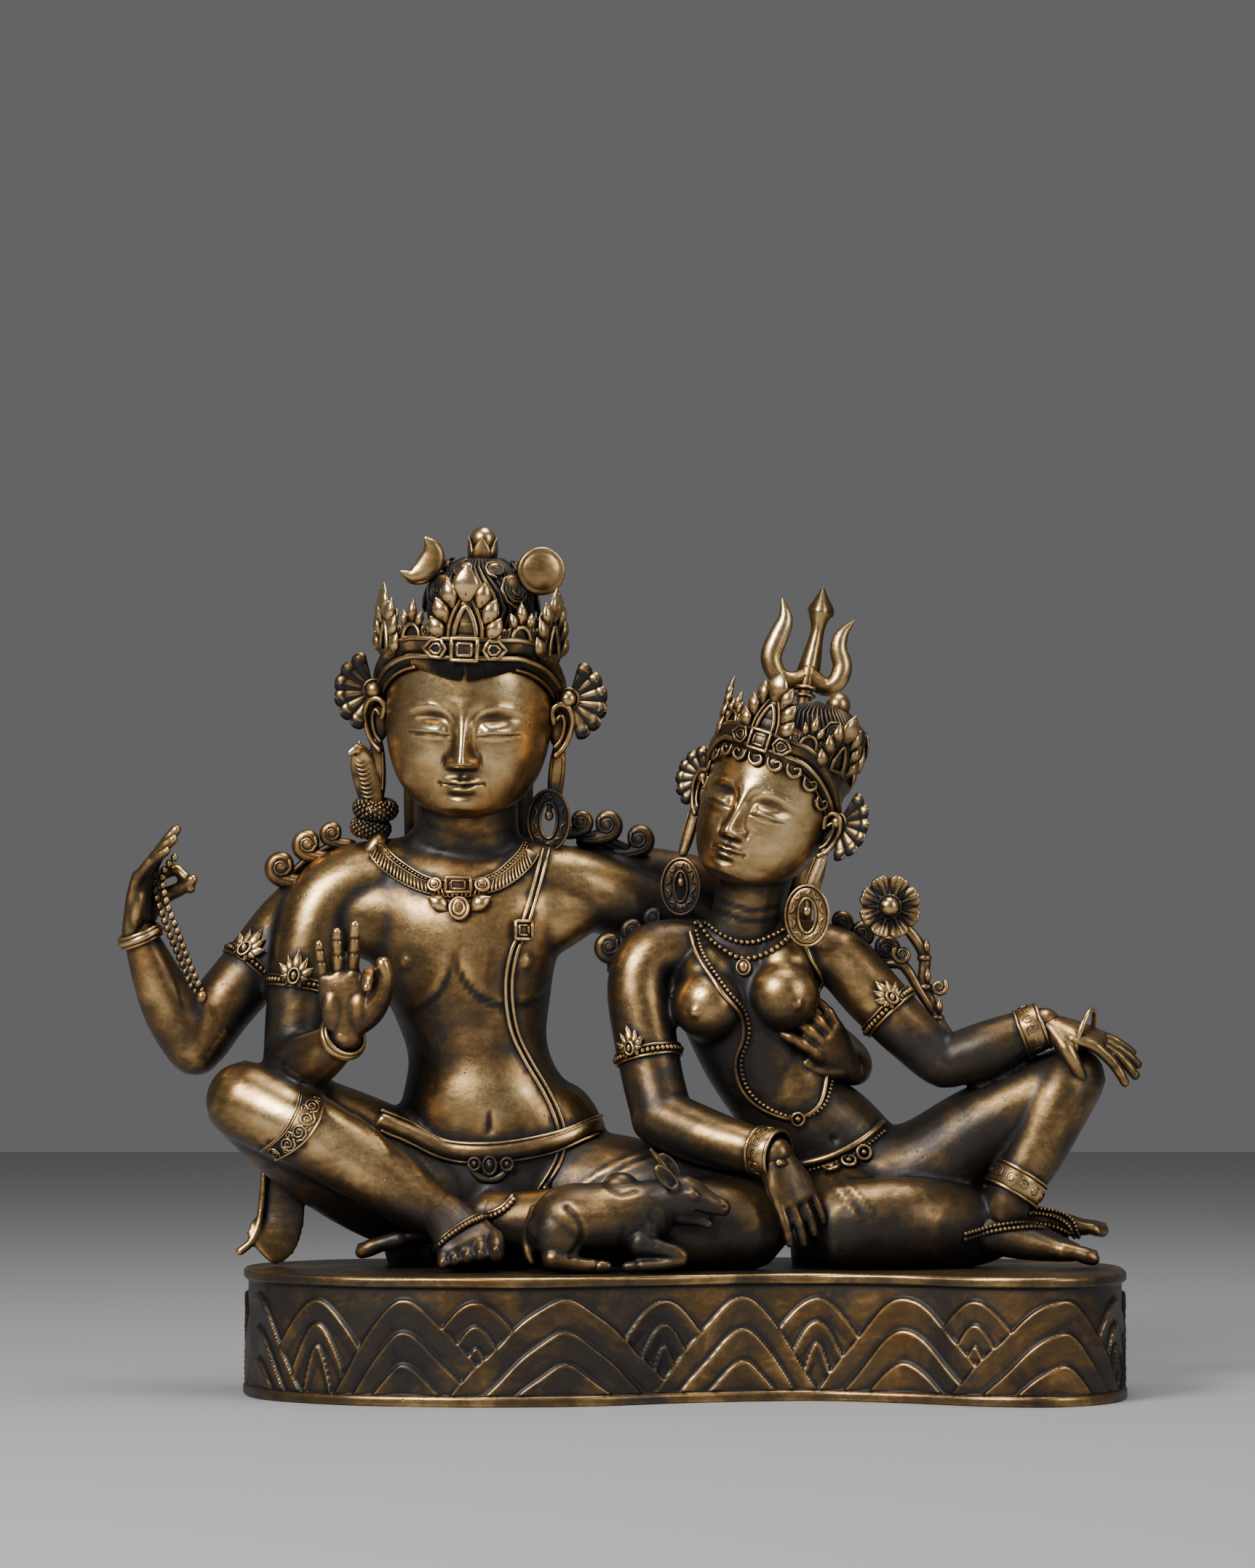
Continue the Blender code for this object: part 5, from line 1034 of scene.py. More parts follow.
def collar(clay, skin):
    """The broad collar: a bead row between two cords, a hem of slanted leaves, and its jewels."""
    inner = [(-15.5, 28.2), (-15.0, 27.6), (-14.1, 26.95), (-13.1, 26.42), (-11.6, 26.2), (-10.1, 26.5),
             (-9.25, 27.07), (-8.5, 27.8), (-8.25, 28.3)]
    outer = [(-16.2, 27.6), (-15.6, 26.9), (-14.6, 26.2), (-13.3, 25.65), (-11.6, 25.4), (-9.85, 25.7),
             (-8.75, 26.25), (-7.9, 27.0), (-7.5, 27.6)]
    top, low = (laid(skin, knots, 0.04) for knots in (inner, outer))
    top, low = evenly(top, 0.2), evenly(low, 0.23)
    count = min(len(top), len(low))
    top = evenly(top, sum((b - a).length for a, b in zip(top, top[1:])) / count)
    low = evenly(low, sum((b - a).length for a, b in zip(low, low[1:])) / count)
    pairs = list(zip(top, low))
    loft(clay, [(a.lerp(b, 0.5), (a - b).length * 0.5, 0.1) for a, b in pairs[::2]],
         face=Vector((0, 1, -0.3)), sides=8, steps=1)
    for share, radius in ((0.0, 0.08), (0.3, 0.06), (1.0, 0.06)):
        loft(clay, [(a.lerp(b, share) + Vector((0, -0.08, 0.02)), radius, radius) for a, b in pairs],
             sides=6, steps=1)
    for a, b in pairs:
        bead(clay, a.lerp(b, 0.15) + Vector((0, -0.1, 0.02)), 0.085)
    for i, (a, b) in enumerate(pairs[:-2]):
        drift = 2 if i < len(pairs) // 2 else 0
        start, end = a.lerp(b, 0.36), pairs[max(0, i + drift - 1)]
        end = end[0].lerp(end[1], 0.97)
        lift = Vector((0, -0.11, 0.03))
        loft(clay, [(start + lift, 0.05, 0.06), (start.lerp(end, 0.5) + lift * 1.5, 0.085, 0.08),
                    (end + lift, 0.07, 0.06)],
             sides=6, steps=2)
    for x, r in ((-12.81, 0.38), (-10.4, 0.4)):
        centre, normal = skin.find(x, 26.0, 0.26)
        ball(clay, centre - normal * 0.14, r + 0.03, 0.15, r + 0.03)
        hoop(clay, centre, normal, r - 0.05, r - 0.05, 0.11, count=20, sides=6)
        hoop(clay, centre, normal, r * 0.45, r * 0.45, 0.06, count=14, sides=6)
    centre, normal = skin.find(-11.62, 25.94, 0.28)
    framed_jewel(clay, centre, normal, 0.64, 0.38, "square")
    centre, normal = skin.find(-11.57, 24.82, 0.26)
    ball(clay, centre - normal * 0.14, 0.52, 0.16, 0.6)
    for grow in (1.0, 0.6):
        hoop(clay, centre, normal, 0.47 * grow, 0.55 * grow, 0.1, count=24, sides=6)
    for way in (-1, 1):
        spot, normal = skin.find(-11.58 + way * 1.08, 25.12, 0.12)
        leaflet(clay, spot, Vector((way * 0.85, 0, 0.5)).normalized(), normal, 1.2, 0.42)
        volute(clay, spot + normal * 0.2 + Vector((way * 0.05, 0, 0)), Vector((way, 0, 0)), normal, 0.27,
               0.07, flip=way > 0)


def knee_hem(clay, skin):
    """The engraved hem below the knee: two lines with scrolls between them."""
    def spot(along, over, lift):
        return skin.find(-22.5 + 0.862 * along + 0.507 * over, 14.9 - 0.507 * along + 0.862 * over, lift)

    def edge(over, share):
        high, low = 2.42 - 0.13 * (over - 0.2) ** 2, 3.72 - 0.16 * (over - 0.6) ** 2
        return high + (low - high) * share
    for share, radius in ((0.0, 0.06), (0.1, 0.045), (1.0, 0.085)):
        line = [spot(edge(over, share), over, 0.03)[0] for over in (0.15 * k for k in range(-12, 13))]
        loft(clay, [(p, radius, radius) for p in line], sides=6, steps=1)
    for i, over in enumerate((-1.55, -0.8, 0.0, 0.8, 1.5)):
        centre, normal = spot(edge(over, 0.55), over, 0.03)
        volute(clay, centre, Vector((0.862, 0, -0.507)), normal, 0.44, 0.065, flip=i % 2 == 0, turns=2.0,
               start=1.2)
        centre, normal = spot(edge(over + 0.4, 0.3 if i % 2 else 0.75), over + 0.4, 0.03)
        volute(clay, centre, Vector((0.507, 0, 0.862)), normal, 0.22, 0.05, flip=i % 2 == 1, turns=1.2)


def shiva_jewels(skin, feet):
    """Rings, armlets, anklets, collar, sacred cord and belt of the god."""
    clay = bmesh.new()
    worn_ring(clay, at(-27.3, 21.6, 0.9), at(-28.1, 23.6, 0.5), 0.92, 1.08, 1.0, "bangle")
    worn_ring(clay, at(-18.3, 17.6, -3.2), at(-17.5, 18.3, -4.4), 0.9, 1.15, 1.1, "bangle")
    armlet(clay, at(-19.4, 22.6, 1.4), at(-19.9, 19.8, 1.1), 0.62, 1.78, -0.6)
    armlet(clay, at(-22.0, 22.0, 3.0), at(-24.0, 19.6, 2.4), 0.1, 1.8, -2.0)
    for knots in ([(-12.9, 7.0), (-12.3, 7.72), (-11.32, 8.45), (-10.6, 8.8), (-9.9, 9.0)],
                  [(-9.85, 9.0), (-9.4, 9.2), (-9.0, 9.5), (-8.75, 9.8)]):
        cord(clay, feet, [(x - 0.05, z + 0.2) for x, z in knots], 0.12)
        beads(clay, feet, knots, 0.17, gap=1.25)
    knee_hem(clay, skin)
    collar(clay, skin)
    # Sacred cord, doubled, with its square buckle
    thread = [(-7.1, 27.9), (-7.5, 26.4), (-8.3, 23.7), (-8.7, 22.8), (-9.0, 21.5), (-9.0, 20.0),
              (-8.7, 18.4), (-8.0, 16.9), (-7.1, 15.4), (-6.5, 14.1), (-6.25, 12.9), (-6.5, 11.7),
              (-7.3, 10.4)]
    for shift in (-0.16, 0.16):
        cord(clay, skin, [(x + shift, z) for x, z in thread], 0.115)
    centre, normal = skin.find(-8.35, 23.75, 0.24)
    framed_jewel(clay, centre, normal, 0.46, 0.46, "square")
    # Belt, its jewels and the fall of cloth
    belt = [(-15.6, 14.3), (-14.25, 13.75), (-12.35, 12.9), (-9.65, 12.75), (-6.9, 13.2), (-5.1, 13.85),
            (-4.4, 14.1)]
    line = laid(skin, [(x, z - 0.5) for x, z in belt], 0.05)
    loft(clay, [(p, 0.52, 0.3) for p in evenly(line, 0.5)], face=Vector((0, 1, 0.25)), sides=14, steps=1)
    for drop, radius in ((0.0, 0.12), (-1.0, 0.09)):
        cord(clay, skin, [(x, z + drop) for x, z in belt], radius, lift=1.6)
    for x, z, wide, tall in ((-10.74, 11.68, 0.3, 0.32), (-9.97, 11.6, 0.34, 0.46), (-9.1, 11.66, 0.3, 0.32)):
        centre, normal = skin.find(x, z, 0.24)
        ball(clay, centre - normal * 0.15, wide, 0.2, tall)
        hoop(clay, centre, normal, wide, tall, 0.11, count=16, sides=6)
        ball(clay, centre, 0.15, 0.12, 0.2)
    centre, normal = skin.find(-9.98, 11.0, 0.1)
    for way in (-1, 1):
        loft(clay, [(centre + Vector((way * x, 0, z)), w, 0.12) for x, z, w in (
            (0.0, -0.12, 0.2), (0.45, -0.02, 0.22), (0.85, 0.3, 0.16), (1.05, 0.65, 0.07))], sides=8, steps=3)
    return clay


def rosary():
    """The string of beads that hangs from the raised hand in a long narrow loop."""
    clay = bmesh.new()
    right = [Vector(at(*p)) for p in curve_through(
        ((-26.3, 27.5, -0.2), (-26.9, 26.6, 0.0), (-26.7, 25.2, -0.3), (-26.1, 23.6, -0.5),
         (-25.5, 22.0, -0.6), (-24.85, 20.6, -0.7)), 8)]
    left = [Vector(at(*p)) for p in curve_through(
        ((-24.85, 20.6, -0.7), (-25.3, 20.7, -0.4), (-26.0, 22.3, 0.0), (-26.7, 24.0, 0.1),
         (-27.3, 25.8, 0.3), (-27.3, 27.0, 0.4)), 8)]
    for line in (right, left):
        for point in evenly(line, 0.4):
            ball(clay, point, 0.2, 0.2, 0.22, fine=10)
        loft(clay, [(p, 0.07, 0.07) for p in evenly(line, 0.4)], sides=6, steps=1)
    ball(clay, at(-24.85, 20.3, -0.7), 0.3, 0.28, 0.36)
    return clay


# The goddess

def parvati_body():
    """The torso, arms and legs of the goddess."""
    clay = bmesh.new()
    limb(clay, (9.0, 6.8, 2.9, 3.5, 2.9), (8.8, 10.2, 2.7, 3.6, 2.9), (7.6, 12.6, 2.4, 3.15, 2.6),
         (6.1, 14.1, 2.1, 2.85, 2.4), (4.8, 15.6, 1.9, 2.7, 2.3), (3.8, 17.5, 1.6, 2.95, 2.35),
         (3.3, 19.5, 1.4, 3.45, 2.4), (3.1, 21.4, 1.3, 3.95, 2.2), (3.1, 22.9, 1.4, 3.5, 1.7),
         (3.15, 23.9, 1.3, 2.05, 1.7), (3.45, 25.3, 1.1, 1.85, 1.8), (3.9, 27.0, 0.9, 1.9, 1.9), sides=32,
         steps=5)
    for x, z in ((1.35, 19.9), (5.15, 20.35)):
        ball(clay, at(x, z, -0.25), 1.9, 1.85, 1.9, fine=28)
        ball(clay, at(x + 0.05, z + 1.1, 0.25), 1.65, 1.5, 2.1, fine=24)
    ball(clay, at(5.4, 15.8, 1.25), 2.3, 1.75, 2.9, fine=28)
    limb(clay, (0.6, 22.9, 1.4, 1.5), (-1.6, 22.5, 1.2, 1.65), (-2.35, 20.9, 0.9, 1.6),
         (-2.0, 18.4, 0.6, 1.65), (-1.6, 16.2, 0.2, 1.6), (-1.2, 14.6, -0.3, 1.6), sides=24, steps=4)
    limb(clay, (-1.2, 14.1, -0.5, 1.55), (1.2, 13.05, -1.9, 1.5), (3.4, 12.45, -3.2, 1.25),
         (4.7, 12.2, -4.1, 0.95), sides=24, steps=4)
    limb(clay, (5.6, 22.9, 1.4, 1.5), (8.0, 22.3, 1.2, 1.6), (9.6, 20.6, 0.9, 1.6), (11.2, 18.9, 0.6, 1.5),
         (12.8, 17.4, 0.3, 1.4), (13.4, 17.0, 0.2, 1.4), sides=24, steps=4)
    limb(clay, (13.5, 16.9, 0.2, 1.35), (15.6, 17.6, -0.1, 1.45), (17.4, 18.4, -0.3, 1.2),
         (18.6, 18.85, -0.4, 0.95), sides=24, steps=4)
    limb(clay, (9.6, 10.6, 2.6, 3.1), (12.3, 11.3, 2.0, 2.75), (15.2, 13.3, 1.2, 2.4),
         (18.2, 15.1, 0.6, 2.05), (20.0, 16.1, 0.3, 1.75), sides=28, steps=5)
    limb(clay, (20.1, 16.1, 0.1, 1.7), (19.3, 14.9, -0.2, 1.8), (18.1, 12.3, -0.4, 1.55),
         (17.0, 10.4, -0.6, 1.3), (16.6, 9.3, -0.7, 1.15), sides=28, steps=5)
    limb(clay, (8.6, 9.4, 1.6, 2.9), (8.0, 8.9, -0.6, 2.5), (8.2, 8.75, -1.8, 2.2), sides=28, steps=5)
    limb(clay, (8.4, 8.5, -2.0, 2.35, 2.1), (11.2, 8.6, -1.6, 2.45, 2.3), (13.6, 8.5, -0.5, 2.3, 2.0),
         (15.6, 8.5, 0.8, 1.9, 1.5), (17.0, 8.7, 1.7, 1.3, 1.15), sides=28, steps=5)
    return clay


def carve_parvati(co, normals):
    """The neck's lines, the breasts' points, the navel and the hems of the goddess."""
    x, z = seen_at(co)
    front = np.clip(-normals[:, 1] * 1.5, 0, 1)
    out = np.zeros(len(x))
    out -= 0.0026 * np.exp(-((((x - 7.75) / 0.18) ** 2 + ((z - 12.95) / 0.24) ** 2)) ** 1.5) * front
    for cx, cz in ((0.55, 19.5), (5.9, 19.9)):
        out += 0.0020 * np.exp(-(((x - cx) / 0.2) ** 2 + ((z - cz) / 0.2) ** 2)) * front
    for knots in (((1.6, 25.4), (3.4, 24.8), (5.2, 25.0)), ((1.6, 24.8), (3.4, 24.2), (5.3, 24.4))):
        out -= 0.0005 * np.exp(-(near_line(x, z, knots) / 0.12) ** 2) * front
    for knots in (((7.4, 11.0), (8.3, 9.9), (9.0, 8.9)), ((7.9, 11.3), (8.9, 10.1), (9.7, 9.2))):
        out += 0.0006 * np.exp(-(near_line(x, z, knots) / 0.1) ** 2)
    return out


def parvati_hands():
    """The hand laid on the knee, the hanging hand and both feet."""
    clay = bmesh.new()
    fingers = [(3, (4, 10, 8), 0.85), (0, (5, 10, 8), 0.9), (-3, (6, 10, 8), 0.85), (-6, (7, 10, 8), 0.75)]
    thumb = [(0.5, 0, 0.3, 0.42), (0.75, -0.1, 0.9, 0.38), (0.95, -0.2, 1.6, 0.32), (0.85, -0.2, 2.3, 0.28)]
    hand(clay, frame_from(Vector((0.42, -0.1, -1)), Vector((-0.35, 0.9, -0.2)), at(4.85, 12.1, -4.3), 1.0),
         -1, fingers, thumb)
    fingers = [(6, (24, 14, 10), 0.9), (1, (16, 14, 8), 0.95), (-4, (10, 12, 8), 0.95),
               (-9, (6, 12, 8), 0.85)]
    thumb = [(0.5, -0.1, 0.4, 0.48), (1.15, -0.5, 1.1, 0.42), (1.25, -1.2, 1.8, 0.36), (1.1, -1.9, 2.3, 0.3)]
    hand(clay, frame_from(Vector((1, -0.05, -0.3)), Vector((-0.3, 0.35, -1)), at(18.8, 18.85, -0.5), 1.12),
         -1, fingers, thumb)
    foot(clay, at(15.9, 8.1, -0.8), at(21.1, 6.95, -1.3), 1.25, UP, 1.5, 1)
    foot(clay, at(17.0, 8.9, 1.8), at(21.7, 8.3, 2.0), 0.95, UP, 1.2, -1)
    return clay


def parvati_crown():
    """The crown with the bun's knob, ears, rosettes and ear rings."""
    part = bmesh.new()
    for side in (-1, 1):
        ear(part, side)
    diadem(part, 4.05, 3.0, "curls")
    ball(part, Vector((1.5, 1.9, 7.6)), 0.8, fine=20)
    hoop(part, Vector((1.45, 1.9, 7.15)), UP, 0.7, 0.7, 0.16, up=DEPTH)
    fan(part, Vector((-4.9, 0.0, 0.9)), -1, 1.9)
    fan(part, Vector((5.0, 0.0, 0.9)), 1, 2.2)
    clay = placed(part, PARVATI_HEAD)
    earring(clay, at(-0.1, 26.0, 0.6), Vector((0.25, 1, 0)), 0.68, 1.12)
    earring(clay, at(6.4, 24.5, -1.3), Vector((0.1, 1, 0)), 0.78, 1.22)
    return clay


def parvati_hair():
    """The bun, the cap of hair, and the locks on the back and the shoulders."""
    part = bmesh.new()
    dressed_hair(part, Vector((1.2, 1.6, 5.2)), (2.9, 2.9, 2.3), (
        (40, 15, 0.9), (-40, 20, 0.8), (80, 20, 0.9), (125, 15, 0.9), (170, 15, 0.9), (-145, 15, 0.9),
        (-90, 25, 0.8)))
    ball(part, Vector((0, 0.6, 3.2)), 4.45, 4.5, 2.3, fine=30)
    clay = placed(part, PARVATI_HEAD)
    back_hair(clay, [(4.6 + i * 1.3, 27.5, 3.0, 24.5, 3.3, 22.5, 3.5) for i in range(-1, 2)])
    locks(clay, (8.1, 24.15, 1.6, 0.5), (9.15, 23.6, 1.8, 0.52), (10.4, 22.75, 2.0, 0.6), out=1)
    locks(clay, (-3.75, 22.9, 1.5, 0.6), (-2.55, 23.75, 1.8, 0.5), (-1.5, 24.4, 1.8, 0.42), out=-1)
    return clay


def parvati_jewels(skin, feet):
    """Cuffs, armlets, anklets, strings of beads, cord and belt of the goddess."""
    clay = bmesh.new()
    worn_ring(clay, at(3.4, 12.45, -3.2), at(4.7, 12.2, -4.1), 0.75, 1.2, 1.2, "cuff")
    worn_ring(clay, at(17.4, 18.4, -0.3), at(18.6, 18.85, -0.4), 0.5, 1.16, 1.16, "cuff")
    hoop(clay, at(20.7, 18.2, -0.9), Vector((0.9, -0.42, -0.3)), 0.95, 1.5, 0.15)
    armlet(clay, at(-2.0, 18.4, 0.6), at(-1.6, 16.2, 0.2), 0.5, 1.72, -1.8, 0.8)
    armlet(clay, at(9.6, 20.6, 0.9), at(11.2, 18.9, 0.6), 0.62, 1.62, 1.4, 0.8)
    worn_ring(clay, at(18.1, 12.3, -0.4), at(17.0, 10.4, -0.6), 0.85, 1.42, 1.42, "cuff")
    for drop in (0.0, 0.25):
        beads(clay, feet, [(14.5, 8.1 - drop), (16.1, 8.5 - drop), (17.9, 8.65 - drop), (19.0, 8.5 - drop),
                           (19.85, 8.2 - drop)], 0.14, gap=1.6)
    for drop in (0.0, 0.22):
        beads(clay, feet, [(18.0 - drop, 9.4 - drop), (19.2 - drop, 9.2 - drop), (20.05 - drop, 8.75 - drop),
                           (20.35 - drop, 8.0)], 0.12, gap=1.6)
    # Two short strings of beads round the neck, with a drop
    for drop, radius in ((0.0, 0.15), (0.75, 0.17)):
        beads(clay, skin, [(0.75, 24.6 - drop * 0.7), (1.7, 23.7 - drop), (3.1, 23.1 - drop * 1.15),
                           (4.6, 23.4 - drop), (5.6, 24.0 - drop * 0.7)], radius)
    centre, normal = skin.find(3.1, 21.8, 0.15)
    ball(clay, centre, 0.28, 0.2, 0.34)
    hoop(clay, centre, normal, 0.34, 0.4, 0.08, count=14, sides=6)
    # The long cord between the breasts, one beaded line and one plain
    loop = [(0.35, 23.6), (0.8, 22.3), (1.9, 20.6), (2.9, 19.4), (3.1, 18.2), (2.7, 16.9), (3.1, 15.4),
            (4.3, 14.4), (5.8, 14.0), (7.0, 14.7), (7.35, 16.2)]
    cord(clay, skin, loop, 0.13)
    beads(clay, skin, [(x + 0.3, z + 0.06) for x, z in loop], 0.13)
    cord(clay, skin, [(6.1, 23.7), (6.5, 22.3), (7.2, 21.2), (7.3, 20.2)], 0.13)
    centre, normal = skin.find(5.9, 14.0, 0.2)
    hoop(clay, centre, normal, 0.32, 0.32, 0.1, count=14, sides=6)
    bead(clay, centre, 0.2)
    # Belt with three ring jewels
    belt = [(4.9, 11.8), (6.2, 11.75), (7.6, 12.1), (9.0, 12.8), (10.2, 13.75)]
    cord(clay, skin, belt, 0.2)
    beads(clay, skin, [(x + 0.12, z - 0.42) for x, z in belt], 0.13)
    for x, z in ((7.7, 11.35), (8.5, 11.75), (9.25, 12.25)):
        centre, normal = skin.find(x, z, 0.22)
        hoop(clay, centre, normal, 0.36, 0.36, 0.11, count=16, sides=6)
        ball(clay, centre, 0.16, 0.12, 0.16)
    return clay


def lotus():
    """The open flower at her shoulder, its jointed stem and a curling leaf stalk."""
    clay = bmesh.new()
    centre = at(10.62, 24.95, 0.6)
    petals, around = 8, 160
    flower = bmesh.new()
    bmesh.ops.create_grid(flower, x_segments=around, y_segments=12, size=0.5)
    for vert in flower.verts:
        turn, out = (vert.co.x + 0.5) * 2 * math.pi, vert.co.y + 0.5
        within = (petals * turn / (2 * math.pi)) % 1.0 - 0.5
        gap = 1 - abs(within) * 2
        reach = 1.66 * (0.1 + 0.9 * out) * (1 - 0.24 * out * (1 - min(1.0, gap * 1.9)) ** 1.5)
        lift = 0.5 * out - 0.34 * out ** 2 - 0.34 * min(1.0, gap * 2.2) ** 0.7 * (0.35 + 0.65 * out)
        lift -= 0.07 * math.exp(-(within / 0.06) ** 2) * (out > 0.2)
        vert.co = Vector((reach * math.cos(turn), lift, reach * math.sin(turn)))
    bmesh.ops.remove_doubles(flower, verts=flower.verts, dist=0.001)
    bmesh.ops.solidify(flower, geom=flower.faces[:], thickness=0.2)
    merge(clay, flower, Matrix.Translation(centre) @ Matrix.Rotation(math.radians(12), 4, "Z"))
    ball(clay, centre - DEPTH * 0.5, 0.52, 0.42, 0.52, fine=22)
    hoop(clay, centre - DEPTH * 0.34, DEPTH, 0.58, 0.58, 0.1)
    ball(clay, centre + DEPTH * 0.5, 0.8, 0.5, 0.8, fine=18)
    limb(clay, (11.0, 24.3, 1.4, 0.26), (11.8, 23.55, 1.4, 0.3), (12.45, 22.4, 1.6, 0.32),
         (12.4, 21.1, 1.6, 0.3), (12.75, 20.2, 1.6, 0.26), (13.1, 19.2, 1.4, 0.3), (14.0, 17.9, 0.9, 0.26),
         sides=12, steps=4)
    for x, z, y in ((12.45, 22.3, 1.6), (12.5, 20.8, 1.6), (13.1, 19.2, 1.4)):
        ball(clay, at(x, z, y), 0.4, 0.4, 0.28, fine=12)
        leaflet(clay, at(x + 0.1, z + 0.6, y - 0.15), UP, -DEPTH, 0.9, 0.2)
    limb(clay, (10.6, 22.0, 1.6, 0.26), (11.4, 21.9, 1.5, 0.3), (12.2, 20.6, 1.5, 0.26),
         (12.9, 19.5, 1.4, 0.24), sides=10)
    volute(clay, at(11.3, 22.5, 1.3), Vector((1, 0, 0)), -DEPTH, 0.5, 0.18, flip=True)
    volute(clay, at(13.2, 20.8, 1.3), Vector((-1, 0, 0)), -DEPTH, 0.42, 0.16)
    return clay


# The bull, the trident and the plinth

def bull():
    """The lying calf: humped body, folded legs, cupped ears, short horns and tail."""
    clay = bmesh.new()
    limb(clay, (-6.9, 8.2, -5.2, 1.2, 1.4), (-6.1, 8.8, -5.2, 1.75, 1.75), (-4.6, 8.9, -5.2, 1.8, 1.8),
         (-2.9, 9.0, -5.2, 1.8, 1.7), (-1.8, 9.2, -5.2, 1.6, 1.4), sides=32, steps=5)
    ball(clay, at(-3.25, 10.6, -5.2), 0.9, 0.75, 0.68, fine=24)
    limb(clay, (-2.4, 9.3, -5.2, 1.5, 1.3), (-1.0, 9.75, -5.35, 1.2, 1.05), (0.0, 10.0, -5.5, 1.1, 0.95),
         sides=28, steps=5)
    limb(clay, (-0.5, 9.95, -5.5, 1.2, 0.95), (0.3, 9.9, -5.6, 1.1, 0.9), (1.0, 9.72, -5.65, 0.8, 0.7),
         (1.6, 9.55, -5.65, 0.56, 0.56), (1.95, 9.45, -5.65, 0.5, 0.5), sides=24, steps=5)
    ball(clay, at(0.05, 10.5, -5.6), 0.75, 0.7, 0.6, fine=24)
    ball(clay, at(1.95, 9.62, -5.65), 0.36, 0.5, 0.32, fine=18)
    limb(clay, (-0.1, 9.1, -5.6, 0.6), (0.7, 8.85, -5.6, 0.36), (1.3, 8.6, -5.6, 0.26), sides=16, steps=4)
    for way in (-1, 1):
        y = -5.2 + way * 1.25
        ball(clay, at(-6.35, 8.0, -5.2 + way * 1.0), 1.2, 0.75, 1.55, fine=26)
        ball(clay, at(-2.2, 8.3, -5.2 + way * 0.8), 1.0, 0.7, 1.3, fine=24)
        limb(clay, (-2.3, 7.6, y, 0.7, 0.5), (-1.2, 7.35, y, 0.45), (-0.4, 7.15, y, 0.4),
             (-0.1, 6.95, y, 0.38), sides=16, steps=4)
        limb(clay, (-0.15, 6.8, y, 0.4), (-1.0, 6.55, y, 0.34), (-2.2, 6.45, y, 0.34), (-2.9, 6.4, y, 0.3),
             sides=16, steps=4)
        limb(clay, (-6.7, 6.8, y, 0.6), (-5.4, 6.5, y, 0.42), (-4.5, 6.45, y, 0.38), (-3.95, 6.42, y, 0.32),
             sides=16, steps=4)
        ear_way = Vector((-0.665, way * 0.3, 0.747)).normalized()
        centre = at(-0.9, 11.0, -5.5 + way * 0.85) if way < 0 else at(-0.75, 11.55, -5.5 + way * 0.6)
        face = Vector((0.1, -1, 0.1))
        ball(clay, centre, 0.3, 0.12, 0.72, turn=frame_from(ear_way, face, Vector()), fine=18)
        hoop(clay, centre + face * 0.1, face, 0.33, 0.74, 0.11, up=ear_way)
        limb(clay, (-0.7, 11.1, -5.5 + way * 0.35, 0.26), (-1.2, 11.8, -5.45 + way * 0.4, 0.2),
             (-1.7, 12.45, -5.4 + way * 0.45, 0.1), sides=10, steps=3)
        eye = at(0.5, 10.12, -5.6 + way * 0.84)
        ball(clay, eye, 0.24, 0.16, 0.15, fine=12)
        for rise in (0.19, -0.17):
            loft(clay, [(eye + Vector((-0.36, 0, 0.05)), 0.05, 0.06),
                        (eye + Vector((0, way * 0.08, rise)), 0.06, 0.08),
                        (eye + Vector((0.36, 0, -0.08)), 0.05, 0.06)], sides=6, steps=4)
    limb(clay, (-7.7, 9.4, -5.2, 0.26), (-8.1, 8.2, -5.2, 0.22), (-8.0, 7.2, -5.4, 0.28),
         (-7.8, 6.7, -5.5, 0.2), sides=10)
    return clay


def carve_bull(co, normals):
    """The folds, mouth, nostril and hoofs of the calf."""
    x, z = seen_at(co)
    out = np.zeros(len(x))
    for knots, deep, soft in ((((-1.75, 9.0), (-1.6, 8.3), (-1.5, 7.6)), 0.0005, 0.2),
                              (((-5.97, 9.45), (-5.4, 8.7), (-5.3, 7.8), (-5.8, 6.95)), 0.0009, 0.17),
                              (((-4.1, 10.67), (-3.24, 10.12), (-2.45, 10.3)), 0.0007, 0.15),
                              (((-3.1, 8.3), (-3.25, 7.6), (-3.2, 7.0)), 0.0006, 0.2),
                              (((0.7, 9.2), (1.3, 9.0), (1.95, 8.86)), 0.0014, 0.1),
                              (((-2.3, 6.1), (-2.4, 6.8)), 0.0007, 0.09),
                              (((-4.6, 6.1), (-4.4, 6.8)), 0.0007, 0.09)):
        out -= deep * np.exp(-(near_line(x, z, knots) / soft) ** 2)
    out -= 0.0009 * np.exp(-(((x - 2.12) / 0.12) ** 2 + ((z - 9.5) / 0.09) ** 2))
    return out


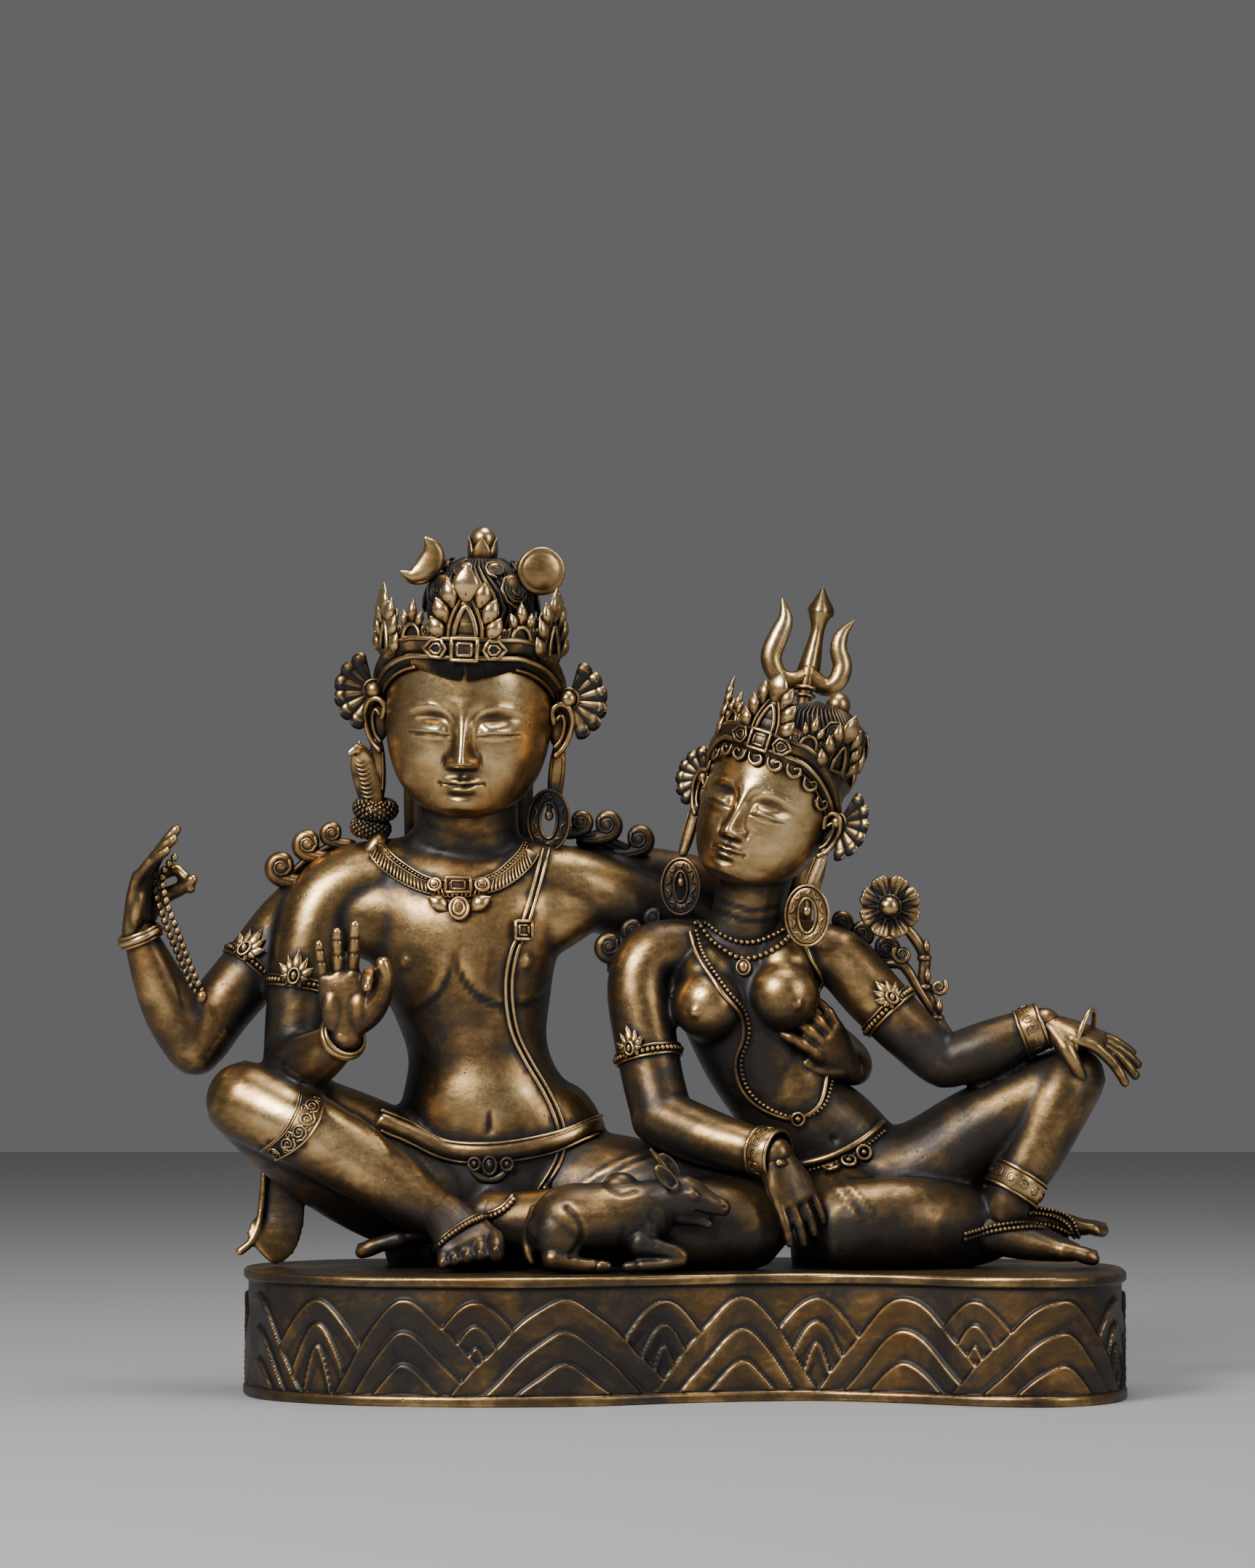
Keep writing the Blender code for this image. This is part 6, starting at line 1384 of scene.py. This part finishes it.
def trident():
    """The three-pronged head, its collar and the shaft down to the hand."""
    clay = bmesh.new()

    def spot(x, z, y=5.4):
        return at(x, z, y)
    loft(clay, [(spot(x, z), w, d) for x, z, w, d in (
        (6.45, 37.0, 0.62, 0.4), (6.6, 37.6, 0.56, 0.36), (6.95, 39.2, 0.36, 0.3), (7.06, 39.95, 0.55, 0.32),
        (7.12, 40.2, 0.7, 0.34), (7.16, 40.45, 0.66, 0.32), (7.2, 40.95, 0.36, 0.22),
        (7.25, 41.5, 0.06, 0.06))],
         sides=4, steps=5)
    for knots in (((6.5, 37.0, 0.5, 0.4), (5.7, 36.65, 0.5, 0.42), (4.9, 36.95, 0.52, 0.42),
                   (4.55, 37.9, 0.56, 0.4), (4.95, 39.0, 0.54, 0.34), (5.3, 39.9, 0.4, 0.26),
                   (5.15, 40.9, 0.06, 0.06)),
                  ((6.5, 37.0, 0.5, 0.4), (7.3, 36.35, 0.5, 0.42), (7.95, 36.6, 0.52, 0.42),
                   (8.25, 37.4, 0.52, 0.38), (8.05, 38.3, 0.46, 0.32), (8.25, 39.1, 0.34, 0.24),
                   (8.85, 39.75, 0.06, 0.06))):
        loft(clay, [(spot(*p[:2]), p[2], p[3]) for p in knots], sides=8, steps=5)
    loft(clay, [(spot(6.5, 37.2), 0.42, 0.42), (spot(6.0, 34.0), 0.36, 0.36), (spot(5.4, 29.2), 0.36, 0.36)],
         sides=16)
    for z, r in ((36.3, 0.55), (35.9, 0.48)):
        hoop(clay, spot(6.35 + (z - 36.3) * 0.15, z), Vector((0.15, 0, 1)), r, r, 0.12, up=DEPTH)
    return clay


# The plinth's wall and its relief repeat the solid's outline and mountains, in metres
PLINTH = {"length": 0.448, "depth": 0.192, "height": 0.064, "rim": 0.0060, "rim_proud": 0.0024,
          "foot": 0.0056, "foot_proud": 0.0026, "relief": 0.0020}
OUTLINE = (
    (-0.5, 0.03), (-0.474, -0.235), (-0.39, -0.406), (-0.29, -0.479), (-0.2, -0.495), (-0.1, -0.458),
    (0.01, -0.35), (0.138, -0.286), (0.245, -0.36), (0.333, -0.469), (0.413, -0.49), (0.478, -0.339),
    (0.5, -0.052), (0.484, 0.208), (0.4, 0.396), (0.222, 0.479), (0.0, 0.5), (-0.222, 0.479),
    (-0.4, 0.396), (-0.484, 0.219),
)
PEAKS = (
    (-0.215, 0.046, 0.036), (-0.141, 0.036, 0.052), (-0.060, 0.058, 0.060), (0.0305, 0.050, 0.037),
    (0.110, 0.046, 0.053), (0.1865, 0.058, 0.046),
)
END_PEAKS = ((-0.086, 0.045, 0.040), (0.084, 0.042, 0.045))
LAYERS = ((0.90, 1.0), (0.60, 0.70), (0.30, 0.42))
MOUNDS = ((0.88, 0.024), (0.66, 0.0155), (0.46, 0.0085))


def wall_line():
    """The plinth's outline as points, their lengths along it and the ways out of the wall."""
    knots = [(x * PLINTH["length"], y * PLINTH["depth"]) for x, y in OUTLINE]
    fine = np.array(curve_through(knots[-1:] + knots + knots[:2], 60)[60:-60])
    step = np.hypot(*np.diff(fine, axis=0).T)
    reach = np.concatenate([[0], np.cumsum(step)])
    ahead = np.roll(fine[:-1], -3, axis=0) - np.roll(fine[:-1], 3, axis=0)
    ahead = np.vstack([ahead, ahead[:1]])
    out = np.stack([ahead[:, 1], -ahead[:, 0]], 1) / np.hypot(*ahead.T)[:, None]
    return fine, reach, out


def slope(share, soft=0.2):
    """The height of a mountain's line at a share of its reach from the peak, 1 at the peak."""
    return 1 - (np.hypot(share, soft) - soft) / (math.hypot(1, soft) - soft)


def mountains(length, z, fine, reach):
    """How proud the relief stands at a length along the wall and a height."""
    def under(x):
        near = np.where(fine[:, 1] < 0)[0]
        return reach[near[np.argmin(np.abs(fine[near, 0] - x))]]
    peaks = [(under(x), left, right) for x, left, right in PEAKS]
    peaks = ([(peaks[0][0] + END_PEAKS[0][0], *END_PEAKS[0][1:])] + peaks
             + [(peaks[-1][0] + END_PEAKS[1][0], *END_PEAKS[1][1:])])
    low, high = PLINTH["foot"] * 0.8, PLINTH["height"] - PLINTH["rim"]
    tall = high - low
    whole = reach[-1]
    out = np.zeros(len(z))

    def tile(peak, left, right, base, top, deep, ends, wobble, soft):
        """Lays one mountain over what is behind it. Its face sinks from a raised edge."""
        along = (length - peak + whole / 2) % whole - whole / 2
        share = np.where(along < 0, -along / left, along / right)
        line = base + (top - base) * slope(share, soft) + wobble * np.sin(along * 260 + peak * 90) * 0.0005
        below = line - z
        inside = 1 / (1 + np.exp(np.clip(-below / 0.00032, -60, 60)))
        sink = PLINTH["relief"] * np.clip(1 - below / deep, 0.12, 1)
        sink = sink + 0.0004 * np.exp(-((below - 0.0006) / 0.0007) ** 2)
        inside = inside * (share < ends) * (z < top + 0.002)
        out[:] = out * (1 - inside) + sink * inside
    for (one, _, right), (two, left, _) in zip(peaks, peaks[1:]):
        middle = (one + right + two - left) / 2
        for height, width in MOUNDS:
            tile(middle, width, width, low + tall * (height - 0.42), low + tall * height, 0.012, 1.0, 0.4,
                 0.7)
    for peak, left, right in peaks:
        for height, width in LAYERS:
            tile(peak, left * width, right * width, low, low + tall * height, 0.016, 1.0, 1.0, 0.26)
    return out


def plinth():
    """The wall, rim, foot and deck of the plinth, with its carved mountains."""
    part = bmesh.new()
    across, rows = 820, 76
    bmesh.ops.create_grid(part, x_segments=across, y_segments=rows, size=0.5)
    fine, reach, out = wall_line()
    co = np.array([v.co[:] for v in part.verts])
    share = co[:, 0] + 0.5
    # Finer at the front, where the relief is
    front = np.cumsum(np.where((fine[:, 1] < 0.02), 1.0, 0.3))
    front = (front - front[0]) / (front[-1] - front[0])
    length = np.interp(share, front, reach)
    row = (co[:, 1] + 0.5) * rows
    height, rim, foot_high = PLINTH["height"], PLINTH["rim"], PLINTH["foot"]
    foot_out, rim_out = PLINTH["foot_proud"], PLINTH["rim_proud"]
    # The wall's section from its foot to its deck: the grid's row, its height, how proud it stands
    levels, z_of, out_of = np.array((
        (0, 0, 0), (0, 0, 0), (1, 0, foot_out), (5, foot_high * 0.72, foot_out),
        (6, foot_high * 0.92, foot_out * 0.7), (8, foot_high, 0), (66, height - rim, 0),
        (68, height - rim + 0.0004, rim_out * 0.35), (69, height - rim + 0.0012, rim_out * 0.9),
        (70, height - rim + 0.0018, rim_out), (74, height - 0.0012, rim_out),
        (75, height - 0.0003, rim_out * 0.7), (76, height, rim_out * 0.2)), float).T
    z = np.interp(row, levels, z_of)
    proud = np.interp(row, levels, out_of)
    wall = (z > foot_high) & (z < height - rim)
    proud = proud + np.where(wall, mountains(length, z, fine, reach), 0)
    round_it = 2 * math.pi * length / reach[-1]
    ripple = 0.0002 * np.sin(round_it * 21) + 0.00018 * np.sin(round_it * 11 + 1.3)
    proud = proud + np.where(row > 1.5, ripple, 0)
    z = z + np.where((row > 68) & (row < 74), 0.0003 * np.sin(round_it * 15 + 0.7), 0)
    px, py = (np.interp(length, reach, fine[:, k]) for k in range(2))
    nx, ny = (np.interp(length, reach, out[:, k]) for k in range(2))
    for vert, place in zip(part.verts, zip((px + nx * proud) * 100, (py + ny * proud) * 100, z * 100)):
        vert.co = place
    bmesh.ops.remove_doubles(part, verts=part.verts, dist=0.002)
    for level in (0.0, height * 100):
        edges = [e for e in part.edges if e.is_boundary and abs(e.verts[0].co.z - level) < 0.05]
        made = bmesh.ops.edgeloop_fill(part, edges=edges)["faces"]
        if level:
            for amount in (0.35, 0.5, 2.0):
                bmesh.ops.inset_region(part, faces=made, thickness=amount, depth=0.0)
    return part


# Wear and painted light: how exposed and how raised each spot is, with painted shade where little sky is seen

SKY_REACH, CLOSE_REACH = 0.08, 0.007
SIGHT_LINES = 11
GOLDEN_ANGLE = 2.399963
MOST_TRIED = 15000


def shelter_of(pieces):
    """Two rough measures from 0 to 1 for each vertex, per piece: how much of the sky it sees, which is turned
    into painted shade under the arms, between the legs and behind, and how open it is to what stands close
    by, which leaves patina in the hollows."""
    points, faces = [], []
    for piece in pieces:
        piece.data.calc_loop_triangles()
        corners = np.zeros(len(piece.data.loop_triangles) * 3, int)
        piece.data.loop_triangles.foreach_get("vertices", corners)
        faces += (corners.reshape(-1, 3) + len(points)).tolist()
        points += points_of(piece).tolist()
    tree = BVHTree.FromPolygons(points, faces)
    ways = []
    for i in range(SIGHT_LINES):
        z = 1 - (i + 0.5) / SIGHT_LINES * 0.92
        r = math.sqrt(1 - z * z)
        ways.append((r * math.cos(i * GOLDEN_ANGLE), r * math.sin(i * GOLDEN_ANGLE), z))
    found = []
    for piece in pieces:
        co, normals = points_of(piece), normals_of(piece)
        known = np.zeros(len(co), bool)
        known[::max(1, len(co) // MOST_TRIED)] = True
        value = np.zeros((len(co), 2))
        for i in np.flatnonzero(known):
            n = Vector(normals[i])
            side = n.orthogonal().normalized()
            other = n.cross(side)
            start = Vector(co[i]) + n * 0.0005
            far = near = 0.0
            for x, y, z in ways:
                reach = tree.ray_cast(start, side * x + other * y + n * z, SKY_REACH)[3]
                far += 1.0 if reach is None else (reach / SKY_REACH) ** 0.6
                near += 1.0 if reach is None else min(1.0, reach / CLOSE_REACH)
            value[i] = far / len(ways), near / len(ways)
        edges = edges_of(piece)
        for _ in range(40):
            if known.all():
                break
            weight = spread(known.astype(float), edges)
            fresh = ~known & (weight > 0)
            for k in range(2):
                value[fresh, k] = spread(value[:, k] * known, edges)[fresh] / weight[fresh]
            known |= fresh
        value[~known] = (0.6, 0.8)
        count = np.maximum(spread(np.ones(len(co)), edges), 1)
        for _ in range(2):
            value = 0.5 * value + 0.5 * np.stack([spread(value[:, k], edges) / count for k in range(2)], 1)
        found.append(value)
    return found


def edges_of(piece):
    """A piece's edges as pairs of vertex numbers."""
    edges = np.zeros(len(piece.data.edges) * 2, int)
    piece.data.edges.foreach_get("vertices", edges)
    return edges.reshape(-1, 2)


def spread(value, edges):
    """The sum of each vertex's neighbours' values."""
    count = len(value)
    return (np.bincount(edges[:, 0], value[edges[:, 1]], count) + np.bincount(edges[:, 1],
                                                                              value[edges[:, 0]], count))


def raised(piece, rounds):
    """How far each vertex stands above its surroundings, in metres, within so many rounds."""
    edges = edges_of(piece)
    co, normals = points_of(piece), normals_of(piece)
    count = np.maximum(spread(np.ones(len(co)), edges), 1)
    soft = co.copy()
    found = []
    for k in range(max(rounds)):
        soft = 0.5 * soft + 0.5 * np.stack([spread(soft[:, a], edges) / count for a in range(3)], 1)
        if k + 1 in rounds:
            found.append(((co - soft) * normals).sum(1))
    return found


# How much more a piece is rubbed than the rest, or less where the patina is left dark
RUBBED = {"shiva_head": 0.2, "parvati_head": 0.2, "shiva_hair": -0.16, "parvati_hair": -0.16, "lotus": -0.06,
          "carved_plinth": -0.2, "shiva_jewellery": 0.12, "parvati_jewellery": 0.1, "shiva_crown": 0.08,
          "parvati_crown": 0.06, "trident_head": -0.06, "rosary": -0.02, "shiva_body": -0.1,
          "parvati_body": -0.14, "shiva_hands_and_feet": -0.04, "parvati_hands_and_feet": -0.06,
          "bull_calf": -0.06}


# Where the metal is rubbed brighter, and where painted shade darkens sides and undersides turned from the
# light, by place on the elevation, reach and amount
RUBBED_AND_SHADED_SPOTS = (
    (-9.6, 11.2, 4.2, 1.1, -0.26), (-9.8, 12.4, 6.0, 0.9, -0.36), (-14.2, 17.0, 1.7, 4.0, -0.28),
    (-6.3, 18.0, 1.2, 4.5, -0.12), (-20.2, 18.6, 2.0, 2.6, -0.3), (-23.0, 20.6, 1.6, 2.0, -0.2),
    (-15.5, 8.3, 5.5, 1.7, -0.4), (-0.8, 25.2, 3.4, 2.2, -0.34), (-19.5, 13.6, 4.0, 2.0, 0.2),
    (-14.0, 11.4, 2.6, 1.0, 0.12), (-11.5, 24.4, 5.0, 1.9, 0.14), (-9.0, 15.0, 2.6, 1.6, 0.16),
    (-2.8, 11.3, 3.5, 1.3, -0.16), (-11.0, 28.2, 3.0, 1.0, -0.08), (3.4, 17.9, 2.2, 2.4, -0.2),
    (7.4, 13.2, 2.6, 1.7, -0.26), (14.4, 13.2, 3.0, 1.8, -0.34), (17.9, 13.0, 1.2, 2.6, 0.14),
    (17.6, 8.2, 4.0, 1.3, -0.26), (9.2, 8.2, 3.0, 1.2, -0.26), (13.0, 17.6, 3.4, 1.2, -0.16),
    (-1.5, 14.6, 1.8, 2.4, -0.12), (0.5, 8.3, 5.0, 1.3, -0.28), (-24.5, 22.0, 1.4, 2.0, -0.06),
)


DECK_WEAR = 0.42


def age_and_shade(pieces):
    """Writes each piece's wear and painted light to an attribute, from 0 for deep patina and painted shade to
    1 for rubbed metal and painted light; higher spots are made a little lighter.
    """
    for piece, open_to in zip(pieces, shelter_of(pieces)):
        fine, broad = raised(piece, (3, 24))
        co, out = points_of(piece), normals_of(piece)
        ridge = np.tanh(fine / 0.00012) * 0.5 + np.tanh(broad / 0.0009) * 0.5
        # Spots that see little sky, under the arms, between the legs and behind, are made darker: painted
        # shade. Spots shut in close by keep their dark patina.
        sky_light, near = np.clip((open_to[:, 0] - 0.3) / 0.6, 0, 1) ** 1.3, open_to[:, 1]
        height = np.clip((co[:, 2] - 0.06) / 0.3, 0, 1)
        # Sides that face the front and up are made lighter: partly rubbed wear on the proudest surfaces,
        # partly painted light where the lamps fall.
        proud = np.clip(-out[:, 1] * 0.75 + out[:, 2] * 0.45, -0.2, 0.85)
        wear_and_painted_light = (-0.13 + 0.3 * sky_light + 0.12 * near + 0.28 * ridge + 0.06 * height + 0.42 * proud
                + RUBBED.get(piece.name, 0.0))
        if piece.name != "carved_plinth":
            x, z = seen_at(co)
            # Listed spots: rubbed wear where they brighten, painted shade where they darken.
            for cx, cz, wide, tall, amount in RUBBED_AND_SHADED_SPOTS:
                wear_and_painted_light += amount * np.exp(-((x - cx) / wide) ** 2 - ((z - cz) / tall) ** 2)
        hollow = np.clip(-fine / 0.0002, 0, 1) * 0.4 + np.clip(0.86 - near, 0, 1) * 1.1
        if piece.name == "carved_plinth":
            deck = out[:, 2] > 0.9
            wear_and_painted_light, hollow = np.where(deck, DECK_WEAR, wear_and_painted_light), np.where(deck, 0.0, hollow)
        for name, values in (("wear_and_painted_light", wear_and_painted_light), ("hollow", hollow)):
            attribute = piece.data.attributes.new(name, "FLOAT", "POINT")
            attribute.data.foreach_set("value", np.clip(values, -0.4, 1.2).astype(np.float32))


# The metal

def bronze_worn_and_shaded():
    """Cast bronze: near-black brown patina in the hollows, rubbed to warm gold where it is raised, with
    painted shade where little sky is seen and painted light on sides facing the front and up.
    """
    material = bpy.data.materials.new("Worn_bronze")
    material.use_nodes = True
    tree = material.node_tree
    nodes, links = tree.nodes, tree.links
    shader = nodes["Principled BSDF"]

    def node(kind, **values):
        made = nodes.new(kind)
        for key, value in values.items():
            if hasattr(made, key):
                setattr(made, key, value)
            else:
                made.inputs[key.replace("_", " ")].default_value = value
        return made

    def noise(scale, detail, rough=0.6, stretch=None, warp=0.0):
        made = node("ShaderNodeTexNoise", Scale=scale, Detail=detail, Roughness=rough, Distortion=warp)
        if stretch:
            mapping = node("ShaderNodeMapping", Scale=stretch, Rotation=(0.3, 0.5, 0.2))
            links.new(coords.outputs["Object"], mapping.inputs["Vector"])
            links.new(mapping.outputs["Vector"], made.inputs["Vector"])
        else:
            links.new(coords.outputs["Object"], made.inputs["Vector"])
        return made.outputs["Fac"]

    def maths(operation, a, b, clamp=False):
        made = node("ShaderNodeMath", operation=operation, use_clamp=clamp)
        for socket, value in zip(made.inputs, (a, b)):
            if isinstance(value, (int, float)):
                socket.default_value = value
            else:
                links.new(value, socket)
        return made.outputs[0]

    def ramp(value, *stops):
        made = node("ShaderNodeValToRGB")
        links.new(value, made.inputs["Fac"])
        band = made.color_ramp
        while len(band.elements) < len(stops):
            band.elements.new(0.5)
        for element, (place, colour) in zip(band.elements, stops):
            element.position = place
            element.color = (*colour, 1.0) if len(colour) == 3 else colour
        return made.outputs["Color"]

    coords = node("ShaderNodeTexCoord")
    wear_and_painted_light = node("ShaderNodeAttribute", attribute_name="wear_and_painted_light").outputs["Fac"]
    hollow = node("ShaderNodeAttribute", attribute_name="hollow").outputs["Fac"]
    patches = noise(26, 5, 0.62, warp=0.6)
    clouds = noise(9, 3)
    brushed = noise(130, 6, 0.7, stretch=(1.0, 1.0, 2.0), warp=0.3)
    grain = noise(520, 4, 0.7)
    # The colour follows the wear attribute, which holds painted shade and painted light as well as wear.
    bright = maths("ADD", wear_and_painted_light, maths("MULTIPLY", maths("SUBTRACT", patches, 0.5), 1.15))
    bright = maths("ADD", bright, maths("MULTIPLY", maths("SUBTRACT", brushed, 0.5), 0.34))
    bright = maths("ADD", bright, maths("MULTIPLY", maths("SUBTRACT", clouds, 0.5), 0.7))
    bright = maths("SUBTRACT", bright, maths("MULTIPLY", hollow, 0.6), clamp=True)
    colour = ramp(bright, (0.10, (0.016, 0.013, 0.012)), (0.34, (0.050, 0.038, 0.028)),
                  (0.52, (0.160, 0.098, 0.044)), (0.68, (0.390, 0.240, 0.100)),
                  (0.86, (0.660, 0.435, 0.190)), (1.0, (0.840, 0.600, 0.310)))
    # Orange-brown and dull green tints where the patina is thin
    tint = node("ShaderNodeMix", data_type="RGBA", blend_type="MULTIPLY")
    tints = ramp(noise(14, 4, 0.6, warp=0.4), (0.3, (0.9, 0.92, 0.9)), (0.55, (1.0, 1.0, 1.0)),
                 (0.72, (1.0, 0.8, 0.62)))
    tint.inputs["Factor"].default_value = 1.0
    links.new(colour, tint.inputs["A"])
    links.new(tints, tint.inputs["B"])
    # Dark pits and casting specks
    pits = node("ShaderNodeTexVoronoi", Scale=340.0, Randomness=1.0)
    links.new(coords.outputs["Object"], pits.inputs["Vector"])
    spots = maths("MULTIPLY", ramp(pits.outputs["Distance"], (0.10, (1, 1, 1)), (0.2, (0, 0, 0))),
                  ramp(noise(60, 3), (0.58, (0, 0, 0)), (0.66, (1, 1, 1))))
    dark = node("ShaderNodeMix", data_type="RGBA", blend_type="MIX")
    links.new(maths("MULTIPLY", spots, 0.8), dark.inputs["Factor"])
    links.new(tint.outputs["Result"], dark.inputs["A"])
    dark.inputs["B"].default_value = (0.02, 0.014, 0.01, 1.0)
    links.new(dark.outputs["Result"], shader.inputs["Base Color"])
    metal = ramp(bright, (0.2, (0.55, 0.55, 0.55)), (0.6, (1, 1, 1)))
    links.new(metal, shader.inputs["Metallic"])
    gloss = ramp(bright, (0.15, (0.46, 0.46, 0.46)), (0.6, (0.36, 0.36, 0.36)), (1.0, (0.25, 0.25, 0.25)))
    rough = maths("ADD", gloss, maths("MULTIPLY", maths("SUBTRACT", grain, 0.5), 0.25))
    rough = maths("ADD", rough, maths("MULTIPLY", maths("SUBTRACT", brushed, 0.5), 0.2), clamp=True)
    links.new(rough, shader.inputs["Roughness"])
    relief = maths("ADD", maths("MULTIPLY", grain, 0.35), maths("MULTIPLY", noise(120, 3), 0.5))
    relief = maths("SUBTRACT", relief, maths("MULTIPLY", spots, 0.8))
    relief = maths("ADD", relief, maths("MULTIPLY", brushed, 0.2))
    bumped = node("ShaderNodeBump", Strength=0.35, Distance=0.0005)
    links.new(relief, bumped.inputs["Height"])
    links.new(bumped.outputs["Normal"], shader.inputs["Normal"])
    shader.inputs["Specular IOR Level"].default_value = 0.6
    return material


def pale_floor():
    """A plain pale studio floor."""
    material = bpy.data.materials.new("Pale_floor")
    material.use_nodes = True
    shader = material.node_tree.nodes["Principled BSDF"]
    shader.inputs["Base Color"].default_value = (0.42, 0.42, 0.42, 1.0)
    shader.inputs["Roughness"].default_value = 0.7
    clay = bmesh.new()
    bmesh.ops.create_grid(clay, x_segments=1, y_segments=1, size=4.0)
    mesh = bpy.data.meshes.new("floor")
    clay.to_mesh(mesh)
    clay.free()
    mesh.materials.append(material)
    floor = bpy.data.objects.new("floor", mesh)
    bpy.context.scene.collection.objects.link(floor)


def softbox(name, place, aim, size, power):
    """A rectangular lamp of white light turned to a point."""
    lamp = bpy.data.lights.new(name, "AREA")
    lamp.shape = "RECTANGLE"
    lamp.size, lamp.size_y = size
    lamp.energy = power
    holder = bpy.data.objects.new(name, lamp)
    holder.location = place
    holder.rotation_euler = (Vector(aim) - Vector(place)).to_track_quat("-Z", "Y").to_euler()
    bpy.context.scene.collection.objects.link(holder)


# The camera's focal length and the picture's longer side, both in the photograph's pixels
FOCAL, LONG_SIDE = 6650, 2156


def studio():
    """Soft light from the upper left and right, a dim grey room and the photograph's camera."""
    pale_floor()
    world = bpy.data.worlds.new("room")
    bpy.context.scene.world = world
    world.use_nodes = True
    world.node_tree.nodes["Background"].inputs["Color"].default_value = (0.36, 0.36, 0.37, 1.0)
    world.node_tree.nodes["Background"].inputs["Strength"].default_value = 0.36
    softbox("key", (-1.0, -1.5, 1.35), (0, 0, 0.2), (0.8, 0.8), 46)
    softbox("fill", (1.5, -1.1, 0.9), (0, 0, 0.2), (0.7, 1.1), 9)
    softbox("top", (0.2, -0.1, 1.8), (0, 0, 0.2), (1.0, 0.7), 16)
    camera = bpy.data.cameras.new("camera")
    camera.sensor_width = 36.0
    camera.lens = camera.sensor_width * FOCAL / LONG_SIDE
    camera.clip_end = 20.0
    holder = bpy.data.objects.new("camera", camera)
    holder.location = (-0.0288, -2.5, 0.20)
    holder.rotation_euler = (math.radians(90 + 2.59), 0, 0)
    bpy.context.scene.collection.objects.link(holder)
    bpy.context.scene.camera = holder


# The grids, in metres, on which castings are made one skin
BODY_GRID, HAND_GRID, CALF_GRID = 0.0023, 0.001, 0.001
HER_BODY_GRID, HER_HAND_GRID = 0.0018, 0.00095


def build():
    """Models the 17 pieces, ages them and paints shade into them together, and hands them to the frame."""
    bronze = bronze_worn_and_shaded()
    body = cast(to_piece("shiva_body", shiva_body(), bronze, "shiva"), BODY_GRID, 4)
    press(body, carve_shiva)
    hands = cast(to_piece("shiva_hands_and_feet", shiva_hands(), bronze), HAND_GRID)
    press(hands, carve_hands)
    face = to_piece("shiva_head", face_and_skull(SHIVA_HEAD), bronze)
    crown_of = to_piece("shiva_crown", shiva_crown(), bronze)
    hair = to_piece("shiva_hair", shiva_hair(), bronze)
    jewels = to_piece("shiva_jewellery", shiva_jewels(Skin(body), Skin(body, hands)), bronze)
    string = to_piece("rosary", rosary(), bronze)
    her = cast(to_piece("parvati_body", parvati_body(), bronze, "parvati"), HER_BODY_GRID, 4)
    press(her, carve_parvati)
    her_hands = cast(to_piece("parvati_hands_and_feet", parvati_hands(), bronze), HER_HAND_GRID)
    her_face = to_piece("parvati_head", face_and_skull(PARVATI_HEAD), bronze)
    her_crown = to_piece("parvati_crown", parvati_crown(), bronze)
    her_hair = to_piece("parvati_hair", parvati_hair(), bronze)
    her_jewels = to_piece("parvati_jewellery", parvati_jewels(Skin(her), Skin(her, her_hands)), bronze)
    flower = to_piece("lotus", lotus(), bronze)
    calf = cast(to_piece("bull_calf", bull(), bronze, "bull"), CALF_GRID)
    press(calf, carve_bull)
    fork = to_piece("trident_head", trident(), bronze, "trident")
    base = to_piece("carved_plinth", plinth(), bronze, "plinth")
    pieces = [body, hands, face, crown_of, hair, jewels, string, her, her_hands, her_face, her_crown,
              her_hair, her_jewels, flower, calf, fork, base]
    age_and_shade(pieces)
    for piece in pieces:
        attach(piece, "root")
        if piece["standing_for"]:
            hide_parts(piece["standing_for"])
    studio()


build()
